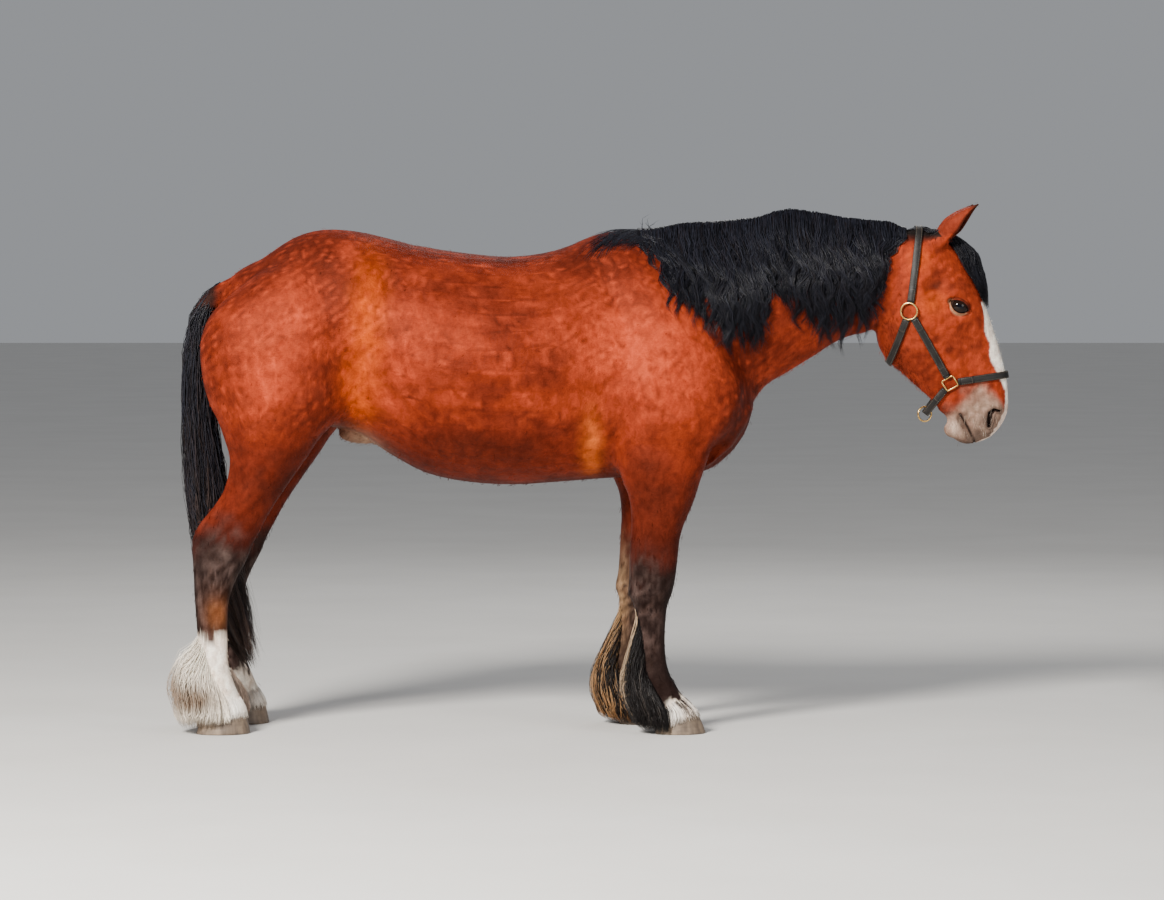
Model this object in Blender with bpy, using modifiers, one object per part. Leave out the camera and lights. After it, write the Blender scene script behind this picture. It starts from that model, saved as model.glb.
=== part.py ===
"""A life-size, still model of a heavy horse that stands square and wears a headcollar.

Metres. +X runs towards the head, +Y to the horse's left side, and +Z up from the ground.
The body is built as overlapping lofted masses, fused into one surface, shaped by broad
hollows and swells, and then parted by thin flat cuts into head, neck, torso, legs and tail.
"""

import math
import random

import bmesh
import bpy
import numpy as np
from mathutils import Matrix, Vector
from mathutils.bvhtree import BVHTree

SEED = 7
GAP = 0.0003                 # air left between two pieces that touch
BODY_VOXEL = 0.010           # fineness at which the body's masses are fused
HEAD_VOXEL = 0.0055          # the same for the head, which holds finer forms
PLACE = Vector((-0.015, 0.0, 0.0))   # brings the middle of the model's bounds over the origin
RIGHT = -1                   # side signs along Y
LEFT = 1

# Profiles. Each row is one cross-section of a mass: the two ends of its depth in the side
# view as (x, z), half its width, how far it is pinched in towards each end (1 is a plain
# oval), and the side distance of its middle from the spine's plane.

TORSO = [
    ((-1.215, 1.475), (-1.215, 1.20), 0.060, 0.9, 0.9, 0),
    ((-1.17, 1.525), (-1.18, 1.12), 0.120, 0.9, 0.9, 0),
    ((-1.09, 1.572), (-1.09, 1.06), 0.180, 0.9, 0.9, 0),
    ((-0.98, 1.642), (-0.98, 1.03), 0.235, 0.9, 0.9, 0),
    ((-0.88, 1.670), (-0.88, 1.01), 0.268, 0.92, 0.9, 0),
    ((-0.77, 1.664), (-0.77, 0.985), 0.285, 0.95, 0.9, 0),
    ((-0.66, 1.640), (-0.66, 0.915), 0.290, 0.9, 0.9, 0),
    ((-0.54, 1.609), (-0.54, 0.852), 0.305, 0.85, 0.95, 0),
    ((-0.40, 1.588), (-0.40, 0.822), 0.322, 0.82, 1.0, 0),
    ((-0.25, 1.577), (-0.25, 0.813), 0.328, 0.80, 1.0, 0),
    ((-0.10, 1.600), (-0.10, 0.822), 0.315, 0.70, 0.95, 0),
    ((0.03, 1.652), (0.03, 0.832), 0.290, 0.52, 0.9, 0),
    ((0.14, 1.668), (0.14, 0.838), 0.262, 0.40, 0.9, 0),
    ((0.26, 1.650), (0.26, 0.842), 0.240, 0.42, 0.9, 0),
    ((0.37, 1.56), (0.38, 0.855), 0.222, 0.60, 0.9, 0),
    ((0.46, 1.42), (0.465, 0.905), 0.190, 0.80, 0.85, 0),
    ((0.525, 1.26), (0.525, 0.985), 0.130, 0.9, 0.9, 0),
    ((0.552, 1.17), (0.552, 1.07), 0.060, 0.9, 0.9, 0),
]
NECK = [
    ((0.06, 1.640), (0.42, 0.960), 0.225, 0.35, 0.8, 0),
    ((0.21, 1.662), (0.530, 1.060), 0.208, 0.34, 0.7, 0),
    ((0.36, 1.678), (0.590, 1.140), 0.176, 0.34, 0.66, 0),
    ((0.50, 1.688), (0.665, 1.187), 0.146, 0.34, 0.64, 0),
    ((0.64, 1.700), (0.750, 1.240), 0.125, 0.36, 0.64, 0),
    ((0.78, 1.698), (0.825, 1.288), 0.113, 0.38, 0.67, 0),
    ((0.90, 1.684), (0.885, 1.312), 0.106, 0.42, 0.70, 0),
    ((1.01, 1.668), (0.955, 1.325), 0.100, 0.52, 0.75, 0),
    ((1.09, 1.655), (1.03, 1.38), 0.085, 0.70, 0.8, 0),
]
SHOULDER = [
    ((0.16, 1.630), (-0.01, 1.590), 0.045, 1, 1, 0.070),
    ((0.25, 1.545), (0.00, 1.450), 0.075, 1, 1, 0.125),
    ((0.35, 1.430), (0.03, 1.290), 0.100, 1, 1, 0.157),
    ((0.450, 1.300), (0.05, 1.140), 0.116, 1, 1, 0.170),
    ((0.515, 1.160), (0.075, 1.010), 0.120, 1, 1, 0.172),
    ((0.500, 1.040), (0.095, 0.930), 0.108, 1, 1, 0.170),
    ((0.430, 0.960), (0.150, 0.890), 0.085, 1, 1, 0.165),
]
BREAST = [
    ((0.40, 1.20), (0.30, 1.08), 0.090, 1, 1, 0.085),
    ((0.515, 1.16), (0.40, 1.00), 0.088, 1, 1, 0.085),
    ((0.545, 1.06), (0.42, 0.92), 0.080, 1, 1, 0.080),
    ((0.480, 0.945), (0.38, 0.865), 0.068, 1, 1, 0.080),
]
FORELEG = [
    ((0.400, 1.120), (0.110, 1.120), 0.085, 1, 1, 0.165),
    ((0.412, 1.000), (0.085, 1.000), 0.096, 1, 1, 0.172),
    ((0.402, 0.905), (0.088, 0.905), 0.097, 1, 1, 0.175),
    ((0.378, 0.840), (0.108, 0.840), 0.090, 1, 1, 0.175),
    ((0.360, 0.790), (0.130, 0.790), 0.082, 1, 1, 0.174),
    ((0.341, 0.742), (0.139, 0.742), 0.075, 1, 0.95, 0.172),
    ((0.319, 0.692), (0.141, 0.692), 0.069, 1, 0.9, 0.170),
    ((0.305, 0.643), (0.138, 0.643), 0.064, 1, 0.9, 0.168),
    ((0.298, 0.577), (0.135, 0.577), 0.061, 1, 0.85, 0.166),
    ((0.290, 0.511), (0.134, 0.511), 0.063, 1, 0.85, 0.165),
    ((0.279, 0.462), (0.131, 0.462), 0.060, 1, 0.8, 0.164),
    ((0.266, 0.429), (0.147, 0.429), 0.050, 1, 0.8, 0.163),
    ((0.259, 0.380), (0.160, 0.380), 0.040, 1, 0.8, 0.162),
    ((0.256, 0.314), (0.162, 0.314), 0.037, 1, 0.8, 0.161),
    ((0.259, 0.248), (0.160, 0.248), 0.041, 1, 0.8, 0.160),
    ((0.271, 0.199), (0.154, 0.196), 0.052, 1, 0.8, 0.160),
    ((0.289, 0.166), (0.170, 0.150), 0.050, 1, 0.9, 0.160),
    ((0.309, 0.133), (0.196, 0.105), 0.049, 1, 1, 0.160),
    ((0.348, 0.094), (0.212, 0.060), 0.063, 1, 1, 0.160),
    ((0.358, 0.070), (0.210, 0.030), 0.066, 1, 1, 0.160),
    ((0.350, 0.040), (0.225, 0.020), 0.055, 1, 1, 0.160),
]
HINDLEG = [
    ((-0.900, 1.560), (-1.080, 1.530), 0.080, 1, 1, 0.130),
    ((-0.830, 1.480), (-1.200, 1.440), 0.115, 1, 1, 0.150),
    ((-0.790, 1.400), (-1.262, 1.370), 0.134, 1, 1, 0.163),
    ((-0.775, 1.300), (-1.284, 1.280), 0.146, 1, 0.95, 0.170),
    ((-0.765, 1.200), (-1.276, 1.180), 0.148, 1, 0.95, 0.173),
    ((-0.785, 1.100), (-1.250, 1.090), 0.140, 1, 0.9, 0.176),
    ((-0.830, 1.030), (-1.221, 1.030), 0.128, 0.95, 0.9, 0.178),
    ((-0.885, 0.972), (-1.201, 0.972), 0.114, 0.95, 0.85, 0.178),
    ((-0.918, 0.923), (-1.186, 0.923), 0.102, 0.95, 0.8, 0.176),
    ((-0.954, 0.873), (-1.186, 0.873), 0.090, 0.95, 0.72, 0.174),
    ((-1.000, 0.807), (-1.204, 0.807), 0.076, 0.95, 0.62, 0.171),
    ((-1.043, 0.742), (-1.240, 0.750), 0.064, 0.95, 0.52, 0.168),
    ((-1.079, 0.676), (-1.288, 0.690), 0.057, 0.95, 0.50, 0.166),
    ((-1.105, 0.627), (-1.309, 0.640), 0.058, 1, 0.50, 0.165),
    ((-1.125, 0.577), (-1.309, 0.577), 0.058, 1, 0.60, 0.164),
    ((-1.160, 0.511), (-1.305, 0.511), 0.052, 1, 0.75, 0.163),
    ((-1.184, 0.446), (-1.303, 0.446), 0.043, 1, 0.8, 0.163),
    ((-1.190, 0.380), (-1.298, 0.380), 0.038, 1, 0.8, 0.163),
    ((-1.191, 0.281), (-1.293, 0.281), 0.038, 1, 0.8, 0.164),
    ((-1.189, 0.232), (-1.296, 0.232), 0.043, 1, 0.8, 0.165),
    ((-1.178, 0.189), (-1.306, 0.185), 0.053, 1, 0.8, 0.166),
    ((-1.165, 0.155), (-1.295, 0.135), 0.050, 1, 0.9, 0.167),
    ((-1.152, 0.125), (-1.285, 0.095), 0.050, 1, 1, 0.168),
    ((-1.134, 0.090), (-1.298, 0.055), 0.064, 1, 1, 0.170),
    ((-1.130, 0.065), (-1.303, 0.027), 0.066, 1, 1, 0.170),
    ((-1.145, 0.035), (-1.290, 0.015), 0.055, 1, 1, 0.170),
]

DOCK = [
    ((-1.060, 1.575), (-1.08, 1.43), 0.070, 1, 1, 0),
    ((-1.160, 1.522), (-1.15, 1.41), 0.055, 1, 1, 0),
    ((-1.225, 1.490), (-1.19, 1.42), 0.040, 1, 1, 0),
    ((-1.275, 1.455), (-1.222, 1.40), 0.033, 1, 1, 0),
    ((-1.315, 1.395), (-1.255, 1.365), 0.030, 1, 1, 0),
]

# How far each leg stands off its profile: a shift at the ground, fading to one above the knee
# or the hock, so the far legs stand a little behind or ahead of the near ones.
FORE_STANCE = {RIGHT: (0.0, 0.0), LEFT: (-0.115, -0.030)}
HIND_STANCE = {RIGHT: (0.0, 0.0), LEFT: (0.040, 0.022)}
STANCE_TOP = 0.59

# The head is measured down its face from the poll: `down` runs along the face and `out`
# stands square to it, towards the front. A row is down, out at the face, out at the jaw,
# half the width, and the pinch towards the face and towards the jaw.
POLL = Vector((1.157, 0.0, 1.657))
FACE_DOWN = Vector((0.3185, 0.0, -0.948)).normalized()
FACE_OUT = Vector((0.948, 0.0, 0.3185)).normalized()
HEAD = [
    (-0.035, -0.045, -0.130, 0.050, 1, 1),
    (0.000, -0.008, -0.190, 0.076, 1, 0.9),
    (0.045, 0.030, -0.235, 0.088, 1, 0.85),
    (0.100, 0.054, -0.266, 0.098, 1, 0.8),
    (0.165, 0.065, -0.288, 0.105, 1.06, 0.72),
    (0.235, 0.076, -0.303, 0.107, 1.08, 0.64),
    (0.300, 0.0820, -0.306, 0.102, 0.96, 0.58),
    (0.360, 0.082, -0.291, 0.092, 0.78, 0.55),
    (0.420, 0.081, -0.262, 0.080, 0.72, 0.55),
    (0.480, 0.0780, -0.231, 0.070, 0.70, 0.55),
    (0.540, 0.0720, -0.197, 0.064, 0.72, 0.6),
    (0.590, 0.0600, -0.172, 0.062, 0.80, 0.6),
    (0.630, 0.0470, -0.168, 0.063, 0.85, 0.62),
    (0.660, 0.0280, -0.166, 0.060, 0.9, 0.7),
    (0.688, -0.004, -0.150, 0.052, 1, 0.8),
    (0.706, -0.038, -0.125, 0.038, 1, 1),
]
CHIN_BALL = (0.640, -0.150, 0.034)   # down, out, radius
EYE_DOWN = 0.256
EYE_OUT = -0.010
EYE_SIDE = 0.0900
EYE_R = 0.0265
LID = 0.0045                          # how far the lids stand off the eyeball
LID_SINK = 0.0130                     # what the swell round the eye adds to them later
EAR_ROOT = (0.033, -0.005, 0.060)     # down, out, side
EAR_AIM = Vector((0.66, 0.20, 0.72)).normalized()

SHEATH = (Vector((-0.740, 0.0, 0.985)), Vector((0.095, 0.040, 0.036)))

# Cuts, as a point and the direction that the outer piece lies in.
HEAD_CUT = (Vector((0.985, 0.0, 1.50)), Vector((0.948, 0.0, -0.3185)).normalized())
NECK_CUT = (Vector((0.395, 0.0, 1.40)), Vector((0.826, 0.0, 0.564)).normalized())
DOCK_CUT = (Vector((-1.232, 0.0, 1.452)), Vector((-0.80, 0.0, -0.60)).normalized())
FORE_CUT_Z = 0.800
HIND_CUT_Z = 0.900
EAR_CUT = 0.030              # from the ear's root to its flat seat, along the ear
CUT_MARGIN = 0.04            # how far past its cut a piece is thinned

# About how many triangles each piece keeps before its locks and openings are added.
BUDGET = {"torso": 1800, "neck": 760, "head": 1900, "leg_front": 480, "leg_hind": 540}

# Where the hair line of a hoof lies, as a point, and how far it rises for each metre forward.
FORE_HAIR_LINE = (Vector((0.285, 0.0, 0.0586)), 0.36)
HIND_HAIR_LINE = (Vector((-1.215, 0.0, 0.065)), 0.25)

# A hoof's ground outline and its outline at the hair line: middle, half length, half width.
FORE_HOOF = ((0.300, 0.0905, 0.080), (0.285, 0.0700, 0.0655))
HIND_HOOF = ((-1.212, 0.0955, 0.080), (-1.215, 0.0800, 0.0655))
FORE_HOOF_SIDE = 0.160
HIND_HOOF_SIDE = 0.170
HEEL_NOTCH = 0.016           # how far the cleft between the heels runs in

# The ear, along its length from its seat: half width, half depth, and half the angle of its wall.
EAR = [
    (0.000, 0.0265, 0.0270, 162),
    (0.020, 0.0310, 0.0290, 158),
    (0.045, 0.0360, 0.0310, 148),
    (0.070, 0.0370, 0.0280, 134),
    (0.095, 0.0335, 0.0225, 120),
    (0.120, 0.0235, 0.0145, 108),
    (0.140, 0.0115, 0.0075, 98),
    (0.152, 0.0035, 0.0032, 90),
]
EAR_WALL = (0.0045, 0.0014)  # thickness at the seat and at the tip
EYE_SLIT = (0.055, 0.034)    # length and height of the opening between the lids
EYE_SLIT_AIM = (0.734, 0.680)    # the slit's long axis, as down and out

NOSTRIL = [
    (0.652, -0.024, 0.090, 0.033, 0.0125),
    (0.651, -0.023, 0.064, 0.031, 0.0110),
    (0.640, -0.020, 0.048, 0.024, 0.0095),
    (0.618, -0.014, 0.036, 0.015, 0.0080),
    (0.590, -0.008, 0.029, 0.007, 0.0060),
]
NOSTRIL_AIM = (0.82, -0.57)
NOSTRIL_BEND = 0.007
MOUTH = [(0.598, -0.1175), (0.622, -0.112), (0.650, -0.107), (0.690, -0.102), (0.730, -0.098)]
MOUTH_GAP = 0.0022
MOUTH_DEPTH = 0.008


# Hair in the solids: how many locks in each row, how wide and how thick each is, before its taper.
MANE = {"rows": (12, 10), "width": 0.076, "thick": 0.012}
FORELOCK = {"rows": (2, 2, 1), "width": 0.062, "thick": 0.020}
FEATHER = {"rows": (5, 4), "width": 0.074, "thick": 0.016}
TAIL = {"rows": (8, 6), "width": 0.064, "thick": 0.026}
ROOT_DEPTH = 0.014           # how far a lock is sunk in what it grows from
MANE_FROM = 0.238            # the mane's ends along the neck
MANE_TO = 1.010
CHEEK_FROM = 0.90            # from here on the mane stands off further, to clear the cheek
CHEEK_LIFT = 0.010
MANE_LEAN = 0.055            # how far the last locks lean back over the withers
# How high the mane stands over the crest, and how low it hangs, at places along X.
MANE_TOPS = [
    (0.20, 1.683), (0.32, 1.693), (0.45, 1.695), (0.56, 1.710), (0.62, 1.731), (0.67, 1.740),
    (0.75, 1.731), (0.85, 1.711), (0.96, 1.700), (1.04, 1.697),
]
MANE_ENDS = [
    (0.21, 1.56), (0.27, 1.43), (0.37, 1.36), (0.47, 1.28), (0.56, 1.28), (0.62, 1.43),
    (0.70, 1.37), (0.77, 1.31), (0.84, 1.30), (0.94, 1.36), (0.99, 1.46), (1.04, 1.53),
]
# The forelock: how far down the face it hangs, and how far its outer hair stands off the
# forehead, at places down the face.
FORELOCK_END = 0.285
FORELOCK_STAND = [(0.0, 0.012), (0.04, 0.030), (0.12, 0.041), (0.20, 0.030), (0.29, 0.008)]
# The feather: how far its outer hair stands behind the middle of the leg, and to its side, at
# heights over the ground; from which heights each row of locks grows and where it ends.
FORE_FEATHER = [
    (0.0, 0.090), (0.03, 0.138), (0.09, 0.156), (0.14, 0.136), (0.21, 0.100), (0.30, 0.074), (0.38, 0.052),
]
HIND_FEATHER = [(0.0, 0.115), (0.06, 0.154), (0.14, 0.170), (0.20, 0.145), (0.30, 0.100), (0.38, 0.060)]
SIDE_FEATHER = [(0.0, 0.098), (0.06, 0.103), (0.12, 0.084), (0.20, 0.068), (0.30, 0.050), (0.38, 0.036)]
FEATHER_ROOTS = (0.37, 0.235)
FEATHER_TIPS = (0.030, 0.006)
FEATHER_REACH = (72, 104)    # how far round from the back of the leg each row grows, in degrees
FEATHER_LAYER = 0.010        # how much further in each row lies than the one over it
# The tail's middle line from its root, with half its depth and half its width.
TAIL_LINE = [
    ((-1.200, 1.490), 0.030, 0.030),
    ((-1.255, 1.445), 0.032, 0.032),
    ((-1.292, 1.370), 0.036, 0.036),
    ((-1.302, 1.260), 0.042, 0.044),
    ((-1.303, 1.100), 0.046, 0.052),
    ((-1.290, 0.930), 0.056, 0.062),
    ((-1.272, 0.760), 0.066, 0.072),
    ((-1.248, 0.600), 0.064, 0.075),
    ((-1.208, 0.450), 0.062, 0.070),
    ((-1.158, 0.300), 0.046, 0.052),
    ((-1.112, 0.190), 0.022, 0.028),
]
TAIL_CORE_END = 5            # the row of the tail's line at which its solid middle ends
TAIL_ROOM = 0.006            # air round the tail where the buttocks close on it

# The headcollar, in the head's measures: down and out.
RING_AT = (0.219, -0.172)
SQUARE_AT = (0.489, -0.1155)
CROWN_TOP = (-0.031, -0.050)
NOSE_FRONT = (0.526, 0.078)
CHIN_LOW = (0.562, -0.222)
THROAT_LOW = (0.371, -0.292)
STRAP_WIDE = 0.024
STRAP_THICK = 0.0040
STRAP_CLEAR = 0.0050         # air between a strap and the skin
RING_R = 0.0275
RING_WIRE = 0.0030
CHIN_RING_R = 0.0245
CHIN_RING_TURN = 24           # how far the ring has swung round the strap it hangs on, in degrees
SQUARE_HALF = (0.0190, 0.0215)   # half its length along the cheek strap, and across
SQUARE_BAR = 0.0045


def clear_scene():
    for item in list(bpy.data.objects):
        bpy.data.objects.remove(item)


def collection(name, hidden=False):
    made = bpy.data.collections.new(name)
    bpy.context.scene.collection.children.link(made)
    made.hide_render = hidden
    return made


def material(name, colour, roughness, metallic=0.0):
    made = bpy.data.materials.new(name)
    made.use_nodes = True
    shader = made.node_tree.nodes["Principled BSDF"]
    shader.inputs["Base Color"].default_value = (*colour, 1)
    shader.inputs["Roughness"].default_value = roughness
    shader.inputs["Metallic"].default_value = metallic
    return made


def head_point(down, out, side=0.0):
    """A place on the head, from its distance down the face, out from it and to the side."""
    return POLL + FACE_DOWN * down + FACE_OUT * out + Vector((0, side, 0))


def flat_rows(rows, side=1):
    """The rows of a profile as one table of numbers."""
    return np.array(
        [[*upper, *lower, half, up, low, side * middle] for upper, lower, half, up, low, middle in rows]
    )


def head_rows(inset=0.0):
    """The head's rows, turned from its own measures into the side view's and drawn in by the inset."""
    rows = []
    for down, face, jaw, half, up, low in HEAD:
        front = head_point(down - inset, face - inset)
        back = head_point(down - inset, jaw + inset)
        rows.append(((front.x, front.z), (back.x, back.z), half - inset, up, low, 0))
    return flat_rows(rows)


def smooth_rows(rows, steps):
    """More rows between the given ones, on smooth curves through them."""
    padded = np.vstack([2 * rows[0] - rows[1], rows, 2 * rows[-1] - rows[-2]])
    made = []
    for i in range(len(rows) - 1):
        before, start, end, after = padded[i : i + 4]
        for step in range(steps):
            t = step / steps
            made.append(
                start
                + 0.5 * t * (end - before)
                + t * t * (before - 2.5 * start + 2 * end - 0.5 * after)
                + t**3 * (1.5 * (start - end) + 0.5 * (after - before))
            )
    return np.array([*made, rows[-1]])


def ring_of(row, sides, roundness=2.25):
    """The outline of one cross-section, as points in space."""
    upper_x, upper_z, lower_x, lower_z, half, up, low, middle = row
    points = []
    for i in range(sides):
        angle = 2 * math.pi * i / sides
        along = math.copysign(abs(math.cos(angle)) ** (2 / roundness), math.cos(angle))
        across = math.copysign(abs(math.sin(angle)) ** (2 / roundness), math.sin(angle))
        pinch = 1 + (up - 1) * max(along, 0) ** 1.5 + (low - 1) * max(-along, 0) ** 1.5
        points.append(
            Vector(
                (
                    (upper_x + lower_x) / 2 + (upper_x - lower_x) / 2 * along,
                    middle + half * across * pinch,
                    (upper_z + lower_z) / 2 + (upper_z - lower_z) / 2 * along,
                )
            )
        )
    return points


def skin_rings(shape, rings, closed=False):
    """Joins rings of equal count into one tube, with flat ends or closed in a loop."""
    lines = [[shape.verts.new(point) for point in ring] for ring in rings]
    count = len(lines[0])
    made = []
    follow = [*lines[1:], lines[0]] if closed else lines[1:]
    for first, second in zip(lines, follow):
        for i in range(count):
            j = (i + 1) % count
            made.append(shape.faces.new((first[i], first[j], second[j], second[i])))
    if not closed:
        made.append(shape.faces.new(lines[0]))
        made.append(shape.faces.new(lines[-1]))
    bmesh.ops.recalc_face_normals(shape, faces=made)


def add_loft(shape, rows, sides=28, steps=3, roundness=2.25):
    skin_rings(shape, [ring_of(row, sides, roundness) for row in smooth_rows(rows, steps)])


def add_ball(shape, centre, radii, turn=None):
    matrix = Matrix.Translation(centre) @ (turn or Matrix()) @ Matrix.Diagonal((*radii, 1))
    bmesh.ops.create_uvsphere(shape, u_segments=24, v_segments=16, radius=1, matrix=matrix)


def stance(rows, shift):
    """A leg's rows, moved along X by the ground shift below and the upper shift above."""
    ground, upper = shift
    moved = rows.copy()
    for column in (0, 2):
        share = np.clip(rows[:, column + 1] / STANCE_TOP, 0, 1)
        share = share**2 * (3 - 2 * share)
        fade = np.clip((1.35 - rows[:, column + 1]) / 0.35, 0, 1)
        moved[:, column] += (ground + (upper - ground) * share) * fade
    return moved


def add_body(shape):
    add_loft(shape, flat_rows(TORSO), sides=40)
    add_loft(shape, flat_rows(DOCK))
    add_ball(shape, *SHEATH)
    for side in (RIGHT, LEFT):
        add_loft(shape, flat_rows(SHOULDER, side))
        add_loft(shape, flat_rows(BREAST, side))
        add_loft(shape, stance(flat_rows(FORELEG, side), FORE_STANCE[side]))
        add_loft(shape, stance(flat_rows(HINDLEG, side), HIND_STANCE[side]), sides=32)


def add_head(shape):
    add_loft(shape, head_rows(), sides=40, roundness=2.5)
    down, out, radius = CHIN_BALL
    add_ball(shape, head_point(down, out), (radius, radius * 1.05, radius))
    for side in (RIGHT, LEFT):
        lids = head_point(EYE_DOWN, EYE_OUT, side * (EYE_SIDE - LID_SINK))
        add_ball(shape, lids, (EYE_R + LID,) * 3)
        root = head_point(*EAR_ROOT[:2], side * EAR_ROOT[2])
        aim = Vector((EAR_AIM.x, side * EAR_AIM.y, EAR_AIM.z))
        turn = aim.to_track_quat("Z", "Y").to_matrix().to_4x4()
        add_ball(shape, root, (0.034, 0.034, 0.050), turn)


def fused(shape, name, voxel):
    """One closed surface over everything in the shape."""
    mesh = bpy.data.meshes.new(name)
    shape.to_mesh(mesh)
    shape.free()
    holder = bpy.data.objects.new(name, mesh)
    bpy.context.scene.collection.objects.link(holder)
    modifier = holder.modifiers.new("fuse", "REMESH")
    modifier.mode = "VOXEL"
    modifier.voxel_size = voxel
    made = evaluated_mesh(holder, name)
    bpy.data.objects.remove(holder)
    return made


def evaluated_mesh(holder, name):
    bpy.context.view_layer.update()
    graph = bpy.context.evaluated_depsgraph_get()
    made = bpy.data.meshes.new_from_object(holder.evaluated_get(graph))
    made.name = name
    return made


def points_of(mesh):
    points = np.empty(len(mesh.vertices) * 3, np.float32)
    mesh.vertices.foreach_get("co", points)
    return points.reshape(-1, 3).astype(float)


def normals_of(mesh):
    normals = np.empty(len(mesh.vertices) * 3, np.float32)
    mesh.vertices.foreach_get("normal", normals)
    return normals.reshape(-1, 3).astype(float)


def set_points(mesh, points):
    mesh.vertices.foreach_set("co", points.astype(np.float32).ravel())
    mesh.update()


def relax(mesh, rounds):
    """Evens the surface without shrinking it: each round draws points in and lets them out again."""
    even(mesh, rounds, (0.60, -0.615), 1.0)


def even(mesh, rounds, factors, share):
    """Moves each point towards the middle of its neighbours, by each factor in turn."""
    edges = np.empty(len(mesh.edges) * 2, np.int32)
    mesh.edges.foreach_get("vertices", edges)
    first, second = edges.reshape(-1, 2).T
    points = points_of(mesh)
    count = len(points)
    degree = np.maximum(np.bincount(first, minlength=count) + np.bincount(second, minlength=count), 1)
    share = np.broadcast_to(share, count)
    for factor in factors * rounds:
        mean = np.empty_like(points)
        for axis in range(3):
            mean[:, axis] = (
                np.bincount(first, points[second, axis], count)
                + np.bincount(second, points[first, axis], count)
            ) / degree
        points += (mean - points) * (factor * share)[:, None]
    set_points(mesh, points)


def press(mesh, strokes):
    """Raises or hollows the surface along broad strokes. Each is a list of points, a width
    and a height, which is negative for a hollow, and it is made on both sides."""
    points = points_of(mesh)
    normals = normals_of(mesh)
    rise = np.zeros(len(points))
    for path, width, height in strokes:
        for side in (1, -1):
            line = np.array([(x, side * y, z) for x, y, z in path])
            rise += height * np.exp(-((distance_to(points, line) / width) ** 2))
    set_points(mesh, points + normals * rise[:, None])


def soften(mesh, paths, rounds):
    """Melts the step where two masses meet. Each path is a list of points and a width."""
    points = points_of(mesh)
    share = np.zeros(len(points))
    for path, width in paths:
        for side in (1, -1):
            line = np.array([(x, side * y, z) for x, y, z in path])
            share = np.maximum(share, np.exp(-((distance_to(points, line) / width) ** 2)))
    even(mesh, rounds, (0.6,), share)


def distance_to(points, line):
    """How far each point is from a line through the given places."""
    if len(line) == 1:
        return np.linalg.norm(points - line[0], axis=1)
    nearest = np.full(len(points), np.inf)
    for start, end in zip(line, line[1:]):
        run = end - start
        t = np.clip((points - start) @ run / (run @ run), 0, 1)
        nearest = np.minimum(nearest, np.linalg.norm(points - start - t[:, None] * run, axis=1))
    return nearest


def body_strokes():
    """Muscles and hollows of the body, on its right and left."""
    return [
        ([(-0.655, 0.25, 1.50), (-0.69, 0.29, 1.38), (-0.72, 0.30, 1.26)], 0.065, -0.016),
        ([(-0.72, 0.30, 1.26), (-0.765, 0.28, 1.10)], 0.045, -0.012),
        ([(0.030, 0.30, 1.36), (0.035, 0.30, 1.20), (0.060, 0.27, 1.02)], 0.050, -0.010),
        ([(0.16, 0.28, 1.12), (0.22, 0.29, 1.02)], 0.085, 0.012),
        ([(0.30, 0.17, 1.54), (0.41, 0.21, 1.38), (0.51, 0.22, 1.22)], 0.040, -0.008),
        ([(0.24, 0.25, 1.40), (0.36, 0.28, 1.18)], 0.050, 0.008),
        ([(0.31, 0.29, 1.20), (0.40, 0.28, 1.04), (0.36, 0.25, 0.94)], 0.028, -0.008),
        ([(-1.00, 0.29, 1.48), (-1.13, 0.31, 1.30), (-1.10, 0.31, 1.08)], 0.026, -0.008),
        ([(-0.86, 0.31, 1.40), (-0.90, 0.33, 1.22), (-0.88, 0.31, 1.04)], 0.070, 0.010),
        ([(-1.02, 0.33, 1.10), (-1.04, 0.31, 0.98)], 0.080, 0.008),
        ([(-1.215, 0.21, 0.80), (-1.235, 0.205, 0.73)], 0.022, -0.011),
        ([(-1.195, 0.13, 0.80), (-1.225, 0.12, 0.73)], 0.022, -0.011),
        ([(-0.60, 0.0, 1.63), (-0.85, 0.0, 1.67), (-1.08, 0.0, 1.58)], 0.030, -0.008),
        ([(0.50, 0.0, 1.12), (0.52, 0.0, 1.00), (0.45, 0.0, 0.90)], 0.022, -0.014),
        ([(-1.24, 0.0, 1.38), (-1.23, 0.0, 1.24), (-1.20, 0.0, 1.12)], 0.040, -0.010),
        ([(0.58, 0.11, 1.20), (0.76, 0.10, 1.33), (0.92, 0.095, 1.42)], 0.024, -0.007),
        ([(-0.10, 0.31, 0.98), (-0.45, 0.30, 0.94)], 0.10, 0.004),
    ]


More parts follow.
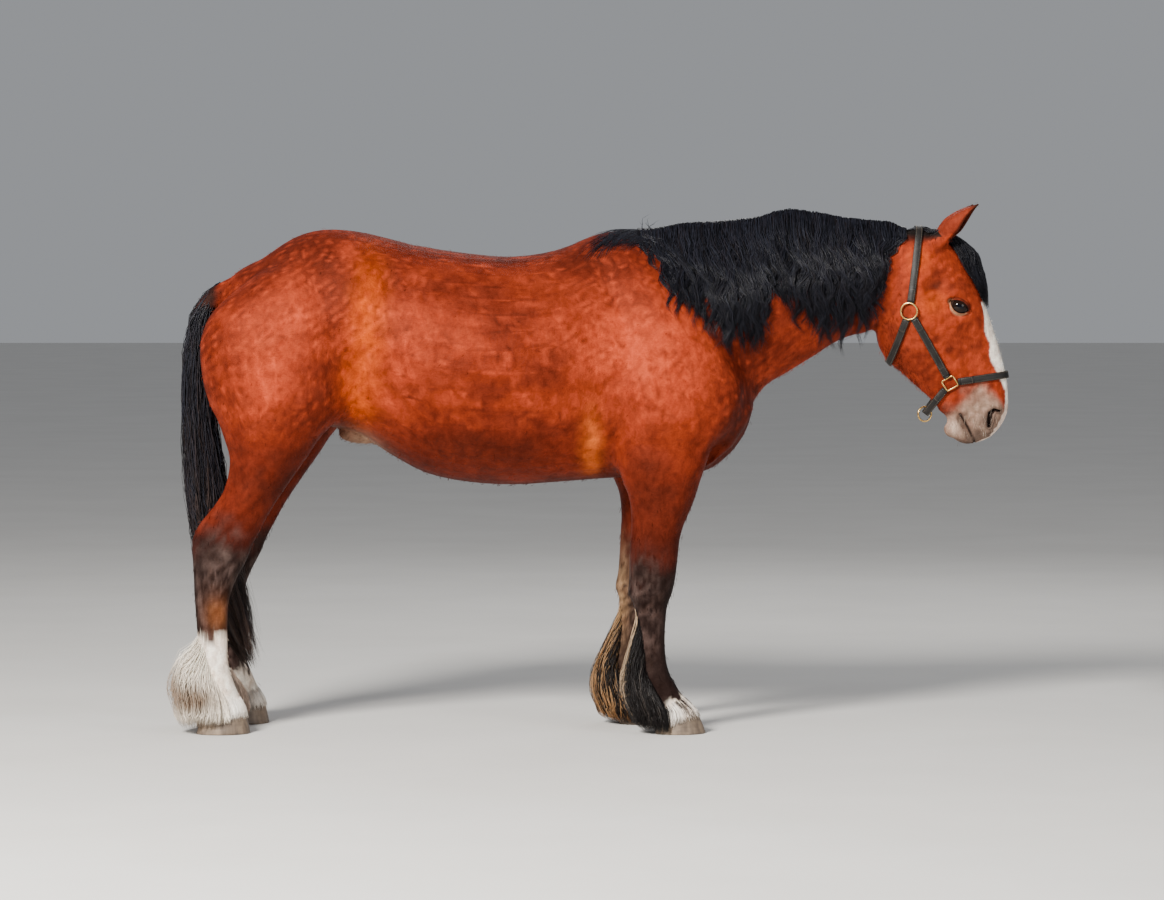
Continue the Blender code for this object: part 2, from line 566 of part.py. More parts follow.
def head_strokes():
    """Bones and hollows of the head, on its right and left."""

    def path(*places):
        return [tuple(head_point(*place)) for place in places]

    return [
        (path((0.24, -0.17, 0.105), (0.31, -0.21, 0.095)), 0.080, 0.013),
        (path((0.315, -0.050, 0.11), (0.38, -0.056, 0.095), (0.45, -0.062, 0.08)), 0.022, 0.008),
        (path((0.41, -0.130, 0.09), (0.51, -0.118, 0.07)), 0.036, -0.008),
        (path((0.36, 0.015, 0.09), (0.48, 0.015, 0.07)), 0.034, -0.004),
        (path((0.163, -0.072, 0.11),), 0.028, -0.010),
        (path((0.225, 0.000, 0.11), (0.285, -0.022, 0.11)), 0.050, 0.012),
        (path((0.214, 0.012, 0.11), (0.236, -0.036, 0.115)), 0.020, 0.006),
        (path((0.11, -0.10, 0.105), (0.19, -0.110, 0.11), (0.26, -0.090, 0.12)), 0.026, 0.004),
        (path((0.250, -0.048, 0.115),), 0.018, -0.005),
        (path((0.06, -0.15, 0.09), (0.15, -0.21, 0.085), (0.22, -0.27, 0.07)), 0.024, -0.006),
        (path((0.625, 0.002, 0.064), (0.660, -0.022, 0.060)), 0.030, 0.012),
        (path((0.605, -0.050, 0.066),), 0.024, -0.004),
        (path((0.660, -0.078, 0.055), (0.690, -0.078, 0.03)), 0.026, 0.005),
        (path((0.592, -0.165, 0.02), (0.598, -0.170, 0.0)), 0.022, -0.008),
        (path((0.24, -0.30, 0.0), (0.42, -0.25, 0.0), (0.54, -0.19, 0.0)), 0.024, -0.014),
    ]


THROAT_SEAM = [
    ([(1.10, 0.05, 1.66), (1.03, 0.10, 1.58), (0.98, 0.11, 1.46), (0.95, 0.10, 1.36)], 0.040),
]
BODY_SEAMS = [
    ([(0.18, 0.10, 1.64), (0.30, 0.17, 1.54), (0.42, 0.22, 1.38), (0.53, 0.22, 1.20)], 0.095),
    ([(0.54, 0.18, 1.14), (0.50, 0.20, 0.98), (0.42, 0.18, 0.90), (0.38, 0.16, 0.86)], 0.060),
    ([(0.00, 0.20, 1.58), (0.01, 0.30, 1.40), (0.03, 0.30, 1.25), (0.06, 0.28, 1.10)], 0.075),
    ([(0.10, 0.20, 0.90), (0.10, 0.10, 0.86), (0.24, 0.07, 0.84), (0.38, 0.09, 0.88)], 0.040),
    ([(-0.80, 0.28, 1.30), (-0.80, 0.27, 1.12), (-0.86, 0.22, 1.00)], 0.060),
    ([(-1.20, 0.03, 1.42), (-1.21, 0.03, 1.20), (-1.12, 0.03, 1.02)], 0.030),
    ([(-0.88, 0.10, 0.98), (-1.02, 0.05, 1.02)], 0.050),
]


def fused_body():
    shape = bmesh.new()
    add_body(shape)
    add_loft(shape, flat_rows(NECK))
    add_loft(shape, head_rows(), sides=40, roundness=2.5)
    mesh = fused(shape, "body", BODY_VOXEL)
    relax(mesh, 10)
    soften(mesh, BODY_SEAMS, 50)
    soften(mesh, THROAT_SEAM, 8)
    press(mesh, body_strokes())
    relax(mesh, 4)
    return mesh


def fused_head():
    shape = bmesh.new()
    add_loft(shape, flat_rows(NECK))
    add_head(shape)
    mesh = fused(shape, "head", HEAD_VOXEL)
    relax(mesh, 8)
    soften(mesh, THROAT_SEAM, 28)
    press(mesh, body_strokes())
    press(mesh, head_strokes())
    relax(mesh, 3)
    return mesh


def piece_from(mesh, name, keep, cuts):
    """One part of the fused body: the faces that keep() takes, thinned to the part's budget and
    cut flat. A cut is a point, the outward direction, and a test of which faces it may touch."""
    shape = bmesh.new()
    shape.from_mesh(mesh)
    gone = [face for face in shape.faces if not keep(face.calc_center_median())]
    bmesh.ops.delete(shape, geom=gone, context="FACES")
    budget = next(count for start, count in BUDGET.items() if name.startswith(start))
    cut = thinned(shape, name, budget)
    shape = bmesh.new()
    shape.from_mesh(cut)
    for point, outward, touches in cuts:
        part_flat(shape, point, outward, touches)
    loose = [vert for vert in shape.verts if not vert.link_faces]
    bmesh.ops.delete(shape, geom=loose, context="VERTS")
    return mesh_of(shape, name)


def thinned(shape, name, triangles):
    thin = mesh_of(shape, name)
    count = sum(len(face.vertices) - 2 for face in thin.polygons)
    holder = bpy.data.objects.new(name + "_thin", thin)
    bpy.context.scene.collection.objects.link(holder)
    modifier = holder.modifiers.new("thin", "DECIMATE")
    modifier.ratio = min(1.0, triangles / count)
    made = evaluated_mesh(holder, name)
    bpy.data.objects.remove(holder)
    return made


def part_flat(shape, point, outward, touches=None):
    """Takes away what lies beyond a plane, among the faces with a corner that touches() picks, and
    closes the cut."""
    faces = shape.faces[:]
    if touches:
        faces = [face for face in faces if any(touches(vert.co) for vert in face.verts)]
    edges = {edge for face in faces for edge in face.edges}
    verts = {vert for face in faces for vert in face.verts}
    bmesh.ops.bisect_plane(
        shape,
        geom=[*verts, *edges, *faces],
        dist=1e-6,
        plane_co=point,
        plane_no=outward,
        clear_outer=True,
    )
    rim = [edge for edge in shape.edges if edge.is_boundary and on_plane(edge, point, outward)]
    bmesh.ops.holes_fill(shape, edges=rim, sides=0)


def on_plane(edge, point, outward):
    return all(abs((vert.co - point).dot(outward)) < 1e-5 for vert in edge.verts)


def beyond(cut, place, margin=0.0):
    """True where a place lies past the cut by more than the margin."""
    point, outward = cut
    return (place - point).dot(outward) > margin


def mesh_of(shape, name):
    """A mesh from the shape, in triangles; the shape is used up."""
    bmesh.ops.triangulate(shape, faces=shape.faces)
    mesh = bpy.data.meshes.new(name)
    shape.to_mesh(mesh)
    shape.free()
    return mesh


def tree_of(*meshes):
    """A search tree over the faces of some meshes."""
    points = []
    faces = []
    for mesh in meshes:
        start = len(points)
        points.extend(vert.co.copy() for vert in mesh.vertices)
        faces.extend([start + i for i in face.vertices] for face in mesh.polygons)
    return BVHTree.FromPolygons(points, faces)


def joined(mesh, pieces, operation="UNION", solver="MANIFOLD"):
    """One Boolean of a mesh with many, of which the largest closed surface is kept."""
    name = mesh.name
    group = collection("pieces", hidden=True)
    for piece in pieces:
        group.objects.link(bpy.data.objects.new("piece", piece))
    holder = bpy.data.objects.new(name + "_whole", mesh)
    bpy.context.scene.collection.objects.link(holder)
    modifier = holder.modifiers.new("join", "BOOLEAN")
    modifier.operation = operation
    modifier.operand_type = "COLLECTION"
    modifier.collection = group
    modifier.solver = solver
    made = evaluated_mesh(holder, name)
    for item in [holder, *group.objects]:
        bpy.data.objects.remove(item)
    bpy.data.collections.remove(group)
    return largest_surface(made, name)


def largest_surface(mesh, name):
    shape = bmesh.new()
    shape.from_mesh(mesh)
    waiting = set(shape.faces)
    surfaces = []
    while waiting:
        front = [waiting.pop()]
        surface = list(front)
        while front:
            near = {face for edge in front.pop().edges for face in edge.link_faces} & waiting
            waiting -= near
            front.extend(near)
            surface.extend(near)
        surfaces.append(surface)
    surfaces.sort(key=len)
    for surface in surfaces[:-1]:
        bmesh.ops.delete(shape, geom=surface, context="FACES")
    bmesh.ops.triangulate(shape, faces=shape.faces)
    drop_folds(shape)
    return mesh_of(shape, name)


def drop_folds(shape):
    """Takes out pairs of faces that lie back to back on the same three points."""
    faces = {}
    for face in shape.faces:
        faces.setdefault(frozenset(face.verts), []).append(face)
    folds = [face for twins in faces.values() if len(twins) > 1 for face in twins]
    bmesh.ops.delete(shape, geom=folds, context="FACES")


# The body's own pieces


def is_leg(place, front, margin=CUT_MARGIN):
    """True for a place on a front leg, or a hind leg, below its cut or above it by less than the margin."""
    if front:
        return place.x > -0.20 and place.z < FORE_CUT_Z + margin
    return place.x < -0.86 and place.z < HIND_CUT_Z + margin


def torso_mesh(body):
    point, outward = NECK_CUT
    up = Vector((0, 0, 1))
    fore = Vector((0, 0, FORE_CUT_Z + GAP / 2))
    hind = Vector((0, 0, HIND_CUT_Z + GAP / 2))
    made = piece_from(
        body,
        "torso",
        lambda place: (
            not beyond(NECK_CUT, place, CUT_MARGIN)
            and not is_leg(place, True, -CUT_MARGIN)
            and not is_leg(place, False, -CUT_MARGIN)
        ),
        [
            (point - outward * GAP / 2, outward, lambda place: place.x > 0.10 and place.z > 1.10),
            (fore, -up, lambda place: is_leg(place, True)),
            (hind, -up, lambda place: is_leg(place, False)),
        ],
    )
    return joined(made, [tail_core("room", 1.0, TAIL_ROOM, -GAP / 2)], "DIFFERENCE")


def neck_mesh(body):
    low, low_out = NECK_CUT
    high, high_out = HEAD_CUT
    return piece_from(
        body,
        "neck",
        lambda place: beyond(NECK_CUT, place, -CUT_MARGIN) and not beyond(HEAD_CUT, place, CUT_MARGIN),
        [
            (low + low_out * GAP / 2, -low_out, None),
            (high - high_out * GAP / 2, high_out, None),
        ],
    )


def ear_axes(side):
    """The ear's length, the way its cup faces, and its width, for one side."""
    aim = Vector((EAR_AIM.x, side * EAR_AIM.y, EAR_AIM.z))
    opening = Vector((0.80, side * 0.25, -0.50))
    opening = (opening - aim * opening.dot(aim)).normalized()
    return aim, opening, aim.cross(opening)


def ear_seat(side):
    down, out, aside = EAR_ROOT
    return head_point(down, out, side * aside) + ear_axes(side)[0] * EAR_CUT


def head_mesh(head):
    point, outward = HEAD_CUT
    cuts = [(point + outward * GAP / 2, -outward, None)]
    for side in (RIGHT, LEFT):
        seat = ear_seat(side)
        aim = ear_axes(side)[0]

        def near_ear(place, seat=seat):
            return (place - seat).length < 0.045

        cuts.append((seat - aim * GAP / 2, aim, near_ear))
    made = piece_from(head, "head", lambda place: beyond(HEAD_CUT, place, -CUT_MARGIN), cuts)
    openings = [mouth_cutter()]
    for side in (RIGHT, LEFT):
        openings.extend([socket_cutter(), lid_cutter(side), nostril_cutter(side)])
        place_mesh(openings[-3], eye_centre(side))
    return joined(made, openings, "DIFFERENCE")


def place_mesh(mesh, where):
    mesh.transform(Matrix.Translation(where))


def eye_centre(side):
    return head_point(EYE_DOWN, EYE_OUT, side * EYE_SIDE)


def ball_mesh(name, radius):
    shape = bmesh.new()
    turn = Matrix.Rotation(math.pi / 2, 4, "X")
    bmesh.ops.create_uvsphere(shape, u_segments=13, v_segments=7, radius=radius, matrix=turn)
    return mesh_of(shape, name)


def socket_cutter():
    return ball_mesh("socket", EYE_R + GAP)


def lid_cutter(side):
    """The opening between the lids: an almond that widens outwards."""
    length, height = EYE_SLIT
    along = FACE_DOWN * EYE_SLIT_AIM[0] + FACE_OUT * EYE_SLIT_AIM[1]
    across = Vector((0, 1, 0)).cross(along)
    sides = 16
    rings = []
    for aside, grow in ((-0.004, 0.80), (0.012, 0.92), (0.026, 1.02), (0.050, 1.25)):
        ring = []
        for i in range(sides):
            angle = 2 * math.pi * i / sides
            x = math.cos(angle) * length / 2
            z = math.sin(angle) * abs(math.sin(angle)) ** 0.35 * height / 2
            ring.append(eye_centre(side) + Vector((0, side * aside, 0)) + (along * x + across * z) * grow)
        rings.append(ring)
    shape = bmesh.new()
    skin_rings(shape, rings)
    return mesh_of(shape, "lids")


def nostril_cutter(side):
    along = FACE_DOWN * NOSTRIL_AIM[0] + FACE_OUT * NOSTRIL_AIM[1]
    across = Vector((0, 1, 0)).cross(along)
    sides = 14
    rings = []
    for down, out, aside, half_long, half_wide in NOSTRIL:
        ring = []
        for i in range(sides):
            angle = 2 * math.pi * i / sides
            bend = NOSTRIL_BEND * (math.cos(angle) ** 2 - 0.5) * half_long / NOSTRIL[0][3]
            x = math.cos(angle) * half_long
            z = math.sin(angle) * half_wide - bend
            ring.append(head_point(down, out, side * aside) + along * x + across * z)
        rings.append(ring)
    shape = bmesh.new()
    skin_rings(shape, rings)
    return mesh_of(shape, "nostril")


def mouth_cutter():
    """The line of the mouth: a thin plate from corner to corner, less the head's inside."""
    rings = []
    for aside in (-0.11, 0.11):
        upper = [head_point(down, out + MOUTH_GAP / 2, aside) for down, out in MOUTH]
        lower = [head_point(down, out - MOUTH_GAP / 2, aside) for down, out in MOUTH[1:]]
        rings.append([*upper, *reversed(lower)])
    shape = bmesh.new()
    skin_rings(shape, rings)
    plate = mesh_of(shape, "mouth")
    shape = bmesh.new()
    add_loft(shape, head_rows(MOUTH_DEPTH), sides=20, steps=1, roundness=2.5)
    return joined(plate, [mesh_of(shape, "inside")], "DIFFERENCE")


def hair_line(front, side):
    """The plane in which the skin of a leg ends and its hoof begins."""
    point, slope = FORE_HAIR_LINE if front else HIND_HAIR_LINE
    shift = (FORE_STANCE if front else HIND_STANCE)[side][0]
    return point + Vector((shift, 0, 0)), Vector((-slope, 0, 1)).normalized()


def leg_mesh(body, front, side):
    level = FORE_CUT_Z if front else HIND_CUT_Z
    point, up = hair_line(front, side)
    return piece_from(
        body,
        leg_name(front, side),
        lambda place: is_leg(place, front) and place.y * side > 0,
        [
            (Vector((0, 0, level - GAP / 2)), Vector((0, 0, 1)), None),
            (point + up * GAP / 2, -up, None),
        ],
    )


def leg_name(front, side, stem="leg"):
    return f"{stem}_{'front' if front else 'hind'}_{'right' if side == RIGHT else 'left'}"


def hoof_mesh(front, side):
    """A hoof: a cut cone, longer towards the toe, with a cleft between its heels."""
    ground, hair = FORE_HOOF if front else HIND_HOOF
    aside = side * (FORE_HOOF_SIDE if front else HIND_HOOF_SIDE)
    shift = (FORE_STANCE if front else HIND_STANCE)[side][0]
    point, up = hair_line(front, side)
    sides = 24
    rings = []
    for rise in (0, 0.12, 1.0):
        ring = []
        for i in range(sides):
            angle = 2 * math.pi * i / sides
            middle, length, width = (low + (high - low) * rise for low, high in zip(ground, hair))
            if rise == 0:
                length -= 0.003
                width -= 0.003
            heel = max(0.0, -math.cos(angle) - 0.80) / 0.20
            x = middle + shift + math.cos(angle) * length + heel**2 * HEEL_NOTCH
            y = aside + math.sin(angle) * width
            top = point.z - GAP / 2 - (x - point.x) * up.x / up.z
            ring.append(Vector((x, y, top * rise)))
        rings.append(ring)
    shape = bmesh.new()
    skin_rings(shape, rings)
    return mesh_of(shape, leg_name(front, side, "hoof"))


def ear_mesh(side):
    """A cupped ear, open to the front, on its flat seat."""
    aim, opening, across = ear_axes(side)
    seat = ear_seat(side) + aim * GAP / 2
    steps = 6
    rings = []
    for height, width, depth, reach in EAR:
        share = height / EAR[-1][0]
        wall = EAR_WALL[0] + (EAR_WALL[1] - EAR_WALL[0]) * share
        middle = seat + aim * height + opening * 0.012 * share**2
        ring = []
        for i in range(steps + 1):
            angle = math.radians(reach * (2 * i / steps - 1))
            ring.append(middle + across * width * math.sin(angle) - opening * depth * math.cos(angle))
        for i in range(steps, -1, -1):
            angle = math.radians(reach * (2 * i / steps - 1))
            inner = across * (width - wall) * math.sin(angle) - opening * (depth - wall) * math.cos(angle)
            ring.append(middle + inner)
        rings.append(ring)
    shape = bmesh.new()
    skin_rings(shape, rings)
    return mesh_of(shape, "ear_right" if side == RIGHT else "ear_left")


def eye_mesh(side):
    made = ball_mesh("eye_right" if side == RIGHT else "eye_left", EYE_R)
    place_mesh(made, eye_centre(side))
    return made


# Locks of hair


def add_lock(shape, path, outward, width, thick):
    """A flat, tapered, bending lock along the path, widest before its middle, ending in a point."""
    count = len(path)
    rings = []
    for i in range(count - 1):
        share = i / (count - 1)
        run = (path[i + 1] - path[max(i - 1, 0)]).normalized()
        across = run.cross(outward[i]).normalized()
        up = across.cross(run).normalized()
        wide = width * (0.62 + 0.38 * math.sin(math.pi * min(share / 0.45, 1) / 2)) * (1 - share**2.4)
        deep = thick * (1 - 0.45 * share)
        rings.append(
            [
                path[i] + across * wide / 2,
                path[i] + up * deep / 2,
                path[i] - across * wide / 2,
                path[i] - up * deep / 2,
            ]
        )
    lines = [[shape.verts.new(point) for point in ring] for ring in rings]
    tip = shape.verts.new(path[-1])
    made = [shape.faces.new(lines[0])]
    for first, second in zip(lines, lines[1:]):
        for i in range(4):
            j = (i + 1) % 4
            made.append(shape.faces.new((first[i], first[j], second[j], second[i])))
    for i in range(4):
        made.append(shape.faces.new((lines[-1][i], lines[-1][(i + 1) % 4], tip)))
    bmesh.ops.recalc_face_normals(shape, faces=made)


def lock_mesh(path, outward, width, thick):
    shape = bmesh.new()
    add_lock(shape, path, outward, width, thick)
    return mesh_of(shape, "lock")


def side_of(tree, x, z, side, inside):
    """Where the skin lies at a height, seen from one side, and how it faces there."""
    start = Vector((x, side * 1.0, z))
    place, normal, _, _ = tree.ray_cast(start, Vector((0, -side, 0)))
    if place is None or place.y * side < inside:
        return None
    return place, normal


def read_off(table, place):
    """A value read from a table of (place, value), on straight lines between its rows."""
    return float(np.interp(place, *zip(*table)))


def mane_locks(tree, rng):
    """Locks from the crest that fall over the right side of the neck, in rows one over another."""
    made = []
    for row, count in enumerate(MANE["rows"]):
        for i in range(count):
            share = (i + 0.5 + rng.uniform(-0.3, 0.3)) / count
            x = MANE_FROM + (MANE_TO - MANE_FROM) * share
            lift = 0.011 + 0.009 * row + rng.uniform(0.0, 0.004)
            lift += CHEEK_LIFT * max(0.0, (x - CHEEK_FROM) / (MANE_TO - CHEEK_FROM))
            end = read_off(MANE_ENDS, x) + rng.uniform(-0.04, 0.03) + rng.uniform(0.02, 0.14) * row
            made.append(mane_lock(tree, x, end, lift, rng))
    return made


def mane_lock(tree, x, end, lift, rng):
    """A lock rooted just left of the crest, over it and down the right side of the neck."""
    crest = tree.ray_cast(Vector((x, 0, 2.5)), Vector((0, 0, -1)))[0].z
    arch = read_off(MANE_TOPS, x) - MANE["thick"] / 2 - rng.uniform(0.0, 0.006)
    drift = rng.uniform(-0.025, 0.030) - MANE_LEAN * max(0.0, 1 - (x - MANE_FROM) / 0.14)
    wave = rng.uniform(0, 2 * math.pi)
    root = rng.uniform(0.010, 0.020)
    path = [
        Vector((x, root, crest - ROOT_DEPTH)),
        Vector((x, root - 0.012, arch)),
        Vector((x, root - 0.048 - lift / 2, (arch + crest) / 2 - 0.006)),
    ]
    outward = [Vector((0, 0.8, 0.6)), Vector((0, -0.1, 1)).normalized(), Vector((0, -0.7, 0.7)).normalized()]
    top = crest - 0.050
    steps = 3
    last = path[-1].y - 0.004
    for k in range(steps + 1):
        share = k / steps
        z = top + (end - top) * share
        here = x + drift * share + 0.010 * math.sin(wave + 3.0 * share)
        found = side_of(tree, here, z, RIGHT, 0.02)
        if found:
            place, normal = found
            last = min(place.y - lift / max(0.4, -normal.y), last)
            outward.append(Vector((0, normal.y, max(normal.z, 0))).normalized())
        else:
            outward.append(outward[-1])
        path.append(Vector((here, last, z)))
    width = MANE["width"] * rng.uniform(0.8, 1.15)
    return lock_mesh(path, outward, width, MANE["thick"])


def forelock_locks(tree, rng):
    """Locks from the poll, between the ears, that fall down the forehead, one over another."""
    made = []
    steps = 5
    rows = FORELOCK["rows"]
    for row, count in enumerate(rows):
        for i in range(count):
            aside = ((i + 0.5) / count * 2 - 1) * 0.026
            end = FORELOCK_END - rng.uniform(0.0, 0.05)
            path = []
            for k in range(steps + 1):
                share = k / steps
                down = -0.012 + (end + 0.012) * share
                across = aside * (0.6 + 0.8 * math.sin(math.pi * 0.7 * share)) + rng.uniform(-0.003, 0.003)
                place = tree.ray_cast(head_point(down, 0.4, across), -FACE_OUT)[0]
                stand = read_off(FORELOCK_STAND, down) * (row + 0.6) / (len(rows) - 0.4)
                lift = -ROOT_DEPTH if k == 0 else max(stand, 0.004)
                path.append(place + FACE_OUT * lift)
            width = FORELOCK["width"] * rng.uniform(0.85, 1.1)
            made.append(lock_mesh(path, [FACE_OUT.copy() for _ in path], width, FORELOCK["thick"]))
    return made


def feather_locks(tree, front, side, rng):
    """Locks round the back of the cannon and fetlock that hang to the ground, in two rows."""
    made = []
    for row, count in enumerate(FEATHER["rows"]):
        for i in range(count):
            share = (i + 0.5 + rng.uniform(-0.15, 0.15)) / count * 2 - 1
            turn = math.radians(FEATHER_REACH[row] * share)
            start = FEATHER_ROOTS[row] - 0.07 * share**2
            end = FEATHER_TIPS[row] + rng.uniform(0.0, 0.02)
            made.append(feather_lock(tree, front, side, (start, end), turn, row, rng))
    return made


def leg_axis(front, side, z):
    """The middle of a leg at a height, from its profile."""
    shift = (FORE_STANCE if front else HIND_STANCE)[side]
    rows = stance(flat_rows(FORELEG if front else HINDLEG, side), shift)
    heights = (rows[:, 1] + rows[:, 3]) / 2
    order = np.argsort(heights)
    x = float(np.interp(z, heights[order], (rows[order, 0] + rows[order, 2]) / 2))
    return Vector((x, float(np.interp(z, heights[order], rows[order, 7])), z))


def feather_lock(tree, front, side, ends, turn, row, rng):
    """A lock that leaves the back or side of the leg and follows the feather's outer shape."""
    steps = 4
    table = FORE_FEATHER if front else HIND_FEATHER
    path = []
    outward = []
    for k in range(steps + 1):
        z = ends[0] + (ends[1] - ends[0]) * k / steps
        angle = turn + rng.uniform(-0.05, 0.05)
        away = Vector((-math.cos(angle), side * math.sin(angle), 0))
        middle = leg_axis(front, side, z)
        skin = (tree.ray_cast(middle + away * 0.4, -away)[0] - middle).length
        back = max(math.cos(angle), 0.0) ** 1.3
        beside = read_off(SIDE_FEATHER, z)
        stand = beside + (read_off(table, z) - beside) * back - FEATHER_LAYER * row - FEATHER["thick"] / 2
        if k == 0:
            reach = skin - ROOT_DEPTH * 0.8
        else:
            reach = max(stand, skin + 0.006)
        path.append(middle + away * reach)
        outward.append(away)
    width = FEATHER["width"] * rng.uniform(0.85, 1.15)
    return lock_mesh(path, outward, width, FEATHER["thick"])


def tail_core(name, end_share, room, past_cut):
    """The dock with the upper hair round it, from its flat seat down, wider by the room given."""
    rings = []
    for i, ((x, z), deep, wide) in enumerate(TAIL_LINE[: TAIL_CORE_END + 1]):
        run = tail_run(i)
        back = Vector((-run.z, 0, run.x))
        share = end_share if i == TAIL_CORE_END else 1.0
        ring = []
        for k in range(12):
            angle = 2 * math.pi * k / 12
            across = back * (deep + room) * math.cos(angle)
            aside = Vector((0, (wide + room) * math.sin(angle), 0))
            ring.append(Vector((x, 0, z)) + (across + aside) * share)
        rings.append(ring)
    shape = bmesh.new()
    skin_rings(shape, rings)
    point, outward = DOCK_CUT
    part_flat(shape, point + outward * past_cut, -outward)
    return mesh_of(shape, name)


def tail_mesh(rng):
    return joined(tail_core("tail", 0.55, 0.0, GAP / 2), tail_locks(rng))


def tail_run(i):
    """The direction of the tail's line at one of its rows."""
    before = TAIL_LINE[max(i - 1, 0)][0]
    after = TAIL_LINE[min(i + 1, len(TAIL_LINE) - 1)][0]
    return Vector((after[0] - before[0], 0, after[1] - before[1])).normalized()


def tail_place(along, angle, share):
    """A place round the tail's line: how far along its rows, and at which angle and share of its size."""
    numbers = np.array([(x, z, deep, wide) for (x, z), deep, wide in TAIL_LINE])
    x, z, deep, wide = (float(np.interp(along, range(len(numbers)), column)) for column in numbers.T)
    run = tail_run(min(round(along), len(TAIL_LINE) - 1))
    back = Vector((-run.z, 0, run.x))
    away = back * deep * math.cos(angle) + Vector((0, wide * math.sin(angle), 0))
    return Vector((x, 0, z)) + away * share, away.normalized()


def tail_locks(rng):
    """Locks all round the tail, an outer row and one inside it, out to uneven tips."""
    made = []
    steps = 5
    for row, count in enumerate(TAIL["rows"]):
        for i in range(count):
            angle = 2 * math.pi * (i + 0.5 * row + rng.uniform(-0.2, 0.2)) / count
            start = rng.uniform(2.0, 3.6) + 0.8 * row
            end = len(TAIL_LINE) - 1 - rng.uniform(0, 1.8)
            turn = rng.uniform(-0.3, 0.3)
            path = []
            outward = []
            for k in range(steps + 1):
                share = k / steps
                along = start + (end - start) * share
                stand = 0.75 if k == 0 else 1.0 - 0.35 * row - 0.2 * share**3
                place, away = tail_place(along, angle + turn * share, stand)
                path.append(place)
                outward.append(away)
            width = TAIL["width"] * rng.uniform(0.85, 1.15)
            made.append(lock_mesh(path, outward, width, TAIL["thick"]))
    return made


# The headcollar


def strap_line(tree, low, high, offset, reach, extra=None):
    """A taut line round the head in the plane that holds Y and the line from low to high. The
    offset moves it across the strap. The line runs over the high end, from one side to the other."""
    start = head_point(*low)
    aim = (head_point(*high) - start).normalized()
    across = Vector((0, 1, 0)).cross(aim)
    middle = start.lerp(head_point(*high), 0.35) + across * offset
    flat = []
    for k in range(-36, 37):
        angle = math.radians(reach * k / 36)
        ray = aim * math.cos(angle) + Vector((0, math.sin(angle), 0))
        place = tree.ray_cast(middle, ray)[0]
        if place is None:
            continue
        away = (place - middle).length + STRAP_CLEAR
        flat.append((away * math.sin(angle), away * math.cos(angle)))
    if extra:
        height = (head_point(*extra) - middle).dot(aim)
        flat.extend([(-0.012, height), (0.012, height)])
    line = taut(flat)
    return [middle + Vector((0, y, 0)) + aim * height for y, height in line], aim


def taut(points):
    """The upper side of the hull of some points, from left to right by their angle."""
    points = sorted(points, key=lambda point: math.atan2(point[0], point[1]))
    hull = []
    for point in points:
        while len(hull) > 1 and turns_in(hull[-2], hull[-1], point):
            hull.pop()
        hull.append(point)
    return hull


def turns_in(first, second, third):
    """True where the middle point lies inside the line from the first to the third."""
    run = (second[0] - first[0], second[1] - first[1])
    on = (third[0] - first[0], third[1] - first[1])
    return run[0] * on[1] - run[1] * on[0] >= 0


def trimmed(line, aim, floor):
    """The stretch of a line that lies beyond a height along aim."""
    kept = []
    for first, second in zip(line, line[1:]):
        low, high = (first.dot(aim) - floor, second.dot(aim) - floor)
        if low < 0 <= high or high < 0 <= low:
            kept.append(first.lerp(second, low / (low - high)))
        if high >= 0:
            kept.append(second)
    return kept


def spaced(line, count):
    """Evenly spaced points along a line."""
    lengths = [0.0]
    for first, second in zip(line, line[1:]):
        lengths.append(lengths[-1] + (second - first).length)
    wanted = np.linspace(0, lengths[-1], count)
    columns = [np.interp(wanted, lengths, [point[axis] for point in line]) for axis in range(3)]
    return [Vector(point) for point in zip(*columns)]


def strap_mesh(name, edges, inside):
    """A flat strap between its two inner edges, thickened away from a place inside the head."""
    rings = []
    count = len(edges[0])
    for i in range(count):
        run = edges[0][min(i + 1, count - 1)] - edges[0][max(i - 1, 0)]
        across = (edges[1][i] - edges[0][i]).normalized()
        out = run.normalized().cross(across).normalized()
        if out.dot(edges[0][i] - inside) < 0:
            out = -out
        rings.append(
            [edges[0][i], edges[1][i], edges[1][i] + out * STRAP_THICK, edges[0][i] + out * STRAP_THICK]
        )
    shape = bmesh.new()
    skin_rings(shape, rings)
    return mesh_of(shape, name)


def round_strap(tree, name, low, high, reach, stop, count, extra=None):
    """A strap from a fitting on the right, over the high end, to its fellow on the left."""
    edges = []
    for offset in (-STRAP_WIDE / 2, STRAP_WIDE / 2):
        line, aim = strap_line(tree, low, high, offset, reach, extra)
        floor = head_point(*low).dot(aim) + stop
        edges.append(spaced(trimmed(line, aim, floor), count))
    return strap_mesh(name, edges, head_point(*low).lerp(head_point(*high), 0.35))


def cheek_strap(tree, name, side):
    start = head_point(*RING_AT)
    end = head_point(*SQUARE_AT)
    aim = (end - start).normalized()
    across = Vector((0, 1, 0)).cross(aim)
    first = start + aim * (RING_R + RING_WIRE + GAP)
    last = end - aim * (SQUARE_HALF[0] + SQUARE_BAR * 1.5)
    edges = []
    for offset in (-STRAP_WIDE / 2, STRAP_WIDE / 2):
        flat = []
        for k in range(13):
            place = first.lerp(last, k / 12) + across * offset
            found = tree.ray_cast(place + Vector((0, side * 0.5, 0)), Vector((0, -side, 0)))[0]
            flat.append((k / 12, abs(found.y) + STRAP_CLEAR))
        line = [
            first.lerp(last, share) + across * offset + Vector((0, side * y, 0))
            for share, y in taut_over(flat)
        ]
        edges.append(spaced(line, 7))
    return strap_mesh(name, edges, start.lerp(end, 0.5))


def taut_over(points):
    """The upper side of the hull of points in order of their first number."""
    hull = []
    for point in points:
        while len(hull) > 1 and turns_in(hull[-2], hull[-1], point):
            hull.pop()
        hull.append(point)
    return hull


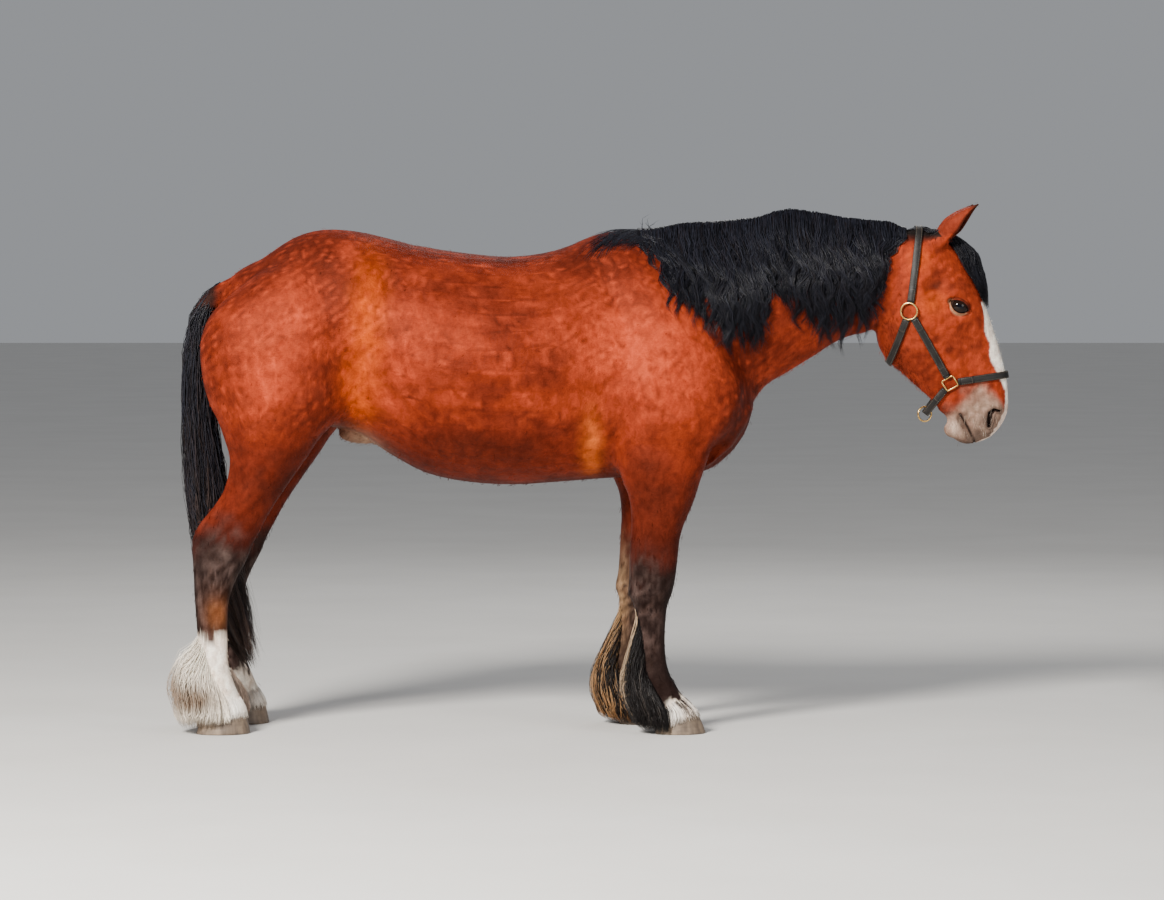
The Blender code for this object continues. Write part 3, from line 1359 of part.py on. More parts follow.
def fitting_frame(tree, spot, side, clear):
    """Where a flat fitting lies on the cheek, and how it faces."""
    places = []
    normals = Vector()
    for along in (-0.02, 0.0, 0.02):
        for over in (-0.02, 0.0, 0.02):
            start = head_point(spot[0] + along, spot[1] + over, side * 0.5)
            place, normal, _, _ = tree.ray_cast(start, Vector((0, -side, 0)))
            places.append(place)
            normals += normal
    normal = normals.normalized()
    start = head_point(*spot, side * 0.5)
    place = tree.ray_cast(start, Vector((0, -side, 0)))[0]
    rise = max((other - place).dot(normal) for other in places)
    return place + normal * (rise + clear), normal


def wire_loop(name, middle, points, wire, sides):
    """A closed loop of round wire through points about the middle."""
    count = len(points)
    rings = []
    for i, point in enumerate(points):
        run = (points[(i + 1) % count] - points[i - 1]).normalized()
        out = (point - middle).normalized()
        up = run.cross(out).normalized()
        out = up.cross(run)
        ring = []
        for k in range(sides):
            angle = 2 * math.pi * (k + 0.5) / sides
            ring.append(point + out * wire * math.cos(angle) + up * wire * math.sin(angle))
        rings.append(ring)
    shape = bmesh.new()
    skin_rings(shape, rings, closed=True)
    return mesh_of(shape, name)


def ring_mesh(tree, name, spot, side, radius):
    middle, normal = fitting_frame(tree, spot, side, STRAP_CLEAR + RING_WIRE)
    first = normal.cross(FACE_DOWN).normalized()
    second = normal.cross(first)
    count = 18
    points = []
    for i in range(count):
        angle = 2 * math.pi * i / count
        points.append(middle + first * radius * math.cos(angle) + second * radius * math.sin(angle))
    return wire_loop(name, middle, points, RING_WIRE, 5)


def square_mesh(tree, name, side):
    """The square fitting where the cheek, nose and chin straps meet."""
    middle, normal = fitting_frame(tree, SQUARE_AT, side, STRAP_CLEAR + SQUARE_BAR / 2)
    aim = (head_point(*SQUARE_AT) - head_point(*RING_AT)).normalized()
    along = (aim - normal * aim.dot(normal)).normalized()
    across = normal.cross(along)
    corner = 0.005
    points = []
    for a, b in ((1, 1), (-1, 1), (-1, -1), (1, -1)):
        near = (SQUARE_HALF[0] - corner, SQUARE_HALF[1] - corner)
        ends = [(a * SQUARE_HALF[0], b * near[1]), (a * near[0], b * SQUARE_HALF[1])]
        if a * b < 0:
            ends.reverse()
        points.extend(middle + along * x + across * y for x, y in ends)
    return wire_loop(name, middle, points, SQUARE_BAR * 0.62, 4)


def chin_ring_mesh(name):
    """The ring that hangs round the middle of the chin strap."""
    low = head_point(*CHIN_LOW)
    aim = (low - head_point(*SQUARE_AT)).normalized()
    middle = low + aim * STRAP_THICK
    turn = math.radians(CHIN_RING_TURN)
    flat = Vector((math.cos(turn), math.sin(turn), 0))
    up = Vector((0, 0, 1))
    count = 14
    points = []
    for i in range(count):
        angle = 2 * math.pi * i / count
        points.append(middle + (flat * math.cos(angle) + up * math.sin(angle)) * CHIN_RING_R)
    return wire_loop(name, middle, points, RING_WIRE, 5)


def headcollar(tree):
    """The straps and fittings, by name: leather first, then brass."""
    stop = RING_R + RING_WIRE + GAP
    end = math.hypot(*SQUARE_HALF) + SQUARE_BAR
    corner = end + SQUARE_BAR / 2
    leather = {
        "crown": round_strap(tree, "crown", RING_AT, CROWN_TOP, 150, stop, 19),
        "throat": round_strap(tree, "throat", RING_AT, THROAT_LOW, 150, stop, 15),
        "nose": round_strap(tree, "nose", SQUARE_AT, NOSE_FRONT, 160, end, 15),
        "chin": round_strap(tree, "chin", SQUARE_AT, CHIN_LOW, 160, corner, 13, CHIN_LOW),
    }
    brass = {"ring_chin": chin_ring_mesh("ring_chin")}
    for side, word in ((RIGHT, "right"), (LEFT, "left")):
        leather["cheek_" + word] = cheek_strap(tree, "cheek", side)
        brass["ring_" + word] = ring_mesh(tree, "ring", RING_AT, side, RING_R)
        brass["square_" + word] = square_mesh(tree, "square", side)
    return leather, brass


def add_object(name, mesh, group, look):
    mesh.name = name
    mesh.materials.clear()
    mesh.materials.append(look)
    made = bpy.data.objects.new(name, mesh)
    made.location = PLACE
    group.objects.link(made)
    return made


def main():
    clear_scene()
    group = collection("heavy_horse")
    bay = material("bay_coat", (0.36, 0.10, 0.035), 0.5)
    hair = material("black_hair", (0.02, 0.017, 0.016), 0.5)
    horn = material("hoof_horn", (0.12, 0.09, 0.07), 0.6)
    wet = material("eye", (0.02, 0.012, 0.008), 0.05)
    hide = material("strap_leather", (0.05, 0.035, 0.028), 0.5)
    metal = material("brass", (0.62, 0.42, 0.16), 0.3, 1.0)
    rng = random.Random(SEED)
    body = fused_body()
    head = fused_head()
    skin = tree_of(body, head)
    face = tree_of(head)
    add_object("torso", torso_mesh(body), group, bay)
    add_object("neck", joined(neck_mesh(body), mane_locks(skin, rng)), group, bay)
    add_object("head", joined(head_mesh(head), forelock_locks(face, rng)), group, bay)
    add_object("tail", tail_mesh(rng), group, hair)
    for side, word in ((RIGHT, "right"), (LEFT, "left")):
        for front in (True, False):
            leg = leg_mesh(body, front, side)
            hoof = hoof_mesh(front, side)
            locks = feather_locks(tree_of(leg, hoof), front, side, rng)
            add_object(leg_name(front, side), joined(leg, locks), group, bay)
            add_object(leg_name(front, side, "hoof"), hoof, group, horn)
        add_object("ear_" + word, ear_mesh(side), group, bay)
        add_object("eye_" + word, eye_mesh(side), group, wet)
    leather, brass = headcollar(face)
    for name, mesh in leather.items():
        add_object("headcollar_" + name, mesh, group, hide)
    for name, mesh in brass.items():
        add_object("headcollar_" + name, mesh, group, metal)


main()
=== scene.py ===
"""The looks of a life-size heavy horse in a leather headcollar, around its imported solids.

Metres. +X runs towards the head, +Y to the horse's left side, and +Z up from the ground. The flesh is
built once more from its profiles as one seamless skin, finer at the head, and the mane, forelock, tail,
feather and edge fur are meshes of many slim strands that lie over it.
"""

import math

import bmesh
import bpy
import numpy as np
from mathutils import Matrix, Vector
from mathutils.bvhtree import BVHTree

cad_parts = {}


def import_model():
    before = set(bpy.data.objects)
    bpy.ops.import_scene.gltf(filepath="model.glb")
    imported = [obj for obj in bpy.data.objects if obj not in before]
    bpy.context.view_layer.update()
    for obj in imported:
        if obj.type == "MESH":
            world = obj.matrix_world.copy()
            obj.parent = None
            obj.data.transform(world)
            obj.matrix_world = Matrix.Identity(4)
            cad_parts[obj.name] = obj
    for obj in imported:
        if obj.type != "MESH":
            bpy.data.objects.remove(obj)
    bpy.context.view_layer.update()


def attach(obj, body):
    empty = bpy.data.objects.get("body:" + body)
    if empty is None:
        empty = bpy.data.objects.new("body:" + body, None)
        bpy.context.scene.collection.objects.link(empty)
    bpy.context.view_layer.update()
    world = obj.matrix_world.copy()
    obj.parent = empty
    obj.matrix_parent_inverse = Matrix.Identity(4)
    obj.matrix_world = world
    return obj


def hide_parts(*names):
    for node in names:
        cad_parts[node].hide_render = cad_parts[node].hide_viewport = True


SEED = 11
BODY = "root"                            # the one body that every piece rides on
PLACE = np.array([-0.015, 0.0, 0.0])     # from the profiles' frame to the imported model's
RIGHT = -1
LEFT = 1

# Profiles of the flesh. Each row is one cross-section: the two ends of its depth in the side view as
# (x, z), half its width, how far it is pinched in towards each end, and its middle's side distance.
TORSO = [
    ((-1.215, 1.475), (-1.215, 1.20), 0.060, 0.9, 0.9, 0),
    ((-1.17, 1.525), (-1.18, 1.12), 0.120, 0.9, 0.9, 0),
    ((-1.09, 1.572), (-1.09, 1.06), 0.180, 0.9, 0.9, 0),
    ((-0.98, 1.642), (-0.98, 1.03), 0.235, 0.9, 0.9, 0),
    ((-0.88, 1.670), (-0.88, 1.01), 0.268, 0.92, 0.9, 0),
    ((-0.77, 1.664), (-0.77, 0.985), 0.285, 0.95, 0.9, 0),
    ((-0.66, 1.640), (-0.66, 0.915), 0.290, 0.9, 0.9, 0),
    ((-0.54, 1.609), (-0.54, 0.852), 0.305, 0.85, 0.95, 0),
    ((-0.40, 1.588), (-0.40, 0.822), 0.322, 0.82, 1.0, 0),
    ((-0.25, 1.577), (-0.25, 0.813), 0.328, 0.80, 1.0, 0),
    ((-0.10, 1.600), (-0.10, 0.822), 0.315, 0.70, 0.95, 0),
    ((0.03, 1.652), (0.03, 0.832), 0.290, 0.52, 0.9, 0),
    ((0.14, 1.668), (0.14, 0.838), 0.262, 0.40, 0.9, 0),
    ((0.26, 1.650), (0.26, 0.842), 0.240, 0.42, 0.9, 0),
    ((0.37, 1.56), (0.38, 0.855), 0.222, 0.60, 0.9, 0),
    ((0.46, 1.42), (0.465, 0.905), 0.190, 0.80, 0.85, 0),
    ((0.525, 1.26), (0.525, 0.985), 0.130, 0.9, 0.9, 0),
    ((0.552, 1.17), (0.552, 1.07), 0.060, 0.9, 0.9, 0),
]
NECK = [
    ((0.06, 1.640), (0.42, 0.960), 0.225, 0.35, 0.8, 0),
    ((0.21, 1.662), (0.530, 1.060), 0.208, 0.34, 0.7, 0),
    ((0.36, 1.678), (0.590, 1.140), 0.176, 0.34, 0.66, 0),
    ((0.50, 1.688), (0.665, 1.187), 0.146, 0.34, 0.64, 0),
    ((0.64, 1.700), (0.750, 1.240), 0.125, 0.36, 0.64, 0),
    ((0.78, 1.698), (0.825, 1.288), 0.113, 0.38, 0.67, 0),
    ((0.90, 1.684), (0.885, 1.312), 0.106, 0.42, 0.70, 0),
    ((1.01, 1.668), (0.955, 1.325), 0.100, 0.52, 0.75, 0),
    ((1.09, 1.655), (1.03, 1.38), 0.085, 0.70, 0.8, 0),
]
SHOULDER = [
    ((0.16, 1.630), (-0.01, 1.590), 0.045, 1, 1, 0.070),
    ((0.25, 1.545), (0.00, 1.450), 0.075, 1, 1, 0.125),
    ((0.35, 1.430), (0.03, 1.290), 0.100, 1, 1, 0.157),
    ((0.450, 1.300), (0.05, 1.140), 0.116, 1, 1, 0.170),
    ((0.515, 1.160), (0.075, 1.010), 0.120, 1, 1, 0.172),
    ((0.500, 1.040), (0.095, 0.930), 0.108, 1, 1, 0.170),
    ((0.430, 0.960), (0.150, 0.890), 0.085, 1, 1, 0.165),
]
BREAST = [
    ((0.40, 1.20), (0.30, 1.08), 0.090, 1, 1, 0.085),
    ((0.515, 1.16), (0.40, 1.00), 0.088, 1, 1, 0.085),
    ((0.545, 1.06), (0.42, 0.92), 0.080, 1, 1, 0.080),
    ((0.480, 0.945), (0.38, 0.865), 0.068, 1, 1, 0.080),
]
FORELEG = [
    ((0.400, 1.120), (0.110, 1.120), 0.085, 1, 1, 0.165),
    ((0.412, 1.000), (0.085, 1.000), 0.096, 1, 1, 0.172),
    ((0.402, 0.905), (0.088, 0.905), 0.097, 1, 1, 0.175),
    ((0.378, 0.840), (0.108, 0.840), 0.090, 1, 1, 0.175),
    ((0.360, 0.790), (0.130, 0.790), 0.082, 1, 1, 0.174),
    ((0.341, 0.742), (0.139, 0.742), 0.075, 1, 0.95, 0.172),
    ((0.319, 0.692), (0.141, 0.692), 0.069, 1, 0.9, 0.170),
    ((0.305, 0.643), (0.138, 0.643), 0.064, 1, 0.9, 0.168),
    ((0.298, 0.577), (0.135, 0.577), 0.061, 1, 0.85, 0.166),
    ((0.290, 0.511), (0.134, 0.511), 0.063, 1, 0.85, 0.165),
    ((0.279, 0.462), (0.131, 0.462), 0.060, 1, 0.8, 0.164),
    ((0.266, 0.429), (0.147, 0.429), 0.050, 1, 0.8, 0.163),
    ((0.259, 0.380), (0.160, 0.380), 0.040, 1, 0.8, 0.162),
    ((0.256, 0.314), (0.162, 0.314), 0.037, 1, 0.8, 0.161),
    ((0.259, 0.248), (0.160, 0.248), 0.041, 1, 0.8, 0.160),
    ((0.271, 0.199), (0.154, 0.196), 0.052, 1, 0.8, 0.160),
    ((0.289, 0.166), (0.170, 0.150), 0.050, 1, 0.9, 0.160),
    ((0.309, 0.133), (0.196, 0.105), 0.049, 1, 1, 0.160),
    ((0.348, 0.094), (0.212, 0.060), 0.063, 1, 1, 0.160),
    ((0.358, 0.070), (0.210, 0.030), 0.066, 1, 1, 0.160),
    ((0.350, 0.040), (0.225, 0.020), 0.055, 1, 1, 0.160),
]
HINDLEG = [
    ((-0.900, 1.560), (-1.080, 1.530), 0.080, 1, 1, 0.130),
    ((-0.830, 1.480), (-1.200, 1.440), 0.115, 1, 1, 0.150),
    ((-0.790, 1.400), (-1.262, 1.370), 0.134, 1, 1, 0.163),
    ((-0.775, 1.300), (-1.284, 1.280), 0.146, 1, 0.95, 0.170),
    ((-0.765, 1.200), (-1.276, 1.180), 0.148, 1, 0.95, 0.173),
    ((-0.785, 1.100), (-1.250, 1.090), 0.140, 1, 0.9, 0.176),
    ((-0.830, 1.030), (-1.221, 1.030), 0.128, 0.95, 0.9, 0.178),
    ((-0.885, 0.972), (-1.201, 0.972), 0.114, 0.95, 0.85, 0.178),
    ((-0.918, 0.923), (-1.186, 0.923), 0.102, 0.95, 0.8, 0.176),
    ((-0.954, 0.873), (-1.186, 0.873), 0.090, 0.95, 0.72, 0.174),
    ((-1.000, 0.807), (-1.204, 0.807), 0.076, 0.95, 0.62, 0.171),
    ((-1.043, 0.742), (-1.240, 0.750), 0.064, 0.95, 0.52, 0.168),
    ((-1.079, 0.676), (-1.288, 0.690), 0.057, 0.95, 0.50, 0.166),
    ((-1.105, 0.627), (-1.309, 0.640), 0.058, 1, 0.50, 0.165),
    ((-1.125, 0.577), (-1.309, 0.577), 0.058, 1, 0.60, 0.164),
    ((-1.160, 0.511), (-1.305, 0.511), 0.052, 1, 0.75, 0.163),
    ((-1.184, 0.446), (-1.303, 0.446), 0.043, 1, 0.8, 0.163),
    ((-1.190, 0.380), (-1.298, 0.380), 0.038, 1, 0.8, 0.163),
    ((-1.191, 0.281), (-1.293, 0.281), 0.038, 1, 0.8, 0.164),
    ((-1.189, 0.232), (-1.296, 0.232), 0.043, 1, 0.8, 0.165),
    ((-1.178, 0.189), (-1.306, 0.185), 0.053, 1, 0.8, 0.166),
    ((-1.165, 0.155), (-1.295, 0.135), 0.050, 1, 0.9, 0.167),
    ((-1.152, 0.125), (-1.285, 0.095), 0.050, 1, 1, 0.168),
    ((-1.134, 0.090), (-1.298, 0.055), 0.064, 1, 1, 0.170),
    ((-1.130, 0.065), (-1.303, 0.027), 0.066, 1, 1, 0.170),
    ((-1.145, 0.035), (-1.290, 0.015), 0.055, 1, 1, 0.170),
]
DOCK = [
    ((-1.060, 1.575), (-1.08, 1.43), 0.070, 1, 1, 0),
    ((-1.160, 1.522), (-1.15, 1.41), 0.055, 1, 1, 0),
    ((-1.225, 1.490), (-1.19, 1.42), 0.040, 1, 1, 0),
    ((-1.275, 1.455), (-1.222, 1.40), 0.033, 1, 1, 0),
    ((-1.315, 1.395), (-1.255, 1.365), 0.030, 1, 1, 0),
    ((-1.330, 1.320), (-1.280, 1.300), 0.026, 1, 1, 0),
    ((-1.325, 1.235), (-1.290, 1.230), 0.018, 1, 1, 0),
]
SHEATH = ((-0.740, 0.0, 0.985), (0.095, 0.040, 0.036))

# How far each leg stands off its profile: a shift at the ground, fading to one above the knee or hock.
FORE_STANCE = {RIGHT: (0.0, 0.0), LEFT: (-0.115, -0.030)}
HIND_STANCE = {RIGHT: (0.0, 0.0), LEFT: (0.040, 0.022)}
STANCE_TOP = 0.59

# The head is measured down its face from the poll and out from it. A row is down, out at the face,
# out at the jaw, half the width, and the pinch towards the face and towards the jaw.
POLL = np.array([1.157, 0.0, 1.657])
FACE_DOWN = np.array([0.3185, 0.0, -0.948]) / math.hypot(0.3185, 0.948)
FACE_OUT = np.array([0.948, 0.0, 0.3185]) / math.hypot(0.3185, 0.948)
SIDEWAYS = np.array([0.0, 1.0, 0.0])
HEAD = [
    (-0.035, -0.045, -0.130, 0.050, 1, 1),
    (0.000, -0.008, -0.190, 0.076, 1, 0.9),
    (0.045, 0.030, -0.235, 0.088, 1, 0.85),
    (0.100, 0.054, -0.266, 0.098, 1, 0.8),
    (0.165, 0.065, -0.288, 0.105, 1.06, 0.72),
    (0.235, 0.076, -0.303, 0.107, 1.08, 0.64),
    (0.300, 0.0820, -0.306, 0.102, 0.96, 0.58),
    (0.360, 0.082, -0.291, 0.092, 0.78, 0.55),
    (0.420, 0.081, -0.262, 0.080, 0.72, 0.55),
    (0.480, 0.0780, -0.231, 0.070, 0.70, 0.55),
    (0.540, 0.0720, -0.197, 0.064, 0.72, 0.6),
    (0.590, 0.0600, -0.172, 0.062, 0.80, 0.6),
    (0.630, 0.0470, -0.168, 0.063, 0.85, 0.62),
    (0.660, 0.0280, -0.166, 0.060, 0.9, 0.7),
    (0.688, -0.004, -0.150, 0.052, 1, 0.8),
    (0.706, -0.038, -0.125, 0.038, 1, 1),
]
CHIN_BALL = (0.640, -0.150, 0.034)       # down, out, radius
EYE = (0.257, -0.009, 0.0845)            # down, out, side
EYE_R = 0.0320
EYE_SLIT = (0.066, 0.0150, 0.0215)       # the opening's length, and how far its lids stand above and below
EYE_SLIT_AIM = (0.734, 0.680)            # its long axis, as down and out
LID_BALL = (0.0770, 0.0310)              # side and radius of the ball that carries the lids
LID_THICK = 0.0030
EAR_ROOT = (0.033, -0.005, 0.060)
EAR_AIM = (0.66, 0.20, 0.72)
EAR_FACING = (0.80, 0.25, -0.50)         # the way the cup faces
EAR_LEAN = 0.012                         # how far the tip bends forward
EAR_SEAT = 0.030
EAR = [
    (-0.030, 0.0200, 0.0210, 165),
    (0.000, 0.0265, 0.0270, 162),
    (0.020, 0.0310, 0.0290, 158),
    (0.045, 0.0360, 0.0310, 148),
    (0.070, 0.0370, 0.0280, 134),
    (0.095, 0.0335, 0.0225, 120),
    (0.120, 0.0235, 0.0145, 108),
    (0.140, 0.0115, 0.0075, 98),
    (0.152, 0.0035, 0.0032, 90),
]
EAR_WALL = (0.0050, 0.0016)
NOSTRIL = (0.645, -0.020, 0.062)         # its middle, as down, out and side
NOSTRIL_LINE = [                         # its curved slit, as down, out and half the width
    (0.632, 0.010, 0.0040), (0.622, -0.006, 0.0058), (0.629, -0.022, 0.0084), (0.648, -0.031, 0.0092),
    (0.667, -0.039, 0.0062),
]
NOSTRIL_DEPTH = 0.020
MOUTH = [(0.598, -0.1175), (0.622, -0.112), (0.650, -0.107), (0.690, -0.102), (0.740, -0.097)]

# Hooves: ground outline and hair line outline as middle, half length, half width; side distance; and
# the plane of the hair line as a point and its rise for each metre forward.
FORE_HOOF = ((0.300, 0.0905, 0.080), (0.285, 0.0700, 0.0655), 0.160, (0.285, 0.0586), 0.36)
HIND_HOOF = ((-1.212, 0.0955, 0.080), (-1.215, 0.0800, 0.0655), 0.170, (-1.215, 0.065), 0.25)
HEEL_NOTCH = 0.016

# Long hair, as outlines that the solids' locks also keep to. The mane's top and ends are x and z. The
# forelock's stand is down and out. A feather is a height and how far it reaches from the leg's middle,
# behind or beside. The tail is x, z, half its depth and half its width.
MANE_TOPS = [
    (0.20, 1.683), (0.32, 1.693), (0.45, 1.695), (0.56, 1.710), (0.62, 1.731), (0.67, 1.740),
    (0.75, 1.731), (0.85, 1.711), (0.96, 1.700), (1.04, 1.697),
]
MANE_ENDS = [
    (0.21, 1.56), (0.27, 1.43), (0.37, 1.36), (0.47, 1.28), (0.56, 1.28), (0.62, 1.43),
    (0.70, 1.37), (0.77, 1.31), (0.84, 1.30), (0.94, 1.36), (0.99, 1.46), (1.04, 1.53),
]
FORELOCK_END = 0.292
FORELOCK_STAND = [(-0.03, 0.010), (0.0, 0.022), (0.04, 0.032), (0.12, 0.042), (0.20, 0.031), (0.29, 0.008)]
FORE_FEATHER = [
    (0.0, 0.090), (0.03, 0.138), (0.09, 0.156), (0.14, 0.136), (0.21, 0.100), (0.30, 0.074), (0.38, 0.052),
]
HIND_FEATHER = [(0.0, 0.115), (0.06, 0.154), (0.14, 0.170), (0.20, 0.145), (0.30, 0.100), (0.38, 0.060)]
SIDE_FEATHER = [(0.0, 0.098), (0.06, 0.103), (0.12, 0.084), (0.20, 0.068), (0.30, 0.050), (0.38, 0.036)]
TAIL_LINE = [
    (-1.200, 1.490, 0.030, 0.030),
    (-1.255, 1.445, 0.032, 0.032),
    (-1.292, 1.370, 0.036, 0.036),
    (-1.302, 1.260, 0.042, 0.044),
    (-1.303, 1.100, 0.046, 0.052),
    (-1.290, 0.930, 0.056, 0.062),
    (-1.272, 0.760, 0.066, 0.072),
    (-1.248, 0.600, 0.064, 0.075),
    (-1.208, 0.450, 0.062, 0.070),
    (-1.158, 0.300, 0.046, 0.052),
    (-1.112, 0.190, 0.022, 0.028),
]

# The headcollar, in the head's measures.
RING_AT = (0.219, -0.172)
SQUARE_AT = (0.489, -0.1155)
CROWN_TOP = (-0.031, -0.050)
NOSE_FRONT = (0.526, 0.078)
CHIN_LOW = (0.562, -0.222)
THROAT_LOW = (0.371, -0.292)
STRAP_WIDE = 0.024
STRAP_THICK = 0.0040
STRAP_CLEAR = 0.0062
RING_R = 0.0275
RING_WIRE = 0.0030
CHIN_RING_R = 0.0245
CHIN_RING_TURN = 24
SQUARE_HALF = (0.0190, 0.0215)
SQUARE_BAR = 0.0045
SQUARE_CORNER = 0.0055

SKIN_VOXEL = 0.0055
SKIN_EASE = (0.60, -0.615)   # a step in and a step out, which even the skin without shrinking it
COAT_DEPTH = 0.0020          # how far the skin lies inside the solids' surface
SKIN_FACES = 196000          # triangles of the skin, whose head keeps its full detail


def head_point(down, out, side=0.0):
    """A place on the head, from its distance down the face, out from it and to the side."""
    return POLL + FACE_DOWN * down + FACE_OUT * out + SIDEWAYS * side


def head_measures(points):
    """Places as distances down the head's face and out from it."""
    return (points - POLL) @ FACE_DOWN, (points - POLL) @ FACE_OUT


def smooth(low, high, value):
    """A soft step from 0 at the low value to 1 at the high one."""
    share = np.clip((value - low) / (high - low), 0, 1)
    return share * share * (3 - 2 * share)


def bell(value, width):
    """1 where the value is nought, falling softly away on both sides."""
    return np.exp(-((value / width) ** 2))


def unit(vectors):
    """The same directions with a length of one."""
    axis = -1 if vectors.ndim > 1 else None
    return vectors / np.maximum(np.linalg.norm(vectors, axis=axis, keepdims=True), 1e-9)


def round_angles(count):
    """A count of even turns of a full circle."""
    return 2 * np.pi * np.arange(count) / count


def side_word(side):
    return "right" if side == RIGHT else "left"


def leg_word(front, side):
    return f"{'front' if front else 'hind'}_{side_word(side)}"


def read_off(table, place):
    """The value of a table of places and values at any place between them."""
    places, values = zip(*table)
    return np.interp(place, places, values)


# Flesh


def flat_rows(rows, side=1):
    """A profile's rows as plain rows of numbers, for one side of the body."""
    flat = [[*upper, *lower, half, up, low, side * away] for upper, lower, half, up, low, away in rows]
    return np.array(flat)


def head_rows():
    rows = []
    for down, face, jaw, half, up, low in HEAD:
        front = head_point(down, face)
        back = head_point(down, jaw)
        rows.append(((front[0], front[2]), (back[0], back[2]), half, up, low, 0))
    return flat_rows(rows)


def smooth_rows(rows, steps):
    """More rows between the given ones, on smooth curves through them."""
    padded = np.vstack([2 * rows[0] - rows[1], rows, 2 * rows[-1] - rows[-2]])
    made = []
    for i in range(len(rows) - 1):
        before, start, end, after = padded[i : i + 4]
        for step in range(steps):
            t = step / steps
            made.append(
                start
                + 0.5 * t * (end - before)
                + t * t * (before - 2.5 * start + 2 * end - 0.5 * after)
                + t**3 * (1.5 * (start - end) + 0.5 * (after - before))
            )
    return np.array([*made, rows[-1]])


def outline(row, sides, roundness=2.25):
    upper_x, upper_z, lower_x, lower_z, half, up, low, away = row
    angle = round_angles(sides)
    along = np.sign(np.cos(angle)) * np.abs(np.cos(angle)) ** (2 / roundness)
    across = np.sign(np.sin(angle)) * np.abs(np.sin(angle)) ** (2 / roundness)
    pinch = 1 + (up - 1) * np.maximum(along, 0) ** 1.5 + (low - 1) * np.maximum(-along, 0) ** 1.5
    return np.column_stack(
        [
            (upper_x + lower_x) / 2 + (upper_x - lower_x) / 2 * along,
            away + half * across * pinch,
            (upper_z + lower_z) / 2 + (upper_z - lower_z) / 2 * along,
        ]
    )


def add_rings(shape, rings, closed=False):
    """A closed skin over a row of outlines of like count, or a loop of them."""
    loops = []
    for ring in rings:
        verts = bmesh.ops.create_circle(shape, segments=len(ring), radius=1)["verts"]
        for vert, place in zip(verts, ring):
            vert.co = place
        loops.append(list(dict.fromkeys(edge for vert in verts for edge in vert.link_edges)))
    faces = []
    follow = [*loops[1:], loops[0]] if closed else loops[1:]
    for first, second in zip(loops, follow):
        faces += bmesh.ops.bridge_loops(shape, edges=first + second)["faces"]
    if not closed:
        for end in (loops[0], loops[-1]):
            faces += bmesh.ops.edgeloop_fill(shape, edges=end)["faces"]
    bmesh.ops.recalc_face_normals(shape, faces=faces)


def add_loft(shape, rows, sides=28, steps=3, roundness=2.25):
    mass = bmesh.new()
    add_rings(mass, [outline(row, sides, roundness) for row in smooth_rows(rows, steps)])
    shape.from_mesh(mesh_of(mass, "mass"))


def add_ball(shape, centre, radii, turn=None):
    matrix = Matrix.Translation(centre) @ (turn or Matrix()) @ Matrix.Diagonal((*radii, 1))
    bmesh.ops.create_uvsphere(shape, u_segments=24, v_segments=16, radius=1, matrix=matrix)


def stance(rows, shift):
    """A leg's rows, moved along X by the ground shift below and the upper shift above."""
    ground, upper = shift
    moved = rows.copy()
    for column in (0, 2):
        share = smooth(0, STANCE_TOP, rows[:, column + 1])
        fade = np.clip((1.35 - rows[:, column + 1]) / 0.35, 0, 1)
        moved[:, column] += (ground + (upper - ground) * share) * fade
    return moved


def ground_shift(front, side):
    """How far a foot stands ahead of its profile."""
    return (FORE_STANCE if front else HIND_STANCE)[side][0]


def leg_rows(front, side):
    if front:
        return stance(flat_rows(FORELEG, side), FORE_STANCE[side])
    return stance(flat_rows(HINDLEG, side), HIND_STANCE[side])


def add_flesh(shape):
    add_loft(shape, flat_rows(TORSO), sides=40)
    add_loft(shape, flat_rows(DOCK))
    add_ball(shape, *SHEATH)
    add_loft(shape, flat_rows(NECK))
    add_loft(shape, head_rows(), sides=40, roundness=2.5)
    down, out, radius = CHIN_BALL
    add_ball(shape, head_point(down, out), (radius, radius * 1.05, radius))
    for side in (RIGHT, LEFT):
        add_loft(shape, flat_rows(SHOULDER, side))
        add_loft(shape, flat_rows(BREAST, side))
        add_loft(shape, leg_rows(True, side))
        add_loft(shape, leg_rows(False, side), sides=32)
        add_ball(shape, head_point(EYE[0], EYE[1], side * LID_BALL[0]), (LID_BALL[1],) * 3)
        aim = Vector(ear_axes(side)[0])
        turn = aim.to_track_quat("Z", "Y").to_matrix().to_4x4()
        add_ball(shape, head_point(*EAR_ROOT[:2], side * EAR_ROOT[2]), (0.034, 0.034, 0.050), turn)


def mesh_of(shape, name):
    made = bpy.data.meshes.new(name)
    shape.to_mesh(made)
    shape.free()
    return made


def with_modifier(mesh, kind, **settings):
    """The mesh after one modifier, with the given settings."""
    holder = bpy.data.objects.new("holder", mesh)
    bpy.context.scene.collection.objects.link(holder)
    weights = settings.pop("weights", None)
    if weights is not None:
        group = holder.vertex_groups.new(name="thin")
        for level in np.unique(weights):
            group.add(np.flatnonzero(weights == level).tolist(), float(level), "REPLACE")
        settings["vertex_group"] = "thin"
    modifier = holder.modifiers.new("step", kind)
    for name, value in settings.items():
        setattr(modifier, name, value)
    bpy.context.view_layer.update()
    graph = bpy.context.evaluated_depsgraph_get()
    made = bpy.data.meshes.new_from_object(holder.evaluated_get(graph))
    bpy.data.objects.remove(holder)
    return made


def united(mesh, more, operation="UNION"):
    other = bpy.data.objects.new("other", more)
    bpy.context.scene.collection.objects.link(other)
    made = with_modifier(mesh, "BOOLEAN", object=other, operation=operation, solver="MANIFOLD")
    bpy.data.objects.remove(other)
    return made


def points_of(mesh, what="co"):
    points = np.empty(len(mesh.vertices) * 3, np.float32)
    mesh.vertices.foreach_get(what, points)
    return points.reshape(-1, 3).astype(float)


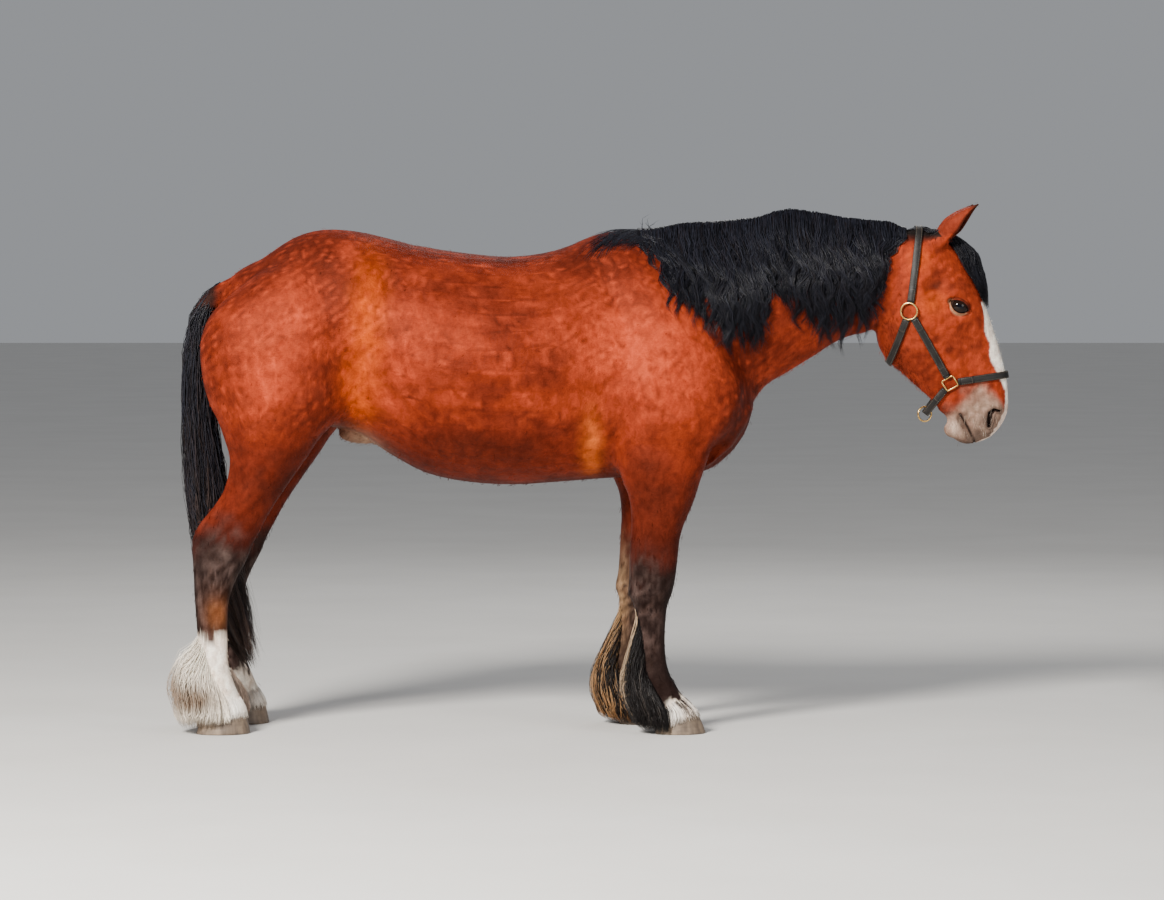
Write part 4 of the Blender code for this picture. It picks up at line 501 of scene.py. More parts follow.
def set_points(mesh, points):
    mesh.vertices.foreach_set("co", points.astype(np.float32).ravel())
    mesh.update()


def even(mesh, rounds, factors, share=None):
    """Moves each point towards the middle of its neighbours, by each factor in turn. The share says
    how far each point follows."""
    edges = np.empty(len(mesh.edges) * 2, np.int32)
    mesh.edges.foreach_get("vertices", edges)
    edges = edges.reshape(-1, 2)
    points = points_of(mesh)
    if share is None:
        share = np.ones(len(points))
    live = share > 0.004
    edges = edges[live[edges].any(axis=1)]
    used, edges = np.unique(edges, return_inverse=True)
    first, second = edges.reshape(-1, 2).T
    count = len(used)
    degree = np.maximum(np.bincount(first, minlength=count) + np.bincount(second, minlength=count), 1)
    moved = points[used]
    pull = share[used]
    for factor in factors * rounds:
        mean = np.empty_like(moved)
        for axis in range(3):
            column = moved[:, axis]
            mean[:, axis] = (
                np.bincount(first, column[second], count) + np.bincount(second, column[first], count)
            ) / degree
        moved = moved + (mean - moved) * (factor * pull)[:, None]
    points[used] = moved
    set_points(mesh, points)


def distance_to(points, line):
    """How far each point is from a line through the given places."""
    line = np.asarray(line, float)
    if len(line) == 1:
        return np.linalg.norm(points - line[0], axis=1)
    nearest = np.full(len(points), np.inf)
    for start, end in zip(line, line[1:]):
        run = end - start
        t = np.clip((points - start) @ run / (run @ run), 0, 1)
        nearest = np.minimum(nearest, np.linalg.norm(points - start - t[:, None] * run, axis=1))
    return nearest


def near_paths(points, paths):
    """For each path of a list of points and a width, on both sides: how near the points are, 0 to 1."""
    made = []
    for path, width, *_ in paths:
        near = np.zeros(len(points))
        line = np.asarray(path, float)
        low = line.min(axis=0) - 3 * width
        high = line.max(axis=0) + 3 * width
        for side in (1, -1):
            turned = points * (1, side, 1)
            close = np.flatnonzero(((turned > low) & (turned < high)).all(axis=1))
            near[close] += bell(distance_to(turned[close], line), width)
        made.append(near)
    return made


def press(mesh, strokes):
    """Raises or hollows the surface along strokes: a path, a width and a height, on both sides."""
    points = points_of(mesh)
    rise = np.zeros(len(points))
    for near, (_, _, height) in zip(near_paths(points, strokes), strokes):
        rise += near * height
    set_points(mesh, points + points_of(mesh, "normal") * rise[:, None])


def soften(mesh, paths, rounds):
    """Melts the step where two masses meet."""
    share = np.max(near_paths(points_of(mesh), paths), axis=0)
    even(mesh, rounds, (0.6,), np.minimum(share, 1))


def on_head(*places):
    return [head_point(*place) for place in places]


BODY_STROKES = [
    ([(-0.655, 0.25, 1.50), (-0.69, 0.29, 1.38), (-0.72, 0.30, 1.26)], 0.065, -0.016),
    ([(-0.72, 0.30, 1.26), (-0.765, 0.28, 1.10)], 0.045, -0.012),
    ([(0.030, 0.30, 1.36), (0.035, 0.30, 1.20), (0.060, 0.27, 1.02)], 0.050, -0.010),
    ([(0.16, 0.28, 1.12), (0.22, 0.29, 1.02)], 0.085, 0.012),
    ([(0.30, 0.17, 1.54), (0.41, 0.21, 1.38), (0.51, 0.22, 1.22)], 0.040, -0.008),
    ([(0.24, 0.25, 1.40), (0.36, 0.28, 1.18)], 0.050, 0.008),
    ([(0.31, 0.29, 1.20), (0.40, 0.28, 1.04), (0.36, 0.25, 0.94)], 0.028, -0.008),
    ([(-1.00, 0.29, 1.48), (-1.13, 0.31, 1.30), (-1.10, 0.31, 1.08)], 0.040, -0.004),
    ([(-0.86, 0.31, 1.40), (-0.90, 0.33, 1.22), (-0.88, 0.31, 1.04)], 0.070, 0.010),
    ([(-1.02, 0.33, 1.10), (-1.04, 0.31, 0.98)], 0.080, 0.008),
    ([(-1.215, 0.21, 0.80), (-1.235, 0.205, 0.73)], 0.022, -0.011),
    ([(-1.195, 0.13, 0.80), (-1.225, 0.12, 0.73)], 0.022, -0.011),
    ([(-0.60, 0.0, 1.63), (-0.85, 0.0, 1.67), (-1.08, 0.0, 1.58)], 0.030, -0.004),
    ([(0.50, 0.0, 1.12), (0.52, 0.0, 1.00), (0.45, 0.0, 0.90)], 0.022, -0.007),
    ([(-1.24, 0.0, 1.38), (-1.23, 0.0, 1.24), (-1.20, 0.0, 1.12)], 0.040, -0.005),
    ([(0.58, 0.11, 1.20), (0.76, 0.10, 1.33), (0.92, 0.095, 1.42)], 0.024, -0.007),
    ([(-0.10, 0.31, 0.98), (-0.45, 0.30, 0.94)], 0.10, 0.004),
    ([(0.20, 0.28, 0.86), (0.24, 0.27, 0.72)], 0.030, 0.005),
    ([(0.33, 0.25, 0.86), (0.29, 0.24, 0.70)], 0.024, 0.004),
    ([(0.27, 0.27, 0.86), (0.265, 0.25, 0.70)], 0.014, -0.005),
    ([(-0.98, 0.28, 0.92), (-1.10, 0.25, 0.78)], 0.032, 0.005),
]
HEAD_STROKES = [
    (on_head((0.24, -0.17, 0.105), (0.31, -0.21, 0.095)), 0.080, 0.013),
    (on_head((0.315, -0.050, 0.11), (0.38, -0.056, 0.095), (0.45, -0.062, 0.08)), 0.022, 0.008),
    (on_head((0.41, -0.130, 0.09), (0.51, -0.118, 0.07)), 0.036, -0.008),
    (on_head((0.36, 0.015, 0.09), (0.48, 0.015, 0.07)), 0.034, -0.004),
    (on_head((0.163, -0.072, 0.11)), 0.030, -0.012),
    (on_head((0.225, 0.000, 0.11), (0.285, -0.022, 0.11)), 0.050, 0.012),
    (on_head((0.214, 0.012, 0.11), (0.236, -0.036, 0.115)), 0.020, 0.006),
    (on_head((0.11, -0.10, 0.105), (0.19, -0.110, 0.11), (0.26, -0.090, 0.12)), 0.026, 0.004),
    (on_head((0.250, -0.048, 0.115)), 0.018, -0.005),
    (on_head((0.06, -0.15, 0.09), (0.15, -0.21, 0.085), (0.22, -0.27, 0.07)), 0.024, -0.006),
    (on_head((0.625, 0.002, 0.064), (0.660, -0.022, 0.060)), 0.030, 0.012),
    (on_head((0.605, -0.050, 0.066)), 0.024, -0.004),
    (on_head((0.660, -0.078, 0.055), (0.690, -0.078, 0.03)), 0.026, 0.005),
    (on_head((0.592, -0.165, 0.02), (0.598, -0.170, 0.0)), 0.022, -0.004),
    (on_head((0.24, -0.30, 0.0), (0.42, -0.25, 0.0), (0.54, -0.19, 0.0)), 0.024, -0.007),
]
THROAT_SEAM = [
    ([(1.10, 0.05, 1.66), (1.03, 0.10, 1.58), (0.98, 0.11, 1.46), (0.95, 0.10, 1.36)], 0.040),
]
BODY_SEAMS = [
    ([(0.18, 0.10, 1.64), (0.30, 0.17, 1.54), (0.42, 0.22, 1.38), (0.53, 0.22, 1.20)], 0.095),
    ([(0.54, 0.18, 1.14), (0.50, 0.20, 0.98), (0.42, 0.18, 0.90), (0.38, 0.16, 0.86)], 0.060),
    ([(0.00, 0.20, 1.58), (0.01, 0.30, 1.40), (0.03, 0.30, 1.25), (0.06, 0.28, 1.10)], 0.075),
    ([(0.10, 0.20, 0.90), (0.10, 0.10, 0.86), (0.24, 0.07, 0.84), (0.38, 0.09, 0.88)], 0.040),
    ([(-0.80, 0.28, 1.30), (-0.80, 0.27, 1.12), (-0.86, 0.22, 1.00)], 0.060),
    ([(-1.20, 0.03, 1.42), (-1.21, 0.03, 1.20), (-1.12, 0.03, 1.02)], 0.030),
    ([(-0.88, 0.10, 0.98), (-1.02, 0.05, 1.02)], 0.050),
    ([(-0.87, 0.25, 1.50), (-0.85, 0.29, 1.38), (-0.82, 0.29, 1.28)], 0.080),
    ([(-0.90, 0.20, 1.56), (-1.05, 0.20, 1.53), (-1.17, 0.19, 1.46), (-1.24, 0.17, 1.36)], 0.070),
    ([(-1.20, 0.12, 1.46), (-1.25, 0.13, 1.36), (-1.26, 0.15, 1.22)], 0.050),
]
# Folds of the skin that the photograph's light shows, finer than the solids hold.
FOLDS = [
    ([(-0.70, 0.27, 1.10), (-0.745, 0.25, 1.02), (-0.80, 0.20, 0.97)], 0.012, -0.004),
    ([(-0.675, 0.28, 1.12), (-0.715, 0.26, 1.02), (-0.76, 0.20, 0.955)], 0.012, 0.003),
    ([(0.075, 0.27, 1.00), (0.070, 0.26, 0.94), (0.085, 0.22, 0.88)], 0.010, -0.004),
    ([(0.045, 0.28, 1.00), (0.035, 0.26, 0.92), (0.05, 0.22, 0.86)], 0.012, 0.003),
    ([(0.46, 0.24, 1.10), (0.50, 0.20, 1.03)], 0.012, -0.004),
    ([(0.43, 0.25, 1.02), (0.47, 0.21, 0.95)], 0.010, -0.003),
    (on_head((0.50, -0.060, 0.07), (0.54, -0.052, 0.066), (0.575, -0.040, 0.064)), 0.0045, 0.0016),
    (on_head((0.43, -0.075, 0.08), (0.50, -0.060, 0.07)), 0.0045, 0.0014),
    (on_head((0.54, -0.052, 0.066), (0.555, -0.080, 0.066), (0.58, -0.098, 0.064)), 0.0040, 0.0014),
    (on_head((0.300, -0.085, 0.10), (0.375, -0.108, 0.092), (0.43, -0.100, 0.085)), 0.0050, 0.0014),
    (on_head((0.612, -0.060, 0.066), (0.632, -0.075, 0.064)), 0.0035, -0.0012),
    (on_head((0.600, -0.072, 0.066), (0.615, -0.088, 0.064)), 0.0035, -0.0012),
    (on_head((0.590, -0.100, 0.064), (0.583, -0.122, 0.060)), 0.0040, -0.0016),
]
EYE_SPOT = [(on_head(EYE), 0.045)]
NOSE_SPOT = [(on_head(NOSTRIL), 0.046)]
MOUTH_SPOT = [(on_head(*[(*place, 0.055) for place in MOUTH[:3]], (0.70, -0.10, 0.0)), 0.016)]


def ear_axes(side):
    """The ear's length, the way its cup faces, and its width."""
    aim = unit(np.array([EAR_AIM[0], side * EAR_AIM[1], EAR_AIM[2]]))
    opening = np.array([EAR_FACING[0], side * EAR_FACING[1], EAR_FACING[2]])
    opening = unit(opening - aim * (opening @ aim))
    return aim, opening, np.cross(aim, opening)


def ear_mesh(side):
    """A cupped ear, open to the front, that runs on down into the head."""
    aim, opening, across = ear_axes(side)
    seat = head_point(*EAR_ROOT[:2], side * EAR_ROOT[2]) + aim * EAR_SEAT
    steps = 12
    rings = []
    for height, width, depth, reach in smooth_rows(np.array(EAR), 3):
        share = max(height, 0) / EAR[-1][0]
        wall = EAR_WALL[0] + (EAR_WALL[1] - EAR_WALL[0]) * share
        middle = seat + aim * height + opening * EAR_LEAN * share**2
        ring = []
        angles = np.radians(reach * (2 * np.arange(steps + 1) / steps - 1))
        for angle in angles:
            ring.append(middle + across * width * math.sin(angle) - opening * depth * math.cos(angle))
        for angle in angles[::-1]:
            inner = across * (width - wall) * math.sin(angle) - opening * (depth - wall) * math.cos(angle)
            ring.append(middle + inner)
        rings.append(ring)
    shape = bmesh.new()
    add_rings(shape, rings)
    return mesh_of(shape, "ear")


def leg_place(front, side, z):
    """The middle of a leg at each height."""
    rows = leg_rows(front, side)
    heights = (rows[:, 1] + rows[:, 3]) / 2
    order = np.argsort(heights)
    x = np.interp(z, heights[order], (rows[order, 0] + rows[order, 2]) / 2)
    return np.stack([x, np.interp(z, heights[order], rows[order, 7]), np.asarray(z, float)], axis=-1)


def beside_leg(front, side, z, turn, far):
    """Places at a distance from a leg's middle. A turn of nought is straight behind it."""
    ray = np.stack([-np.cos(turn) * far, side * np.sin(turn) * far, 0 * far], axis=1)
    return leg_place(front, side, z) + ray


def tuck_into_hooves(points):
    """Draws the flesh below each hair line in, so that it ends inside the hoof."""
    for front, hoof in ((True, FORE_HOOF), (False, HIND_HOOF)):
        for side in (RIGHT, LEFT):
            shift = ground_shift(front, side)
            (x, z), slope = hoof[3:]
            middle = leg_place(front, side, 0.05)
            near = (np.abs(points[:, 0] - middle[0]) < 0.16) & (points[:, 1] * side > 0)
            near &= points[:, 2] < 0.2
            below = z + slope * (points[:, 0] - x - shift) - points[:, 2]
            share = np.where(near, smooth(-0.004, 0.012, below), 0)
            points[:, :2] += (middle[:2] - points[:, :2]) * (share * 0.16)[:, None]
            points[:, 2] = np.where(near & (points[:, 2] < 0.012), 0.012, points[:, 2])
    return points


def eye_frame(side):
    centre = head_point(EYE[0], EYE[1], side * EYE[2])
    along = FACE_DOWN * EYE_SLIT_AIM[0] + FACE_OUT * EYE_SLIT_AIM[1]
    return centre, along, np.cross(SIDEWAYS, along)


def eye_measures(points, side):
    """Places as distances along and across the eye's opening, how far they lie outside it and how far
    inside its edge."""
    centre, along, across = eye_frame(side)
    offset = points - centre
    a = offset @ along
    c = offset @ across
    half_long = EYE_SLIT[0] / 2
    lid = np.where(c < 0, EYE_SLIT[1], EYE_SLIT[2])
    height = lid * np.clip(1 - (a / half_long) ** 2, 0, 1) ** 0.75
    past_end = np.maximum(np.abs(a) - half_long, 0)
    off = np.hypot(np.maximum(np.abs(c) - height, 0), past_end)
    within = (np.abs(c) < height) & (past_end == 0)
    depth = np.where(within, np.minimum(height - np.abs(c), (half_long - np.abs(a)) * 0.7), 0)
    return a, c, off, depth


def shape_eye(points, side):
    """Lids that close over the eyeball round an almond opening, with the crease above them."""
    a, c, off, depth = eye_measures(points, side)
    reach = np.hypot(a, c)
    near = (points[:, 1] * side > 0.03) & (reach < 0.060)
    ball = np.sqrt(np.maximum(EYE_R**2 - reach**2, 0))
    lid = np.sqrt(np.maximum((EYE_R + LID_THICK) ** 2 - reach**2, 0))
    flesh = points[:, 1] * side - EYE[2]
    over = flesh + (lid - flesh) * bell(off, 0.011)
    over = np.maximum(over, np.where(reach < EYE_R + LID_THICK, lid * (off < 0.02), flesh - 1))
    edge = bell(off - 0.0022, 0.0022) * 0.0013
    crease = -0.0030 * bell(off - 0.0105, 0.0024) * np.where(c < 0, 1.0, 0.45)
    over = over + edge + crease
    wanted = over + (ball - 0.007 - over) * smooth(0.0001, 0.0020, depth)
    points[near, 1] = side * (EYE[2] + wanted[near])
    return points


def nostril_off(points):
    """How far a place is from the nostril's curved slit, in half widths of it."""
    flat = np.column_stack(head_measures(points))
    nearest = np.full(len(flat), np.inf)
    for (*first, thin), (*second, broad) in zip(NOSTRIL_LINE, NOSTRIL_LINE[1:]):
        run = np.subtract(second, first)
        t = np.clip((flat - first) @ run / (run @ run), 0, 1)
        away = np.linalg.norm(flat - first - t[:, None] * run, axis=1)
        nearest = np.minimum(nearest, away / (thin + (broad - thin) * t))
    return nearest


def shape_nostril(points, side):
    """A deep comma-shaped opening with a raised rim and a wing of flesh in its bend."""
    off = nostril_off(points)
    near = (points[:, 1] * side > 0.015) & (off < 6)
    deep = 1 - smooth(0.35, 1.05, off)
    rim = bell(off - 1.55, 0.45)
    inward = -SIDEWAYS * side * 0.80 - FACE_DOWN * 0.35 + FACE_OUT * 0.05
    move = deep[:, None] * NOSTRIL_DEPTH * inward + rim[:, None] * 0.0030 * SIDEWAYS * side
    points[near] += move[near]
    return points


def shape_mouth(points, normals):
    """The line of the mouth, with its lips a little raised on either side."""
    down, out = head_measures(points)
    off = out - read_off(MOUTH, down)
    start = smooth(MOUTH[0][0] - 0.004, MOUTH[0][0] + 0.006, down)
    groove = -0.0075 * bell(off, 0.0017) * start
    lips = 0.0016 * bell(np.abs(off) - 0.0062, 0.0035) * start
    near = (down > 0.58) & (np.abs(off) < 0.03)
    points[near] += normals[near] * (groove + lips)[near, None]
    return points


def finer(mesh, paths, level):
    """Cuts the faces near the paths into smaller ones."""
    near = np.max(near_paths(points_of(mesh), paths), axis=0) > level
    shape = bmesh.new()
    shape.from_mesh(mesh)
    edges = [edge for edge in shape.edges if near[edge.verts[0].index] and near[edge.verts[1].index]]
    bmesh.ops.subdivide_edges(shape, edges=edges, cuts=1, use_grid_fill=True)
    return mesh_of(shape, "skin")


def build_skin():
    shape = bmesh.new()
    add_flesh(shape)
    mesh = with_modifier(mesh_of(shape, "skin"), "REMESH", mode="VOXEL", voxel_size=SKIN_VOXEL)
    points = points_of(mesh)
    away = 1 - smooth(0.93, 1.02, points[:, 0])
    even(mesh, 8, SKIN_EASE)
    even(mesh, 22, SKIN_EASE, away)
    soften(mesh, BODY_SEAMS, 165)
    soften(mesh, THROAT_SEAM, 28)
    press(mesh, BODY_STROKES)
    press(mesh, HEAD_STROKES)
    even(mesh, 3, SKIN_EASE)
    even(mesh, 9, SKIN_EASE, away)
    set_points(mesh, points_of(mesh) - points_of(mesh, "normal") * COAT_DEPTH)
    for side in (RIGHT, LEFT):
        mesh = united(mesh, ear_mesh(side))
    roots = [(on_head(EAR_ROOT), 0.050)]
    even(mesh, 10, (0.5,), np.minimum(near_paths(points_of(mesh), roots)[0], 1) * 0.6)
    spots = EYE_SPOT + NOSE_SPOT + MOUTH_SPOT
    mesh = finer(mesh, spots, 0.22)
    mesh = finer(mesh, EYE_SPOT + NOSE_SPOT, 0.45)
    mesh = finer(mesh, MOUTH_SPOT, 0.40)
    press(mesh, FOLDS)
    points = points_of(mesh)
    normals = points_of(mesh, "normal")
    points = shape_mouth(points, normals)
    for side in (RIGHT, LEFT):
        points = shape_nostril(points, side)
        points = shape_eye(points, side)
    set_points(mesh, tuck_into_hooves(points))
    return thinned(mesh)


def thinned(mesh):
    """Fewer faces on the body, with the head left as fine as it is."""
    points = points_of(mesh)
    down, out = head_measures(points)
    head = (down > -0.06) & (out > -0.34) & (points[:, 0] > 0.98)
    count = sum(len(face.vertices) - 2 for face in mesh.polygons)
    weights = np.where(head, 0.0, 1.0)
    return with_modifier(mesh, "DECIMATE", ratio=min(1.0, SKIN_FACES / count), weights=weights)


# Markings


def patches(points, size, seed):
    """Soft, irregular light and dark patches of about the given size, mostly between -1 and 1."""
    rng = np.random.RandomState(seed)
    total = np.zeros(len(points))
    for _ in range(9):
        aim = rng.normal(size=3)
        aim *= 2 * np.pi / size / np.linalg.norm(aim) * rng.uniform(0.6, 1.6)
        total += np.sin(points @ aim + rng.uniform(0, 2 * np.pi))
    return total / 4.0


def mixed(first, second, share):
    """One colour turned into another, by a share for each point."""
    share = np.clip(share, 0, 1)[:, None]
    return first + (np.asarray(second) - first) * share


BAY = (0.165, 0.0185, 0.0064)
# Lighter coat, and the colour of the body's painted highlights.
BAY_LIGHT = (0.385, 0.0500, 0.0185)
# The colour of the painted highlights on the flank and upper cheek.
BAY_HIGHLIGHT = (0.430, 0.0600, 0.0030)
# Darker coat, and the colour of the body's and head's painted shade.
BAY_DARK = (0.058, 0.0085, 0.0045)
BLACK = (0.0105, 0.0085, 0.0085)
MOTTLE = (0.060, 0.040, 0.037)
WHITE = (0.92, 0.86, 0.79)
STAINED = (0.42, 0.265, 0.150)
SNOUT = (0.215, 0.145, 0.112)
SNOUT_DARK = (0.060, 0.042, 0.036)
PINK = (0.33, 0.215, 0.170)
# Dark skin of the lid's margin, and painted shade in the eye's opening, the nostril and the mouth's groove.
DARK_SKIN_AND_RECESS_SHADE = (0.016, 0.010, 0.009)
EYE_RIM = (0.36, 0.225, 0.135)
# The ear's dark rim and tip, and painted shade in its cup.
EAR_DARK_AND_CUP_SHADE = (0.035, 0.0125, 0.0085)
# Painted shade in the crease above the upper lid.
LID_CREASE_SHADE = (0.055, 0.016, 0.010)
CANNON_TAN = (0.165, 0.055, 0.019)
# The painted highlight on the elbow.
ELBOW_HIGHLIGHT = (0.60, 0.120, 0.018)
BARE_SKIN = (0.42, 0.27, 0.19)
STREAK = (0.26, 0.155, 0.085)
CHIN = (0.46, 0.35, 0.29)
NOSE_PINK = (0.74, 0.60, 0.53)
DUST = (0.33, 0.24, 0.16)
HAIR = (0.0052, 0.0057, 0.0088)
HAIR_BROWN = (0.050, 0.024, 0.014)
TAIL_FADED = (0.085, 0.050, 0.036)
FEATHER_BLACK = {RIGHT: (0.0095, 0.0075, 0.0075), LEFT: (0.012, 0.0085, 0.0075)}
FEATHER_WHITE = (0.88, 0.79, 0.67)
FEATHER_PALE = (0.55, 0.42, 0.34)
FEATHER_RUST = (0.33, 0.140, 0.045)
FEATHER_STAIN = (0.175, 0.100, 0.055)
FAIR = (0.30, 0.175, 0.085)
CREAM = (0.46, 0.33, 0.215)
GREY_HAIR = (0.085, 0.070, 0.062)
EYEBALL = (0.030, 0.017, 0.013)
IRIS = (0.009, 0.0045, 0.0030)
IRIS_RIM = (0.005, 0.003, 0.003)
PUPIL = (0.002, 0.002, 0.004)
EYE_BACK = (0.10, 0.06, 0.05)
WHISKERS = ((0.10, 0.08, 0.07), (0.5, 0.42, 0.36))
LASHES = (0.015, 0.012, 0.012)
# Where the coat is lighter or darker than elsewhere: the middle, the reach along each axis, the colour
# and how far it takes over. The same on both sides. Most are painted light: painted highlights on the
# flank, hip, rump, thigh, barrel, shoulder and elbow, and painted shade under the belly, on the chest,
# low on the neck, at the hip, in the thigh's groove and on the back of the buttock; the rest darken the
# back, croup, withers, thigh, gaskin, forearm and parts of the barrel and shoulder.
COAT_SPOTS_AND_PAINTED_LIGHT = [
    ((-0.30, 0.15, 1.63), (0.75, 0.40, 0.150), BAY_DARK, 0.80),
    ((-1.04, 0.15, 1.58), (0.26, 0.40, 0.150), BAY_DARK, 0.82),
    ((-0.36, 0.30, 1.42), (0.26, 0.30, 0.100), BAY_DARK, 0.36),
    ((-0.36, 0.25, 0.95), (0.34, 0.35, 0.105), BAY_DARK, 0.82),
    ((-0.10, 0.30, 1.25), (0.09, 0.30, 0.120), BAY_DARK, 0.38),
    ((0.03, 0.20, 1.53), (0.17, 0.40, 0.110), BAY_DARK, 0.55),
    ((-0.86, 0.25, 1.55), (0.07, 0.30, 0.080), BAY_DARK, 0.60),
    ((-0.87, 0.25, 1.12), (0.05, 0.30, 0.110), BAY_DARK, 0.62),
    ((-1.25, 0.20, 1.24), (0.08, 0.25, 0.200), BAY_DARK, 0.60),
    ((-0.72, 0.31, 1.36), (0.052, 0.20, 0.20), BAY_HIGHLIGHT, 0.95),
    ((-0.755, 0.26, 1.13), (0.045, 0.20, 0.12), BAY_HIGHLIGHT, 0.85),
    ((-0.84, 0.30, 1.40), (0.045, 0.20, 0.13), BAY_DARK, 0.62),
    ((-0.79, 0.30, 1.60), (0.040, 0.20, 0.04), BAY_LIGHT, 0.60),
    ((-1.04, 0.30, 1.20), (0.10, 0.20, 0.12), BAY_LIGHT, 0.80),
    ((-0.96, 0.30, 1.42), (0.08, 0.20, 0.10), BAY_LIGHT, 0.45),
    ((-1.15, 0.28, 1.28), (0.035, 0.20, 0.08), BAY_DARK, 0.40),
    ((-0.93, 0.30, 1.15), (0.06, 0.20, 0.18), BAY_DARK, 0.40),
    ((-1.02, 0.22, 0.84), (0.20, 0.25, 0.15), BAY_DARK, 0.90),
    ((-0.55, 0.30, 1.28), (0.12, 0.20, 0.12), BAY_LIGHT, 0.35),
    ((-0.775, 0.20, 0.99), (0.030, 0.20, 0.035), BAY_HIGHLIGHT, 0.7),
    ((0.012, 0.27, 0.93), (0.030, 0.25, 0.12), ELBOW_HIGHLIGHT, 0.95),
    ((0.12, 0.28, 1.30), (0.15, 0.20, 0.13), BAY_LIGHT, 0.75),
    ((0.24, 0.28, 1.12), (0.12, 0.20, 0.10), BAY_LIGHT, 0.70),
    ((0.36, 0.26, 1.26), (0.08, 0.20, 0.16), BAY_LIGHT, 0.75),
    ((0.10, 0.28, 1.04), (0.05, 0.20, 0.05), BAY_DARK, 0.45),
    ((0.48, 0.12, 1.03), (0.12, 0.25, 0.22), BAY_DARK, 0.80),
    ((0.20, 0.25, 0.89), (0.09, 0.25, 0.09), BAY_DARK, 0.70),
    ((0.25, 0.24, 0.76), (0.16, 0.20, 0.12), BAY_DARK, 0.75),
    ((0.60, 0.12, 1.30), (0.20, 0.15, 0.13), BAY_DARK, 0.42),
    ((0.86, 0.10, 1.38), (0.12, 0.15, 0.12), BAY_DARK, 0.48),
]


def coat_tint(points):
    """The coat's colour at each place, in the profiles' frame, with painted highlights where the light falls
    on the body and painted shade where it doesn't.
    """
    x, y, z = points.T
    down, out = head_measures(points)
    broad = patches(points, 0.38, 1)
    fine = patches(points, 0.06, 2)
    speck = patches(points, 0.026, 3)
    tint = np.tile(BAY, (len(points), 1))
    middling = patches(points, 0.14, 4)
    tint = mixed(tint, BAY_LIGHT, 0.12 + 0.18 * broad)
    tint = mixed(tint, BAY_DARK, np.clip(-0.75 * middling - 0.06, 0, 0.42))
    tint = mixed(tint, BAY_LIGHT, np.clip(0.60 * middling - 0.06, 0, 0.32) * smooth(0.95, 1.1, z))
    # Painted highlights and painted shade of the body, and its darker patches.
    for middle, radii, colour, strength in COAT_SPOTS_AND_PAINTED_LIGHT:
        tint = mixed(tint, colour, strength * near_spot(points, middle, radii) * (1 + 0.25 * fine))
    tint = mixed(tint, BAY_LIGHT, np.clip(0.42 * speck - 0.10, 0, 0.4) * smooth(0.95, 1.1, z))
    tint = mixed(tint, BAY_DARK, np.clip(-0.40 * speck - 0.14, 0, 0.35))
    tint = mixed(tint, BAY_DARK, 0.92 * (1 - smooth(0.60, 0.88, z)))
    # Painted shade under the belly and between the legs.
    tint = mixed(tint, BAY_DARK, 0.75 * (1 - smooth(0.06, 0.13, np.abs(y))) * (z < 1.06))
    tint = leg_tint(points, tint, fine, speck)
    tint = head_tint(points, tint, down, out, fine, broad)
    # Bare, pale skin of the flank and sheath
    bare = near_spot(points, (-0.745, 0.0, 0.965), (0.085, 0.10, 0.050))
    tint = mixed(tint, BARE_SKIN, 0.75 * bare)
    # Dark under the mane's roots, the poll's hair and the dock
    crest = np.interp(x, [0.2, 0.9, 1.1], [1.62, 1.62, 1.60])
    tint = mixed(tint, BLACK, smooth(0.20, 0.26, x) * smooth(0, 0.05, z - crest) * (down < 0.02))
    poll = bell(y, 0.030) * (1 - smooth(0.02, 0.09, down)) * (x > 1.0) * (out > -0.10)
    tint = mixed(tint, BLACK, poll)
    tint = mixed(tint, BLACK, 0.9 * (1 - smooth(-1.250, -1.225, x)) * (z > 1.2) * (np.abs(y) < 0.06))
    tint = ear_tint(points, tint)
    light = 1 + 0.12 * speck[:, None] + 0.10 * fine[:, None]
    return np.clip(tint * light, 0.004, 0.92)


